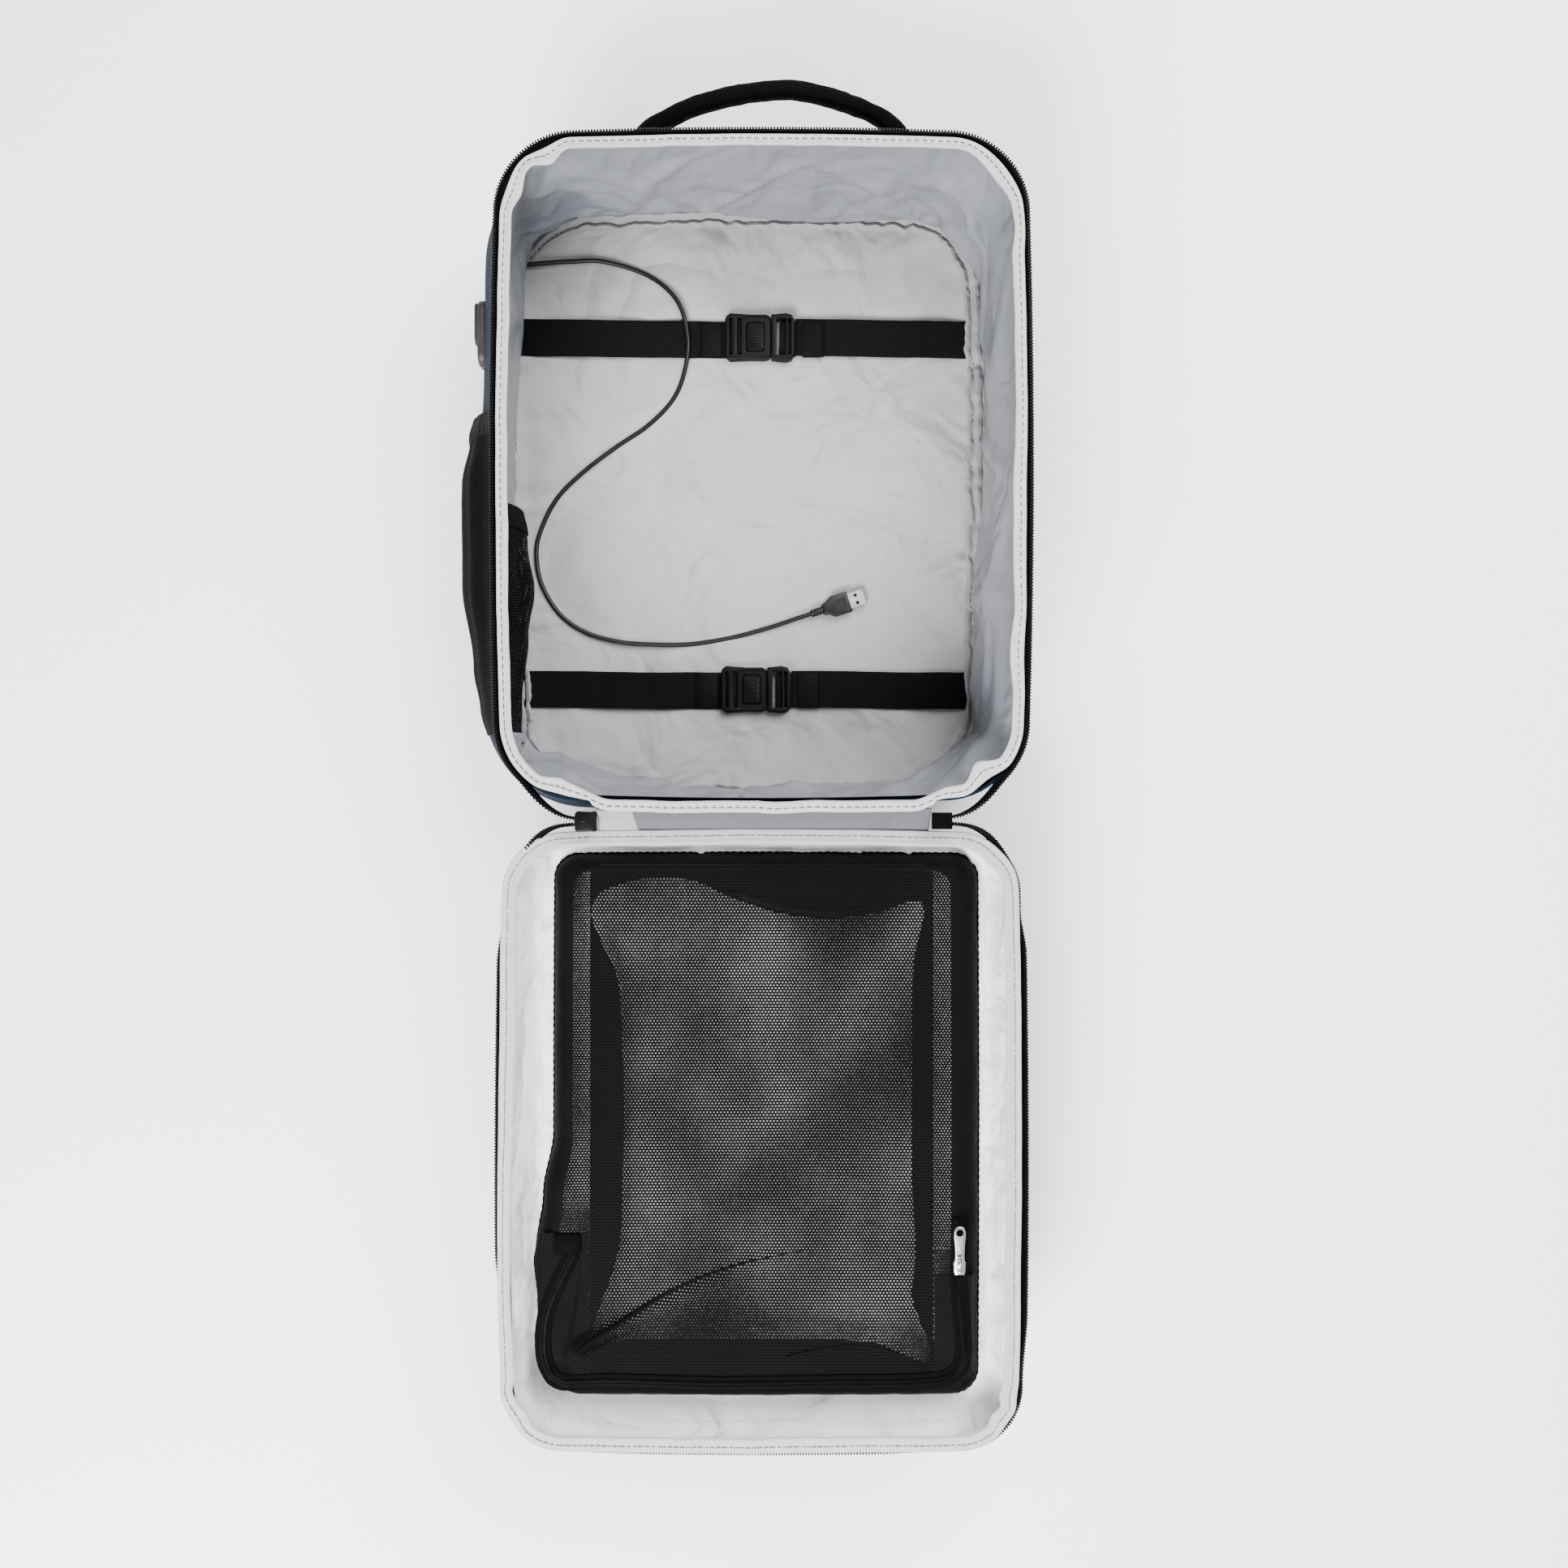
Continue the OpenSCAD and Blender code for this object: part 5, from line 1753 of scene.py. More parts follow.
@dataclass
class UsbPort:
    """The charging port on the shell's side: its housing, its flap and its socket."""

    finishes: Wardrobe

    def build(self) -> None:
        """Builds the housing with its rounded ends, the hinged flap and the socket inside."""
        low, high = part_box("port_housing")
        flap_low, flap_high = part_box("port_flap")
        socket_low, socket_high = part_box("port_socket")
        side = Matrix(((0, 0, -1, 0), (1, 0, 0, 0), (0, -1, 0, 0), (0, 0, 0, 1)))
        middle = (low + high) / 2
        frame_in = Matrix.Translation((high.x, middle.y, middle.z)) @ side
        depth = high.x - low.x
        shape = rounded_outline(high.y - low.y, high.z - low.z, 0.009, 8)
        housing = plate(shape, 0, depth, 0.0018, 4)
        shell_of = add(
            "port_surround", moved(housing, frame_in), self.finishes.port, Body.SHELL, ["port_housing"],
        )
        flap_mid = (flap_low + flap_high) / 2
        well = rounded_outline(flap_high.y - flap_low.y + 0.001, flap_high.z - flap_low.z + 0.001, 0.006, 6)
        sunk = Matrix.Translation((flap_high.x, flap_mid.y, flap_mid.z)) @ side
        carved(shell_of, moved(plate(well, -0.0014, 0.01), sunk))
        socket_mid = (socket_low + socket_high) / 2
        hole = plate(
            rounded_outline(socket_high.y - socket_low.y + 0.0006, socket_high.z - socket_low.z + 0.0006, 0.001, 2),
            -0.02, 0.02,
        )
        carved(shell_of, moved(hole, Matrix.Translation((low.x, socket_mid.y, socket_mid.z)) @ side))
        flap_shape = rounded_outline(flap_high.y - flap_low.y, flap_high.z - flap_low.z, 0.0055, 6)
        thick = flap_high.x - flap_low.x
        flap = plate(flap_shape, 0, thick, 0.0007, 3)
        rib = plate(stadium(0.008, 0.0016, 6), thick - 0.0003, thick + 0.0004, 0.0003)
        bmesh.ops.translate(rib, vec=(0.009, 0, -0.0004), verts=rib.verts)
        add(
            "port_flap_cover", moved(joined(flap, rib), sunk), self.finishes.port_rubber, Body.PORT_FLAP,
            ["port_flap"],
        )
        self.socket(socket_low, socket_high)

    def socket(self, low: Vector, high: Vector) -> None:
        """Builds the metal socket with its tongue, between two corners."""
        mesh = box(low, high, 0.0005, 2)
        socket = add(
            "usb_socket", mesh, self.finishes.nickel, Body.SHELL, ["port_socket"], flat=True
        )
        wall = 0.0005
        inner = box(
            (low.x - 0.001, low.y + wall, low.z + wall), (high.x - 0.001, high.y - wall, high.z - wall)
        )
        carved(socket, inner)
        middle = (low + high) / 2
        tongue = box(
            (low.x + 0.002, low.y + 1.4 * MM, middle.z - 0.0009),
            (high.x - 0.0008, high.y - 1.4 * MM, middle.z + 0.0009), 0.0002
        )
        add("usb_socket_tongue", tongue, self.finishes.plug, Body.SHELL)


@dataclass
class SidePockets:
    """The stretch pocket outside the shell's left wall and the mesh one inside it."""

    finishes: Wardrobe
    shell: Shell
    seam_top: float = 0.1440

    def outer(self) -> None:
        """Builds the outer pocket, fullest low down near its end, and its elastic hem."""
        low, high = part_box("outer_pocket")
        hem_low, hem_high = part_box("outer_pocket_hem")
        span = hem_high.y - low.y
        belly = high.x - low.x

        def place(u: float, v: float) -> Vector:
            """A point of the stretched cloth, u up the wall and v from the bottom seam to the hem."""
            y, z = low.y + span * v, low.z + (self.seam_top - low.z) * u
            across = table(
                u, ((0.0, 0.03), (0.10, 0.45), (0.30, 0.85), (0.58, 1.0), (0.80, 0.72), (0.94, 0.20), (1.0, 0.02)),
            )
            along = table(
                v, ((0.0, 0.06), (0.08, 0.28), (0.22, 0.55), (0.48, 0.98), (0.80, 1.0), (0.94, 0.62), (1.0, 0.44)),
            )
            reach = (belly + 0.0018) * across * along
            reach += 0.0007 * across * ripple(u * 4, v * 6, 50.0)
            return Vector((self.shell.left_x(y, z, 0.0) + 0.0002 - reach, y, z))

        tall = self.seam_top - low.z
        net = skin((56, 90), (tall, span), place, facing=LEFT)
        cloth = add(
            "outer_pocket_cloth", net, self.finishes.stretch, Body.SHELL, ["outer_pocket"]
        )
        thicken(cloth, 0.0011)
        hem_w = hem_high.y - hem_low.y + 0.0012

        def hem(u: float, v: float) -> Vector:
            """A point of the rolled elastic hem."""
            edge = place(u, 1 - hem_w / span * (1 - v))
            edge.x -= 0.0009 * math.sin(math.pi * v) ** 0.5 + 0.0003 * math.sin(u * 150)
            return edge

        net = skin((100, 12), (tall, hem_w), hem, facing=LEFT)
        band = add(
            "outer_pocket_band", net, self.finishes.elastic, Body.SHELL, ["outer_pocket_hem"]
        )
        thicken(band, 0.0016)

    def inner(self) -> None:
        """Builds the inner mesh pocket, its elastic band and its bottom seam."""
        low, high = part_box("inner_pocket_mesh")
        band_low, band_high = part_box("inner_pocket_band")
        span = band_high.y - low.y
        belly = high.x - low.x + 0.005

        def place(u: float, v: float) -> Vector:
            """A point of the mesh, u up the wall and v from the bottom seam to the band."""
            y, z = low.y + span * v, low.z + (high.z - low.z) * u
            across = math.sin(math.pi * u) ** 0.6
            along = table(v, ((0.0, 0.50), (0.15, 0.56), (0.45, 0.80), (0.66, 1.0), (0.85, 0.82), (1.0, 0.64)))
            reach = belly * across * along + 0.0008 * across * ripple(u * 5, v * 6, 53.0)
            return Vector((self.shell.left_x(y, z, 0.0030) + 0.0012 + reach, y, z))

        net = skin((44, 80), (high.z - low.z, span), place, facing=RIGHT)
        cloth = add(
            "inner_pocket_net", net, self.finishes.side_mesh, Body.SHELL, ["inner_pocket_mesh"]
        )
        band_w = band_high.y - band_low.y + 0.001

        def band(u: float, v: float) -> Vector:
            """A point of the gathered elastic band."""
            edge = place(u, 1 - band_w / span * (1 - v))
            edge.x += 0.0010 + 0.0006 * math.sin(math.pi * v) + 0.0004 * math.sin(u * 120 + 3 * v)
            return edge

        net = skin((120, 14), (high.z - low.z, band_w), band, facing=RIGHT)
        elastic = add(
            "inner_pocket_elastic", net, self.finishes.elastic, Body.SHELL, ["inner_pocket_band"]
        )
        thicken(elastic, 0.0014)

        def seam(u: float, v: float) -> Vector:
            """A point of the tape over the bottom seam."""
            edge = place(u, 0.0)
            edge.y += -0.004 + 0.007 * v
            edge.x += 0.0014 + 0.0007 * math.sin(math.pi * v)
            return edge

        net = skin((40, 8), (high.z - low.z, 0.007), seam, facing=RIGHT)
        tape = add("inner_pocket_seam", net, self.finishes.satin, Body.SHELL)
        thicken(tape, 0.0008)

    def build(self) -> None:
        """Builds both pockets."""
        self.outer()
        self.inner()


# ---- The packing straps and their buckles ----


@dataclass
class Strap:
    """One half of an elastic packing strap, from its sewn end to its buckle."""

    node: str
    body: Body
    finishes: Wardrobe
    left: bool
    joint: str = ""
    loop_body: Body = Body.SHELL
    drift: float = 0.0

    def build(self) -> None:
        """Builds the strap, lying in a gentle wave, with its folded and stitched end."""
        low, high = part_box(self.node)
        thick = high.z - low.z
        if self.left:
            low.x -= 0.005

        def place(u: float, v: float) -> Vector:
            """A point of the strap."""
            x = low.x + (high.x - low.x) * u
            lift = 0.0008 * bump(u, 0.35, 0.3) + 0.0005 * bump(u, 0.8, 0.15)
            sway = self.drift * (u - 0.5)
            y = low.y + (high.y - low.y) * v + sway + 0.0007 * ripple(u * 2.5, 0, 60.0 + low.y * 9)
            free = smooth_step(0.0, 0.1, min(u, 1 - u))
            return Vector((x, y, high.z + (lift + 0.0005 * ripple(u * 4, v, 61.0)) * free))

        net = skin((90, 14), (high.x - low.x, high.y - low.y), place)
        strap = add(self.node + "_elastic", net, self.finishes.elastic, self.body, [self.node])
        thicken(strap, thick)
        settle_modifiers(strap)
        near = 1 if self.left else -1
        end = high.x if self.left else low.x
        folded = []
        for width, place_x, rise in ((0.0150, end - near * 0.013, 0.0014), (0.0012, end - near * 0.0215, 0.0018)):
            middle = Vector((place_x, (low.y + high.y) / 2 + self.drift * (0.5 if self.left else -0.5) * near, high.z))
            half = Vector((width / 2, (high.y - low.y) / 2 - 0.0004, 0))
            folded.append(
                box(middle - half - Vector((0, 0, 0.0006)), middle + half + Vector((0, 0, rise)), 0.0005, 2)
            )
        fold = add(self.node + "_fold", joined(*folded), self.finishes.elastic, self.body)
        inner = Vector((end - near * 0.0005, middle.y - 0.0132, low.z + 0.0012))
        outer = Vector((end + near * (0.0215 if self.left else 0.0150), middle.y + 0.0132, high.z + 0.0026))
        outer.x = end + near * (0.0128 if self.left else 0.0120)
        pass_through = box(
            [min(a, b) for a, b in zip(inner, outer)], [max(a, b) for a, b in zip(inner, outer)], 0.0006, 2,
        )
        add(self.node + "_loop", pass_through, self.finishes.elastic, self.loop_body)
        if self.joint:
            for item in (strap, fold):
                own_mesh(item)


@dataclass
class CentreBuckle:
    """A flat centre-press buckle: socket half with a push button, and its tongue half."""

    name: str
    body_half: Body
    button: Body
    tongue: Body
    finishes: Wardrobe

    def build(self) -> None:
        """Builds the three moulded parts."""
        self.build_body()
        self.build_button()
        self.build_tongue()

    def build_body(self) -> None:
        """Builds the socket half: a rounded block with side horns, a sunk surround and slots."""
        node = f"{self.name}_buckle_body"
        low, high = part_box(node)
        button_low, button_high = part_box(f"{self.name}_buckle_button")
        middle = (low + high) / 2
        long, wide = high.x - low.x, high.y - low.y
        outline = [
            (-0.50, -0.36), (-0.47, -0.44), (-0.38, -0.50), (-0.20, -0.485), (0.05, -0.47), (0.40, -0.47),
            (0.50, -0.42), (0.50, 0.42), (0.40, 0.47), (0.05, 0.47), (-0.20, 0.485), (-0.38, 0.50),
            (-0.47, 0.44), (-0.50, 0.36),
        ]
        points = [(middle.x + x * long, middle.y + y * wide) for x, y in outline]
        mesh = plate(points, low.z, high.z - 0.0003, 0.0014, 4)
        item = add(node + "_moulding", mesh, self.finishes.buckle, self.body_half, [node])
        button_mid = (button_low + button_high) / 2
        slots = []
        web = 0.036
        for start, end in ((0.0030, 0.0058), (0.0092, 0.0130)):
            slots.append(
                box(
                    (low.x + start, middle.y - web / 2 + 0.004, low.z - 0.01),
                    (low.x + end, middle.y + web / 2 - 0.004, high.z + 0.01), 0.0007,
                )
            )
        size = button_high - button_low
        surround = plate(
            rounded_outline(size.x + 0.0075, size.y + 0.0080, 0.0034, 6), high.z - 0.0016, high.z + 0.01
        )
        slots.append(moved(surround, Matrix.Translation((button_mid.x + 0.0009, button_mid.y, 0))))
        well = plate(rounded_outline(size.x + 0.0008, size.y + 0.0008, 0.0022, 5), low.z + 0.004, high.z + 0.01)
        slots.append(moved(well, Matrix.Translation((button_mid.x, button_mid.y, 0))))
        carved(item, *slots)
        eased(item)

    def build_button(self) -> None:
        """Builds the button, its face knurled with small diamonds."""
        node = f"{self.name}_buckle_button"
        low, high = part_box(node)
        size, middle = high - low, (low + high) / 2
        cap = plate(rounded_outline(size.x - 0.0004, size.y - 0.0004, 0.0022, 6), low.z, high.z - 0.0006, 0.0006, 3)
        cap = moved(cap, Matrix.Translation((middle.x, middle.y, 0)))
        stud = bmesh.new()
        bmesh.ops.create_cone(stud, cap_ends=True, segments=4, radius1=0.0011, radius2=0.0004, depth=0.0006)
        bmesh.ops.translate(stud, vec=(0, 0, 0.0003), verts=stud.verts)
        pitch, places = 0.0021, []
        for row in range(int((size.y - 0.003) / pitch) + 1):
            for column in range(int((size.x - 0.003) / pitch) + 1):
                x = middle.x - (size.x - 0.003) / 2 + column * pitch + (0.5 * pitch if row % 2 else 0)
                y = middle.y - (size.y - 0.003) / 2 + row * pitch
                if x < high.x - 0.0012:
                    places.append(Matrix.Translation((x, y, high.z - 0.0007)))
        studs = repeated(stud, places)
        add(
            node + "_cap", joined(cap, studs), self.finishes.buckle, self.button, [node]
        )

    def build_tongue(self) -> None:
        """Builds the tongue half: a slotted frame and the blade that enters the socket."""
        node = f"{self.name}_buckle_tongue"
        low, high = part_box(node)
        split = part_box(f"{self.name}_buckle_body")[1].x
        middle = (low + high) / 2
        wide = high.y - low.y
        start = split + 0.0003
        long = high.x - start
        outline = [
            (0.0, -0.47), (0.62, -0.50), (0.86, -0.47), (1.0, -0.36), (1.0, 0.36), (0.86, 0.47),
            (0.62, 0.50), (0.0, 0.47),
        ]
        points = [(start + x * long, middle.y + y * wide) for x, y in outline]
        mesh = plate(points, low.z, high.z - 0.0003, 0.0013, 4)
        item = add(node + "_moulding", mesh, self.finishes.buckle, self.tongue, [node])
        slots = []
        for a, b, deep in ((0.0042, 0.0114, 1.0), (0.0128, 0.0150, 1.0)):
            bottom = low.z - 0.01 if deep == 1.0 else high.z - deep
            slots.append(
                box((start + a, middle.y - 0.0138, bottom), (start + b, middle.y + 0.0138, high.z + 0.01), 0.0007)
            )
        carved(item, *slots)
        eased(item)
        blade = box(
            (low.x, middle.y - 0.0115, low.z + 0.0028), (start + 0.001, middle.y + 0.0115, low.z + 0.0051), 0.0006,
        )
        add(node + "_blade", blade, self.finishes.buckle, self.tongue)


# ---- The charging lead ----


@dataclass
class UsbPlug:
    """The plug on the lead's end, about its own axis from the lead's end along +X."""

    finishes: Wardrobe
    place: Matrix
    relief: float = 0.010
    neck: float = 0.008
    body: float = 0.013

    def build(self) -> list[bpy.types.Object]:
        """Builds the ribbed relief, the bevelled body, the metal shell and what is inside it."""
        ride = Body.SHELL
        sleeve = rod(0.0026, self.relief + 0.001, 24, 0.0004)
        sleeve = moved(sleeve, Matrix.Rotation(math.pi / 2, 4, "Y"))
        ribs = []
        for k in range(4):
            ring = moved(rod(0.0032, 0.0014, 28, 0.0004), Matrix.Rotation(math.pi / 2, 4, "Y"))
            ribs.append(moved(ring, Matrix.Translation((0.0008 + 0.0025 * k, 0, 0))))
        start = self.relief
        half_low, half_high, thick = 0.0040, 0.0080, 0.00375
        outline = [
            (start, -half_low), (start + 0.003, -half_low - 0.0006), (start + self.neck, -half_high),
            (start + self.neck + self.body, -half_high), (start + self.neck + self.body, half_high),
            (start + self.neck, half_high), (start + 0.003, half_low + 0.0006), (start, half_low),
        ]
        block = plate(outline, -thick, thick, 0.0012, 4)
        mesh = moved(joined(sleeve, *ribs, block), self.place)
        grip = add("plug_grip", mesh, self.finishes.plug, ride, ["plug_overmould"])
        square = Matrix.Translation((start + self.neck + self.body / 2, 0, 0))
        mark = plate(rounded_outline(0.0068, 0.0068, 0.0008, 3), thick - 0.0005, thick + 0.01)
        carved(grip, moved(mark, self.place @ square))
        front = start + self.neck + self.body
        shell_l, half_w, half_t = 0.0121, 0.0060, 0.00225
        tube = box((front - 0.002, -half_w, -half_t), (front + shell_l, half_w, half_t), 0.0003, 1)
        shell = add(
            "plug_metal", moved(tube, self.place), self.finishes.nickel, ride, ["plug_shell"], flat=True
        )
        wall = 0.0004
        cuts = [
            box((front + wall, -half_w + wall, -half_t + wall), (front + shell_l + 0.01, half_w - wall, half_t - wall))
        ]
        for side in (-1, 1):
            y = side * 0.003
            cuts.append(box((front + 0.0044, y - 0.0012, -0.01), (front + 0.0068, y + 0.0012, 0.01)))
        carved(shell, *(moved(cut, self.place) for cut in cuts))
        inner = box(
            (front - 0.001, -half_w + 0.0005, -half_t + 0.0005),
            (front + shell_l - 0.0008, half_w - 0.0005, -0.0002), 0.0001,
        )
        insert = add(
            "plug_inner", moved(inner, self.place), self.finishes.plug, ride, ["plug_insulator"]
        )
        return [grip, shell, insert]


@dataclass
class UsbLead:
    """The charging lead that lies over the floor, from its grommet to its plug.

    The points are the line's own, in the bag's frame, with the line through them smooth.
    """

    finishes: Wardrobe
    diameter: float = 0.0035
    route: tuple[tuple[float, float, float], ...] = (
        (-173.94, 391.0, 18.9), (-165.0, 391.5, 18.7), (-153.0, 393.0, 15.9), (-135.0, 395.0, 13.35),
        (-109.0, 395.0, 12.85), (-75.0, 384.0, 13.25), (-53.0, 364.0, 17.45), (-45.0, 337.0, 17.45),
        (-47.0, 312.0, 17.45), (-56.0, 290.0, 13.25), (-75.0, 270.0, 12.85), (-100.0, 253.0, 12.85),
        (-125.0, 234.0, 12.85), (-145.0, 214.0, 12.85), (-157.0, 191.0, 12.85), (-161.0, 172.0, 12.85),
        (-157.0, 148.0, 12.85), (-143.0, 125.0, 12.85), (-123.0, 111.0, 12.85), (-98.0, 104.0, 12.85),
        (-75.0, 102.0, 12.85), (-44.0, 102.0, 12.85), (-12.0, 107.0, 12.85), (17.0, 114.6, 13.45),
        (37.6, 121.3, 14.85), (49.0, 125.0, 14.85),
    )
    plug_turn: float = 18.0

    def build(self) -> None:
        points = [Vector(point) * MM for point in self.route]
        for point in points:
            if point.z < 0.0165:
                point.z += 0.0014
        path = curve_through(points, 14)
        length = lengths_of(path)[-1]
        radius = self.diameter / 2

        def place(u: float, v: float) -> Vector:
            """A point of the lead's skin."""
            here, ahead = along(path, v)
            side = ahead.cross(UP).normalized()
            up = side.cross(ahead)
            angle = math.tau * u
            return here + (side * math.cos(angle) + up * math.sin(angle)) * radius

        net = skin((16, len(path) - 1), (math.pi * self.diameter, length), place, closed=(True, False))
        bmesh.ops.holes_fill(net, edges=net.edges, sides=0)
        bmesh.ops.recalc_face_normals(net, faces=net.faces)
        lead = add("usb_cable", net, self.finishes.lead, Body.SHELL, ["usb_lead"])
        grommet = self.grommet()
        end = path[-1]
        turn = Matrix.Translation(end) @ Matrix.Rotation(math.radians(self.plug_turn), 4, "Z")
        pieces = UsbPlug(self.finishes, turn).build()

    def grommet(self) -> bpy.types.Object:
        """Builds the rubber grommet where the lead leaves the wall."""
        low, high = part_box("lead_grommet")
        middle = (low + high) / 2
        ring = rod((high.z - low.z) / 2, high.x - low.x, 32, 0.0008)
        turn = Matrix.Translation((low.x, middle.y, middle.z)) @ Matrix.Rotation(math.pi / 2, 4, "Y")
        return add("cable_grommet", moved(ring, turn), self.finishes.lead, Body.SHELL, ["lead_grommet"])


# ---- The lid ----


@dataclass
class Lid:
    """The shallow half: padded front panel, low wall, white lining, binding and zip."""

    finishes: Wardrobe
    lean: float = 0.0145
    corner: float = 0.044
    bow: float = 0.0030
    foot: float = 0.010
    wall: float = 0.0018
    base: Outline = field(init=False)
    rim: Outline = field(init=False)
    crown: Outline = field(init=False)
    low: float = field(init=False)
    top: float = field(init=False)
    floor: float = field(init=False)
    rim_top: float = field(init=False)
    hull: bpy.types.Object = field(init=False)

    def __post_init__(self) -> None:
        """Reads the lid's places from the frame."""
        low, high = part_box("lid_front_panel")
        self.base = Outline.of_box(
            low + Vector((0.0045, 0.004, 0)), high - Vector((0.0075, 0.0045, 0)), self.corner, self.bow
        )
        self.low, self.top = low.z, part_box("lid_gusset")[1].z
        self.rim = Outline.of_box(low + Vector((0, self.lean, 0)), high, self.corner, self.bow)
        self.crown = Outline.of_box(
            low + Vector((0.003, self.lean + 0.003, 0)), high - Vector((0.0065, 0.0055, 0)), self.corner, self.bow
        )
        self.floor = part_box("lid_foam")[1].z + 0.0012
        self.rim_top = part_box("lid_binding")[1].z

    def point(self, share: float, z: float, inset: float = 0.0) -> Vector:
        """A point of the lid's wall, inset from its outer face."""
        low, _ = self.base.at(share, inset)
        high, _ = self.crown.at(share, inset)
        up = smooth_step(self.low, self.top, z)
        place = low.lerp(high, up)
        place.z = z
        return place

    def outside(self) -> None:
        """Builds the padded wall and the padded front panel, which faces down while open."""
        foot, steps = self.foot, 5
        rows = [(0.030, 0.0016), (0.022, 0.0004), (0.016, 0.0)]
        for k in range(steps + 1):
            angle = math.pi / 2 * k / steps
            rows.append((foot * (1 - math.sin(angle)), foot * (1 - math.cos(angle))))
        height = self.top - self.low
        rows += [(0.0, foot + (height - foot - 0.001) * k / 8) for k in range(1, 9)]
        rows += [(0.0008, height), (self.wall, height), (self.wall, height - 0.004)]
        count = len(rows) - 1

        def place(u: float, v: float) -> Vector:
            """A point of the lid's outer cloth."""
            inset, up = rows[round(v * count)]
            spot = self.point(u, self.low + up, inset)
            _, normal = self.base.at(u)
            return spot + normal * 0.0008 * ripple(u * 24, up * 20, 70.0) * (1 if inset < 0.01 else 0)

        net = skin((400, count), (self.base.perimeter, 0.09), place, closed=(True, False))
        wall = add("lid_side_wall", net, self.finishes.outer, Body.LID, ["lid_gusset"])
        self.hull = wall
        pad = self.base.grown(-0.016)

        def front(u: float, v: float) -> Vector:
            """A point of the front panel, quilted a little by the foam in it."""
            a, b = 2 * u - 1, 2 * v - 1
            spot = pad.inside(a, b)
            edge = smooth_step(0.80, 1.0, max(abs(a), abs(b)))
            spot.z = self.low + 0.0004 + 0.0014 * edge + 0.0004 * (1 + ripple(a * 3, b * 3, 71.0)) * (1 - edge)
            return spot

        net = skin((60, 72), (pad.width, pad.length), front, turned=True)
        panel = add(
            "lid_front_pad", net, self.finishes.outer, Body.LID, ["lid_front_panel", "lid_foam"]
        )
        thicken(panel, 0.0045)
        self.front_piping()

    def front_piping(self) -> None:
        """Builds the seam piping round the front panel."""

        def cord(u: float, v: float) -> Vector:
            """A point of the piping."""
            angle = math.tau * u
            spot, _ = self.base.at(v, 0.0125 + 0.0016 * math.cos(angle))
            spot.z = self.low + 0.0017 + 0.0016 * math.sin(angle)
            return spot

        net = skin((10, 400), (0.01, self.base.perimeter), cord, closed=(True, True))
        add("lid_front_piping", net, self.finishes.tape, Body.LID)

    def lining(self) -> None:
        """Builds the tray of white lining, one cloth from rim to rim."""
        seam, top = 0.0050, self.rim_top - 0.0038
        inner, rim = self.base.grown(-seam), self.crown.grown(0.002 - seam)
        drop = top - self.floor
        turn = 0.88

        def place(u: float, v: float) -> Vector:
            """A point of the tray."""
            a, b = 2 * u - 1, 2 * v - 1
            reach = max(abs(a), abs(b), 1e-6)
            up = min(max((reach - turn) / (1 - turn), 0.0), 1.0)
            flat = min(reach / turn, 1.0)
            low = inner.inside(a / reach * flat, b / reach * flat)
            high = rim.inside(a / reach * flat, b / reach * flat)
            spot = low.lerp(high, up)
            toward = Vector((self.base.middle.x, self.base.middle.y, 0)) - spot
            slack = 0.010 * (1 - up) ** 2 * smooth_step(0.80, 0.88, reach)
            slack += 0.0008 * smooth_step(0.92, 1.0, reach)
            spot += toward.normalized() * slack * (1 + 0.5 * ripple(a * 4, b * 4, 72.0))
            fold = 0.0022 * crease(a * 2.6 + b * 0.8, b * 2.4, 74.0) * (1 - up)
            wave = 0.0010 * (1 + ripple(a * 3.2, b * 3.8, 75.0)) * (1 - up)
            spot.z = self.floor + drop * smooth_step(0.0, 1.0, up) ** 1.1 + fold + wave - 0.0002
            return spot

        size = (self.base.width + 2 * drop, self.base.length + 2 * drop)
        net = skin((130, 160), size, place)
        tray = add("lid_lining_cloth", net, self.finishes.white, Body.LID, ["lid_lining"])

        def held(spot: Vector) -> float:
            """The rim seam and the foot of the mesh compartment."""
            if spot.z > top - 0.003:
                return 1.0
            return 0.6 if spot.z < self.floor + 0.006 and abs(spot.x - self.base.middle.x) < 0.13 else 0.0

        relax(tray, held, growth=0.02, cap=0.003, frames=16, gravity=0.4)
        for vert in tray.data.vertices:
            vert.co.z = max(vert.co.z, self.floor)
        keep_inside(tray, self.hull, self.wall + 0.0010)
        soften(tray)

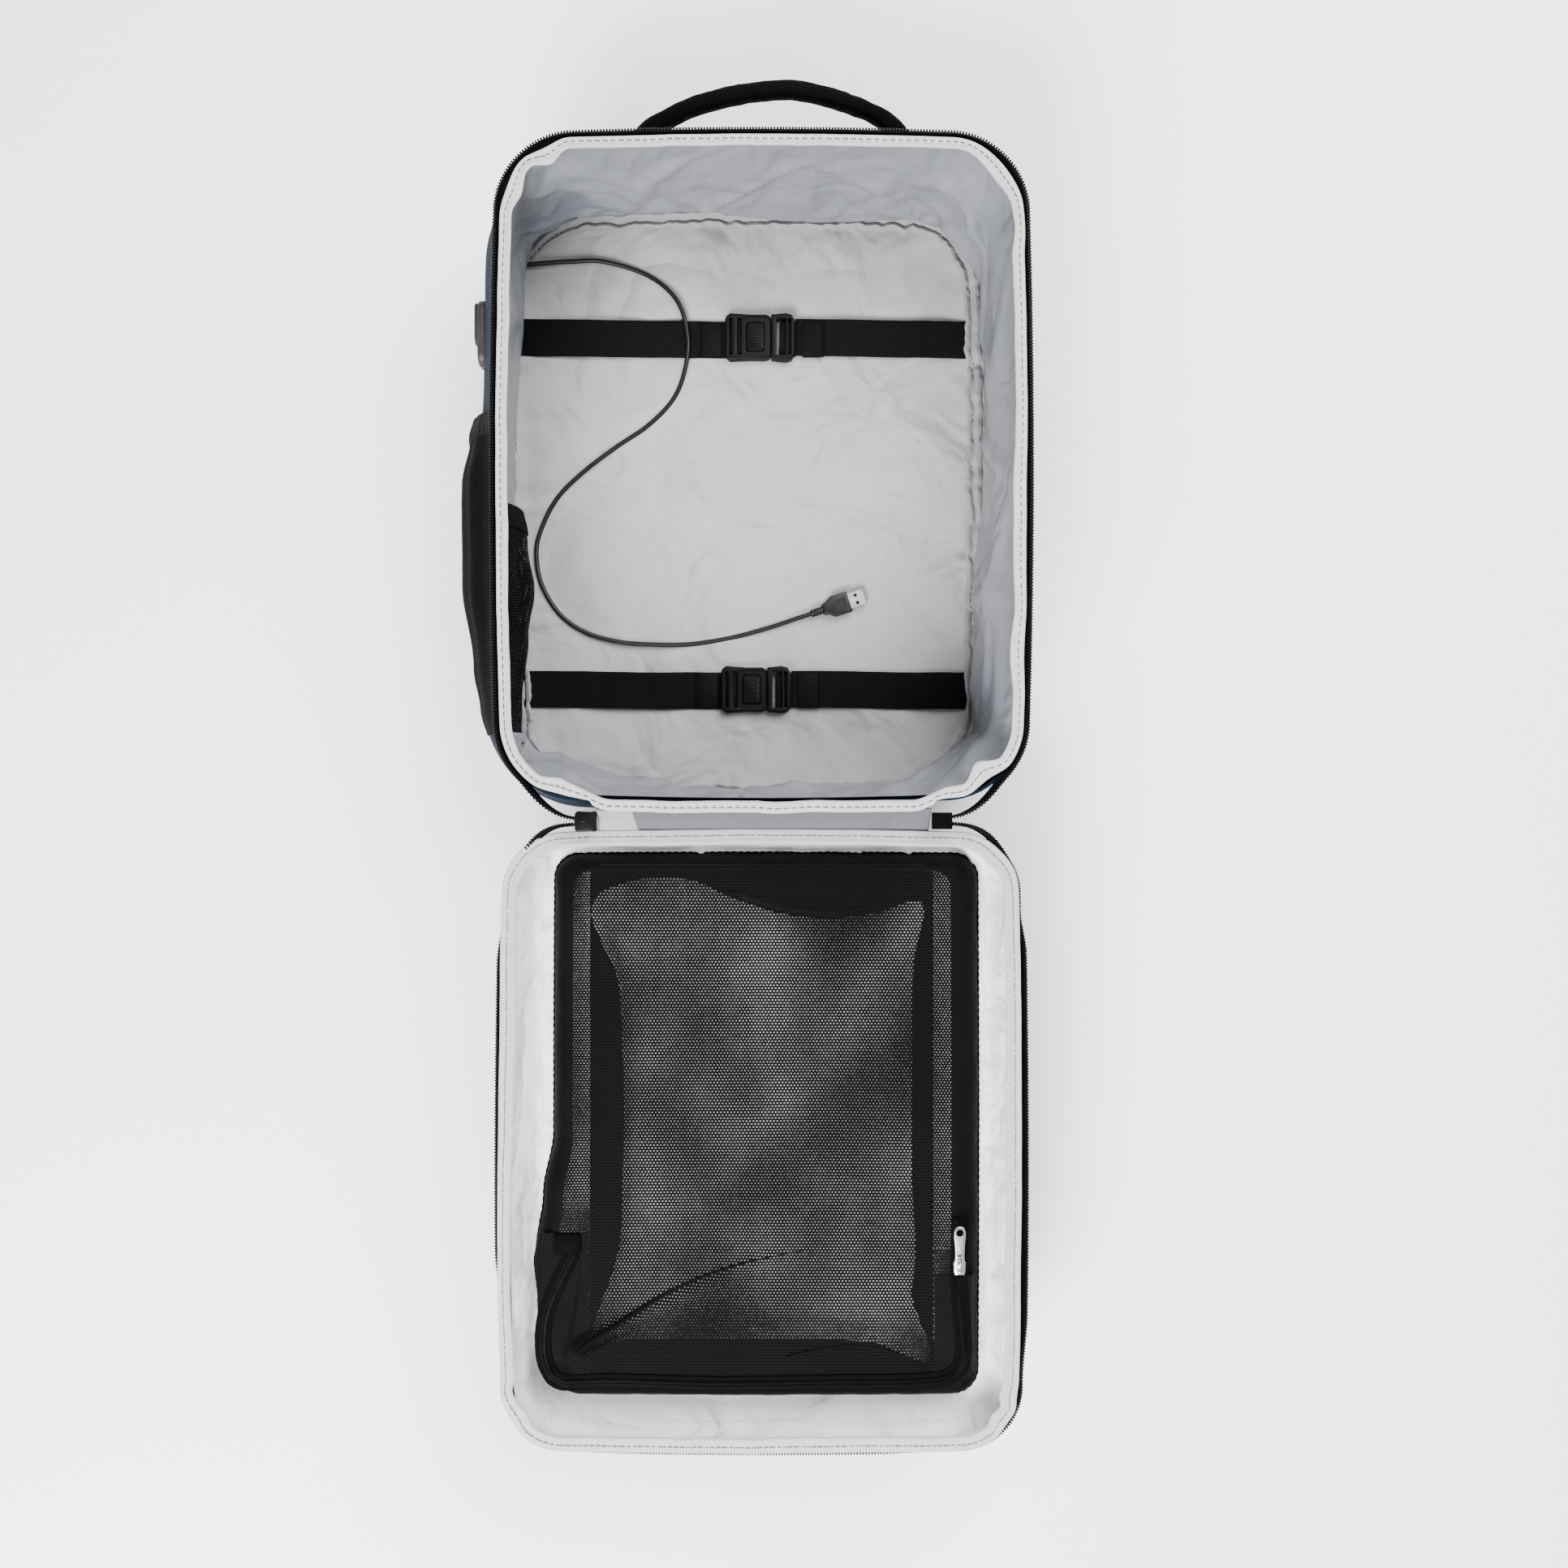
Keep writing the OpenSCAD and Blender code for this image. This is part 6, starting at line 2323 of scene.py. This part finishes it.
    def rim_parts(self) -> None:
        """Builds the binding and the lid's half of the main zip."""
        low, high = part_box("lid_zip_tape")
        seam = Outline.of_box(
            low + Vector((-0.0012, 0.0165, 0)), high + Vector((-0.0045, -0.0030, 0)), 0.040, self.bow
        )
        slacks = [Slack(*row) for row in (
            (0.880, 0.010, 0.0030, -0.001), (0.865, 0.006, -0.0020), (0.118, 0.008, 0.0028, -0.0008),
            (0.132, 0.007, 0.0026, -0.001), (0.386, 0.012, 0.0020), (0.612, 0.030, 0.0022),
            (0.040, 0.050, 0.0010), (0.810, 0.085, -0.0030), (0.690, 0.030, 0.0012),
        )]
        Binding(
            "lid_binding", seam, self.rim_top, Body.LID, self.finishes.lid_bind,
            self.finishes.light_thread, slacks, outer=0.0, width=0.0108, wave=0.0008, seed=5.3,
            stitch_pitch=0.0042,
        ).build(["lid_binding"], "lid_binding")
        tab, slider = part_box("zip_end_tab"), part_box("main_slider")
        middle_z = (slider[0].z + slider[1].z) / 2 - 0.0010
        start = Vector((slider[0].x, slider[0].y + 0.0015, middle_z))
        end = Vector((tab[1].x, tab[0].y + 0.0010, middle_z))
        around = self.rim.perimeter
        run = ZipRun(
            self.rim,
            self.rim_top - 0.0030,
            0.5 + (self.rim.middle.x - slider[0].x) / around,
            1.5 - (tab[1].x - self.rim.middle.x) / around,
            start,
            end,
            lead_in=0.055,
            tuck=((0.0, 0.0005), (0.05, 0.0005), (0.08, 0.0015), (0.14, 0.0015), (0.17, -0.0010), (0.335, -0.0006),
                  (0.355, 0.0030), (0.40, 0.0030), (0.60, 0.0030), (0.64, 0.0010), (0.67, -0.0040), (0.80, -0.0046),
                  (0.83, 0.0), (0.90, 0.0015), (0.95, 0.0005), (1.0, 0.0005)),
        )
        ZipHalf("lid_main_zip", run, Body.LID, self.finishes, tape_w=0.0050).build("lid_zip_tape", "lid_zip_coil")

    def build(self) -> None:
        """Builds the whole lid."""
        self.outside()
        self.lining()
        self.rim_parts()


# ---- The mesh compartment in the lid ----


@dataclass
class MeshCompartment:
    """The zipped mesh compartment: border, sides, top, hems, zip, slider and pull."""

    finishes: Wardrobe
    corner: float = 0.017
    shift: tuple[tuple[float, float], ...] = (
        (-0.436, 0.000), (-0.4324, -0.0028), (-0.3927, -0.0113), (-0.3417, -0.0142), (-0.2963, -0.0074),
        (-0.251, 0.0),
    )
    slack: tuple[tuple[float, float], ...] = (
        (118.9, -378.9), (143.7, -404.9), (147.0, -410.0), (138.5, -411.0), (119.0, -408.0), (97.6, -397.8),
        (62.3, -394.4), (-8.2, -393.5), (-70.0, -393.5), (-100.8, -396.1), (-110.0, -390.0), (-98.0, -365.0),
        (-86.7, -326.8), (-85.0, -287.0), (-84.2, -220.0), (-86.7, -150.6), (-94.4, -124.3), (-107.4, -102.4),
        (-106.0, -88.0), (-98.0, -79.0), (-70.0, -70.7), (-34.9, -71.8), (-8.2, -84.1), (26.9, -95.1),
        (62.0, -98.5), (97.6, -93.8), (121.0, -85.0), (127.5, -95.1), (120.4, -123.7), (118.7, -167.7),
        (118.7, -282.4), (121.5, -330.0),
    )
    outline: Outline = field(init=False)
    mouth: Outline = field(init=False)
    foot: float = field(init=False)
    top: float = field(init=False)

    def __post_init__(self) -> None:
        """Reads the compartment's places from the frame."""
        low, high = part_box("mesh_gusset")
        self.outline = Outline.of_box(low + Vector((0.002, 0, 0)), high, self.corner, 0.0008)
        self.mouth = Outline.of_box(Vector((-0.1190, -0.4255, 0)), Vector((0.1455, -0.0650, 0)), 0.013, 0.0006)
        self.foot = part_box("mesh_border")[0].z
        self.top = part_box("mesh_top")[0].z

    def swayed(self, spot: Vector) -> Vector:
        """The same point, with the left side's slack bulge."""
        line = self.outline
        left = smooth_step(0.0, 1.0, (line.middle.x - spot.x) / (line.width / 2)) ** 2
        spot.x += table(spot.y, self.shift) * left
        return spot

    def ring(self, share: float, inset: float) -> Vector:
        """A point of the compartment's edge, inset from it."""
        return self.swayed(self.outline.at(share, inset)[0])

    def height_at(self, spot: Vector) -> float:
        """Height of the slack top net over a place."""
        line = self.outline
        a = (spot.x - line.middle.x) / (line.width / 2)
        b = (spot.y - line.middle.y) / (line.length / 2)
        edge = max(abs(a), abs(b))
        z = self.top + 0.0008 - 0.0035 * (1 - edge**2) + 0.0018 * ripple(a * 1.7, b * 2.1, 80.0) * (1 - edge)
        fold_start, fold_end = Vector((-0.114, -0.398, 0)), Vector((0.020, -0.335, 0))
        run = fold_end - fold_start
        flat = Vector((spot.x, spot.y, 0))
        t = min(max((flat - fold_start).dot(run) / run.length_squared, 0.0), 1.0)
        apart = (flat - fold_start - run * t).length
        z += 0.0052 * bump(apart, 0, 0.008) * (1 - 0.75 * t)
        corner = (flat - Vector((-0.130, -0.421, 0))).length
        return z + 0.002 * bump(corner, 0.006, 0.006)

    def nets(self) -> None:
        """Builds the border, the sloping side, the top and the doubled hems under it."""
        def border(u: float, v: float) -> Vector:
            """A point of the border sewn to the lining, its outer edge finely scalloped."""
            scallop = 0.0005 * abs(math.sin(v * 260 * math.pi))
            spot = self.ring(v, -0.0008 - scallop * (1 - u) + 0.0075 * u)
            spot.z = self.foot + 0.0008 + 0.0018 * math.sin(math.pi * min(u + 0.15, 1))
            return spot

        around = self.outline.perimeter
        net = skin((8, 1040), (0.0075, around), border, closed=(False, True), facing=UP)
        edge = add("mesh_edge_band", net, self.finishes.tape, Body.LID, ["mesh_border"])
        thicken(edge, 0.0008)

        def side(u: float, v: float) -> Vector:
            """A point of the sloping side."""
            spot = self.ring(v, 0.0002 + 0.0006 * ripple(v * 60, u * 2, 82.0))
            spot = spot.lerp(self.swayed(self.mouth.at(v)[0]), u**1.3)
            top = self.height_at(spot) - 0.0002
            spot.z = self.foot + 0.002 + (top - self.foot - 0.002) * math.sin(math.pi / 2 * u) ** 0.8
            return spot

        net = skin((16, 480), (0.024, around), side, closed=(False, True), facing=UP)
        add("mesh_side_net", net, self.finishes.close_mesh, Body.LID, ["mesh_gusset"])
        cloth = self.mouth.grown(0.002)

        def top(u: float, v: float) -> Vector:
            """A point of the top net."""
            spot = self.swayed(cloth.inside(2 * u - 1, 2 * v - 1))
            spot.z = self.height_at(spot)
            return spot

        net = skin((150, 190), (cloth.width, cloth.length), top, facing=UP)
        panel = add("mesh_top_net", net, self.finishes.mesh, Body.LID, ["mesh_top"])
        panel.data.materials.append(self.finishes.open_mesh)
        for face in panel.data.polygons:
            face.material_index = int(not -0.106 < face.center.x < 0.132 and face.center.y > -0.33)
        cloth.length
        self.hems()
        self.folds()

    def folds(self) -> None:
        """Builds the doubled folds of net that lie as dark lines across the top."""
        for number, (wide, line) in enumerate((
            (0.0042, ((-0.116, -0.400), (-0.085, -0.380), (-0.045, -0.357), (0.000, -0.340), (0.050, -0.330))),
            (0.0036, ((-0.125, -0.405), (-0.119, -0.380), (-0.115, -0.350), (-0.114, -0.300))),
            (0.0050, ((-0.010, -0.080), (0.030, -0.092), (0.075, -0.094), (0.115, -0.080), (0.131, -0.066))),
            (0.0030, ((0.030, -0.405), (0.075, -0.398), (0.110, -0.404), (0.130, -0.414))),
        )):
            path = curve_through([Vector((x, y, 0)) for x, y in line], 16)
            count = len(path) - 1

            def ridge(u: float, v: float) -> Vector:
                """A point of the fold, widest at its start."""
                index = round(v * count)
                ahead = path[min(index + 1, count)] - path[max(index - 1, 0)]
                side = Vector((-ahead.y, ahead.x, 0)).normalized()
                reach = wide * (1 - v) ** 0.7 * min(v * 12 + 0.2, 1.0) * (1 + 0.3 * ripple(v * 5, number, 83.0))
                spot = path[index] + side * (u - 0.5) * reach
                spot.z = self.height_at(spot) + 0.0003 + 0.0010 * (1 - v) * math.sin(math.pi * u)
                return spot

            net = skin((6, count), (wide, 0.1), ridge, facing=UP)
            add(f"mesh_fold_{number}", net, self.finishes.close_mesh, Body.LID)

    def hems(self) -> None:
        """Builds the doubled net under the top, its inner edge hanging in slack curves."""
        line = self.outline
        middle = Vector((line.middle.x, line.middle.y, 0))
        ring = Outline.of_box(Vector((-0.1070, -0.4300, 0)), Vector((0.1330, -0.0610, 0)), 0.010)
        hang = curve_through([Vector((x, y, 0)) * MM for x, y in (*self.slack, *self.slack[:3])], 10)
        hang = hang[10:-10]
        angles = [math.atan2(p.y - middle.y, p.x - middle.x) for p in hang]

        def inner(angle: float) -> float:
            """Distance from the middle to the slack edge in one direction."""
            nearest = min(range(len(hang)), key=lambda k: abs(math.remainder(angles[k] - angle, math.tau)))
            return (hang[nearest] - middle).length

        around = ring.perimeter
        count = 600
        edges = []
        for k in range(count + 1):
            outer = ring.at(k / count)[0]
            way = outer - middle
            length = inner(math.atan2(way.y, way.x))
            edges.append((outer, middle + way.normalized() * min(length, way.length - 0.001)))
        evened = []
        for k in range(count):
            near = [edges[(k + d) % count][1] for d in range(-4, 5)]
            evened.append((edges[k][0], sum(near, Vector((0, 0, 0))) / 9))
        evened.append(evened[0])

        def hem(u: float, v: float) -> Vector:
            """A point of the doubled net."""
            outer, slack = evened[round(v * count)]
            spot = outer.lerp(slack, u)
            spot.z = self.height_at(spot) - 0.0006 - 0.0012 * math.sin(math.pi * u)
            return spot

        net = skin((16, count), (0.026, around), hem, closed=(False, True), facing=UP)
        add("mesh_hem_net", net, self.finishes.close_mesh, Body.LID)

        def lip(u: float, v: float) -> Vector:
            """A point of the rolled edge along the hem's inside."""
            outer, slack = evened[round(v * count)]
            angle = math.tau * u
            spot = slack + (outer - slack).normalized() * 0.0006 * math.cos(angle)
            spot.z = self.height_at(spot) - 0.0012 + 0.0006 * math.sin(angle)
            return spot

        net = skin((6, count), (0.003, around), lip, closed=(True, True))
        add("mesh_hem_lip", net, self.finishes.tape, Body.LID)
        for name, start, end, inner_x in (
            ("left", -0.4290, -0.3185, -0.1080),
            ("right", -0.4290, -0.3480, 0.1340),
        ):
            left = name == "left"

            def guard(u: float, v: float) -> Vector:
                """A point of the close net behind the zip's end."""
                y = start + (end - start) * v
                edge = Vector((line.middle.x - math.copysign(line.width / 2 - 0.0030, 1 if left else -1), y, 0))
                edge.x += 0.010 * bump(v, 0, 0.16) * (1 if left else -1)
                edge = self.swayed(edge)
                spot = edge.lerp(Vector((inner_x, y, 0)), u)
                spot.z = self.height_at(spot) + 0.0003 - 0.010 * bump(u, 0.0, 0.14)
                return spot

            net = skin((20, 50), (0.03, end - start), guard, facing=UP)
            add(f"zip_guard_{name}", net, self.finishes.close_mesh, Body.LID)

    def zip_path(self) -> list[Vector]:
        """The zip's centre line, from the patch at its left end round to the slider's side."""
        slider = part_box("pocket_slider")
        x = (slider[0].x + slider[1].x) / 2
        plan = (
            (-0.1190, -0.333), (-0.1285, -0.352), (-0.1375, -0.375), (-0.1395, -0.397), (-0.1355, -0.414),
            (-0.1230, -0.4225), (-0.090, -0.4225), (-0.02, -0.4245), (0.06, -0.4235), (0.12, -0.4225),
            (0.1435, -0.4190), (0.1530, -0.4070), (0.1535, -0.388), (0.1515, -0.365), (x, slider[0].y),
        )
        return curve_through([Vector((a, b, 0)) for a, b in plan], 14)

    def zip(self) -> None:
        """Builds the zip's two tapes, its closed teeth and the open end beyond the slider."""
        path = self.zip_path()
        tail_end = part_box("pocket_zip_tape")[1].y
        last = path[-1]
        tail = [last + (Vector((last.x + 0.0008, tail_end, 0)) - last) * (k / 12) for k in range(1, 13)]
        whole = path + tail
        lengths = lengths_of(whole)
        half = 0.0058

        def tape(u: float, v: float) -> Vector:
            """A point of the tape."""
            here, ahead = along(whole, v)
            spot = here + ahead.cross(UP) * (2 * u - 1) * half
            spot.z = self.height_at(spot) + 0.0011 + 0.0004 * math.cos(math.pi * (2 * u - 1))
            return spot

        net = skin((8, len(whole) - 1), (2 * half, lengths[-1]), tape, lengthwise=True, facing=UP)
        band = add("pocket_zip_band", net, self.finishes.tape, Body.LID, ["pocket_zip_tape"])
        thicken(band, 0.0006)
        tooth = box((-0.0021, -0.00045, 0.0), (0.0021, 0.00045, 0.0013), 0.0004, 1)
        pitch, places, travel, index = 0.0013, [], 0.0, 0
        while travel < lengths[-1] - 0.002:
            while lengths[index + 1] < travel:
                index += 1
            share = (travel - lengths[index]) / (lengths[index + 1] - lengths[index])
            here = whole[index].lerp(whole[index + 1], share)
            side = along(whole, index / (len(whole) - 1))[1].cross(UP)
            turn = math.atan2(side.y, side.x)
            spread = 0.0014 if index >= len(path) - 1 else 0.0
            for hand in (-1, 1):
                spot = here + side * hand * (0.0011 + spread)
                spot.z = self.height_at(here) + 0.0013
                places.append(
                    Matrix.Translation(spot) @ Matrix.Rotation(turn + hand * 0.35, 4, "Z") @ Matrix.Diagonal(
                        (0.52, 1, 1, 1)
                    )
                )
            travel += pitch
        teeth = repeated(tooth, places)
        add("pocket_zip_teeth", teeth, self.finishes.coil, Body.LID, ["pocket_zip_coil"])
        start = path[0]
        patch = box(
            (start.x - 0.013, start.y, self.top + 0.0012), (start.x + 0.0055, start.y + 0.014, self.top + 0.0032),
            0.0006, 2,
        )
        add("pocket_zip_patch", patch, self.finishes.tape, Body.LID)

    def slider(self) -> None:
        """Builds the nickel slider and its keyhole pull."""
        low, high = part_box("pocket_slider")
        pull_low, pull_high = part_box("pocket_pull")
        middle = (low + high) / 2
        long, wide = high.y - low.y, high.x - low.x
        outline = [
            (-0.38, -0.50), (0.38, -0.50), (0.46, -0.30), (0.50, 0.15), (0.34, 0.44), (0.12, 0.50), (-0.12, 0.50),
            (-0.34, 0.44), (-0.50, 0.15), (-0.46, -0.30),
        ]
        points = [(middle.x + x * wide, middle.y + y * long) for x, y in outline]
        body_top = pull_low.z - 0.0012
        body = plate(points, low.z + 0.0008, body_top, 0.0008, 3)
        rail = [
            Vector((middle.x, middle.y - 0.0045, body_top - 0.0004)), Vector(
                (middle.x, middle.y - 0.0036, pull_high.z + 0.0008)
            ),
            Vector((middle.x, middle.y - 0.0005, high.z - 0.0006)), Vector(
                (middle.x, middle.y + 0.0024, pull_high.z + 0.0008)
            ),
            Vector((middle.x, middle.y + 0.0034, body_top - 0.0004)),
        ]
        line = curve_through(rail, 6)

        def bridge(u: float, v: float) -> Vector:
            """A point of the bridge over the pull's bar."""
            here, ahead = along(line, v)
            angle = math.tau * u
            return here + RIGHT * math.cos(angle) * 0.0011 + RIGHT.cross(ahead) * math.sin(angle) * 0.0005

        net = skin((12, len(line) - 1), (0.005, 0.01), bridge, closed=(True, False))
        add(
            "pocket_slider_body", joined(body, net), self.finishes.nickel, Body.POCKET_SLIDER,
            ["pocket_slider"],
        )
        reach = pull_high.y - pull_low.y
        outline = [
            (-0.34, 0.0), (0.34, 0.0), (0.40, 0.04), (0.39, 0.30), (0.42, 0.55), (0.50, 0.74),
            (0.49, 0.88), (0.36, 0.97), (0.16, 1.0), (-0.16, 1.0), (-0.36, 0.97), (-0.49, 0.88), (-0.50, 0.74),
            (-0.42, 0.55), (-0.39, 0.30), (-0.40, 0.04),
        ]
        wide = pull_high.x - pull_low.x
        points = [(middle.x + x * wide, pull_low.y + y * reach) for x, y in outline]
        item = add(
            "pocket_pull_tab", plate(points, pull_low.z, pull_high.z, 0.0004, 3), self.finishes.nickel,
            Body.POCKET_PULL,
            ["pocket_pull"],
        )
        oval = plate(stadium(0.0052, 0.0050, 8), pull_low.z - 0.01, pull_high.z + 0.01)
        oval = moved(oval, Matrix.Translation((middle.x, pull_low.y + 0.85 * reach, 0)))
        keyhole = moved(
            plate(stadium(0.0072, 0.0028, 8), pull_low.z - 0.01, pull_high.z + 0.01),
            Matrix.Translation((middle.x, pull_low.y + 0.0056, 0)) @ Matrix.Rotation(math.pi / 2, 4, "Z"),
        )
        carved(item, oval, keyhole)

    def build(self) -> None:
        """Builds the compartment."""
        self.nets()
        self.zip()
        self.slider()


# ---- The view ----


@dataclass(frozen=True)
class Studio:
    """A pale floor under soft light, and a camera looking straight down."""

    aim: tuple[float, float] = (0.0286, -0.005)
    height: float = 1.155
    lens: float = 34.19
    brightness: float = 0.55

    def camera(self) -> None:
        """Places the camera."""
        data = bpy.data.cameras.new("camera")
        data.lens, data.sensor_width = self.lens, 36.0
        data.clip_start, data.clip_end = 0.05, 20.0
        item = bpy.data.objects.new("camera", data)
        item.location = (*self.aim, self.height)
        bpy.context.scene.collection.objects.link(item)
        bpy.context.scene.camera = item

    def lights(self) -> None:
        """Lights the scene with a wide soft key, a fill and a bright surround."""
        for name, place, size, power in (
            ("key", (-0.6, -1.5, 1.7), 1.1, 185.0),
            ("fill", (0.9, 1.3, 1.9), 1.8, 150.0),
        ):
            data = bpy.data.lights.new(name, "AREA")
            data.size, data.energy = size, power
            item = bpy.data.objects.new(name, data)
            item.location = place
            item.rotation_euler = (Vector((0, 0, 0.05)) - Vector(place)).to_track_quat("-Z", "Y").to_euler()
            bpy.context.scene.collection.objects.link(item)
        world = bpy.data.worlds.new("surround")
        world.use_nodes = True
        world.node_tree.nodes["Background"].inputs["Color"].default_value = (1, 1, 1, 1)
        world.node_tree.nodes["Background"].inputs["Strength"].default_value = self.brightness
        bpy.context.scene.world = world

    def floor(self) -> None:
        """Lays the pale floor that the bag rests on."""
        mesh = bmesh.new()
        bmesh.ops.create_grid(mesh, x_segments=1, y_segments=1, size=6.0)
        data = bpy.data.meshes.new("floor")
        mesh.to_mesh(data)
        mesh.free()
        item = bpy.data.objects.new("floor", data)
        recipe = Recipe("pale_floor", (0.90, 0.90, 0.90), 0.9)
        mottle = recipe.effect(Effects.mottle(), Vector=recipe.space, Size=0.5, Grain=0.01)
        recipe.shade(mottle.outputs["Patch"], (0.895, 0.895, 0.895), (0.905, 0.905, 0.905))
        data.materials.append(recipe.material)
        bpy.context.scene.collection.objects.link(item)


# ---- The whole bag ----


def build_straps(finishes: Wardrobe) -> None:
    """Builds the two packing straps with their buckles."""
    for level, drift in (("upper", -0.0022), ("lower", -0.0010)):
        tongue = Body[f"{level.upper()}_TONGUE"]
        button = Body[f"{level.upper()}_BUTTON"]
        Strap(f"{level}_strap_left", Body.SHELL, finishes, left=True, drift=drift).build()
        Strap(
            f"{level}_strap_right", Body.SHELL, finishes, left=False, joint=f"{level}_tongue_release",
            loop_body=tongue, drift=drift,
        ).build()
        CentreBuckle(level, Body.SHELL, button, tongue, finishes).build()


def main() -> None:
    """Builds the bag's looks piece by piece."""
    studio, finishes = Studio(), Wardrobe()
    studio.camera()
    UsbLead(finishes).build()
    shell = Shell(finishes)
    shell.build()
    HingeStrip(finishes).build()
    CarryHandle(finishes).build()
    MainSlider(finishes).build()
    UsbPort(finishes).build()
    SidePockets(finishes, shell).build()
    build_straps(finishes)
    Lid(finishes).build()
    MeshCompartment(finishes).build()
    studio.lights()
    studio.floor()


if __name__ == "__main__":
    main()
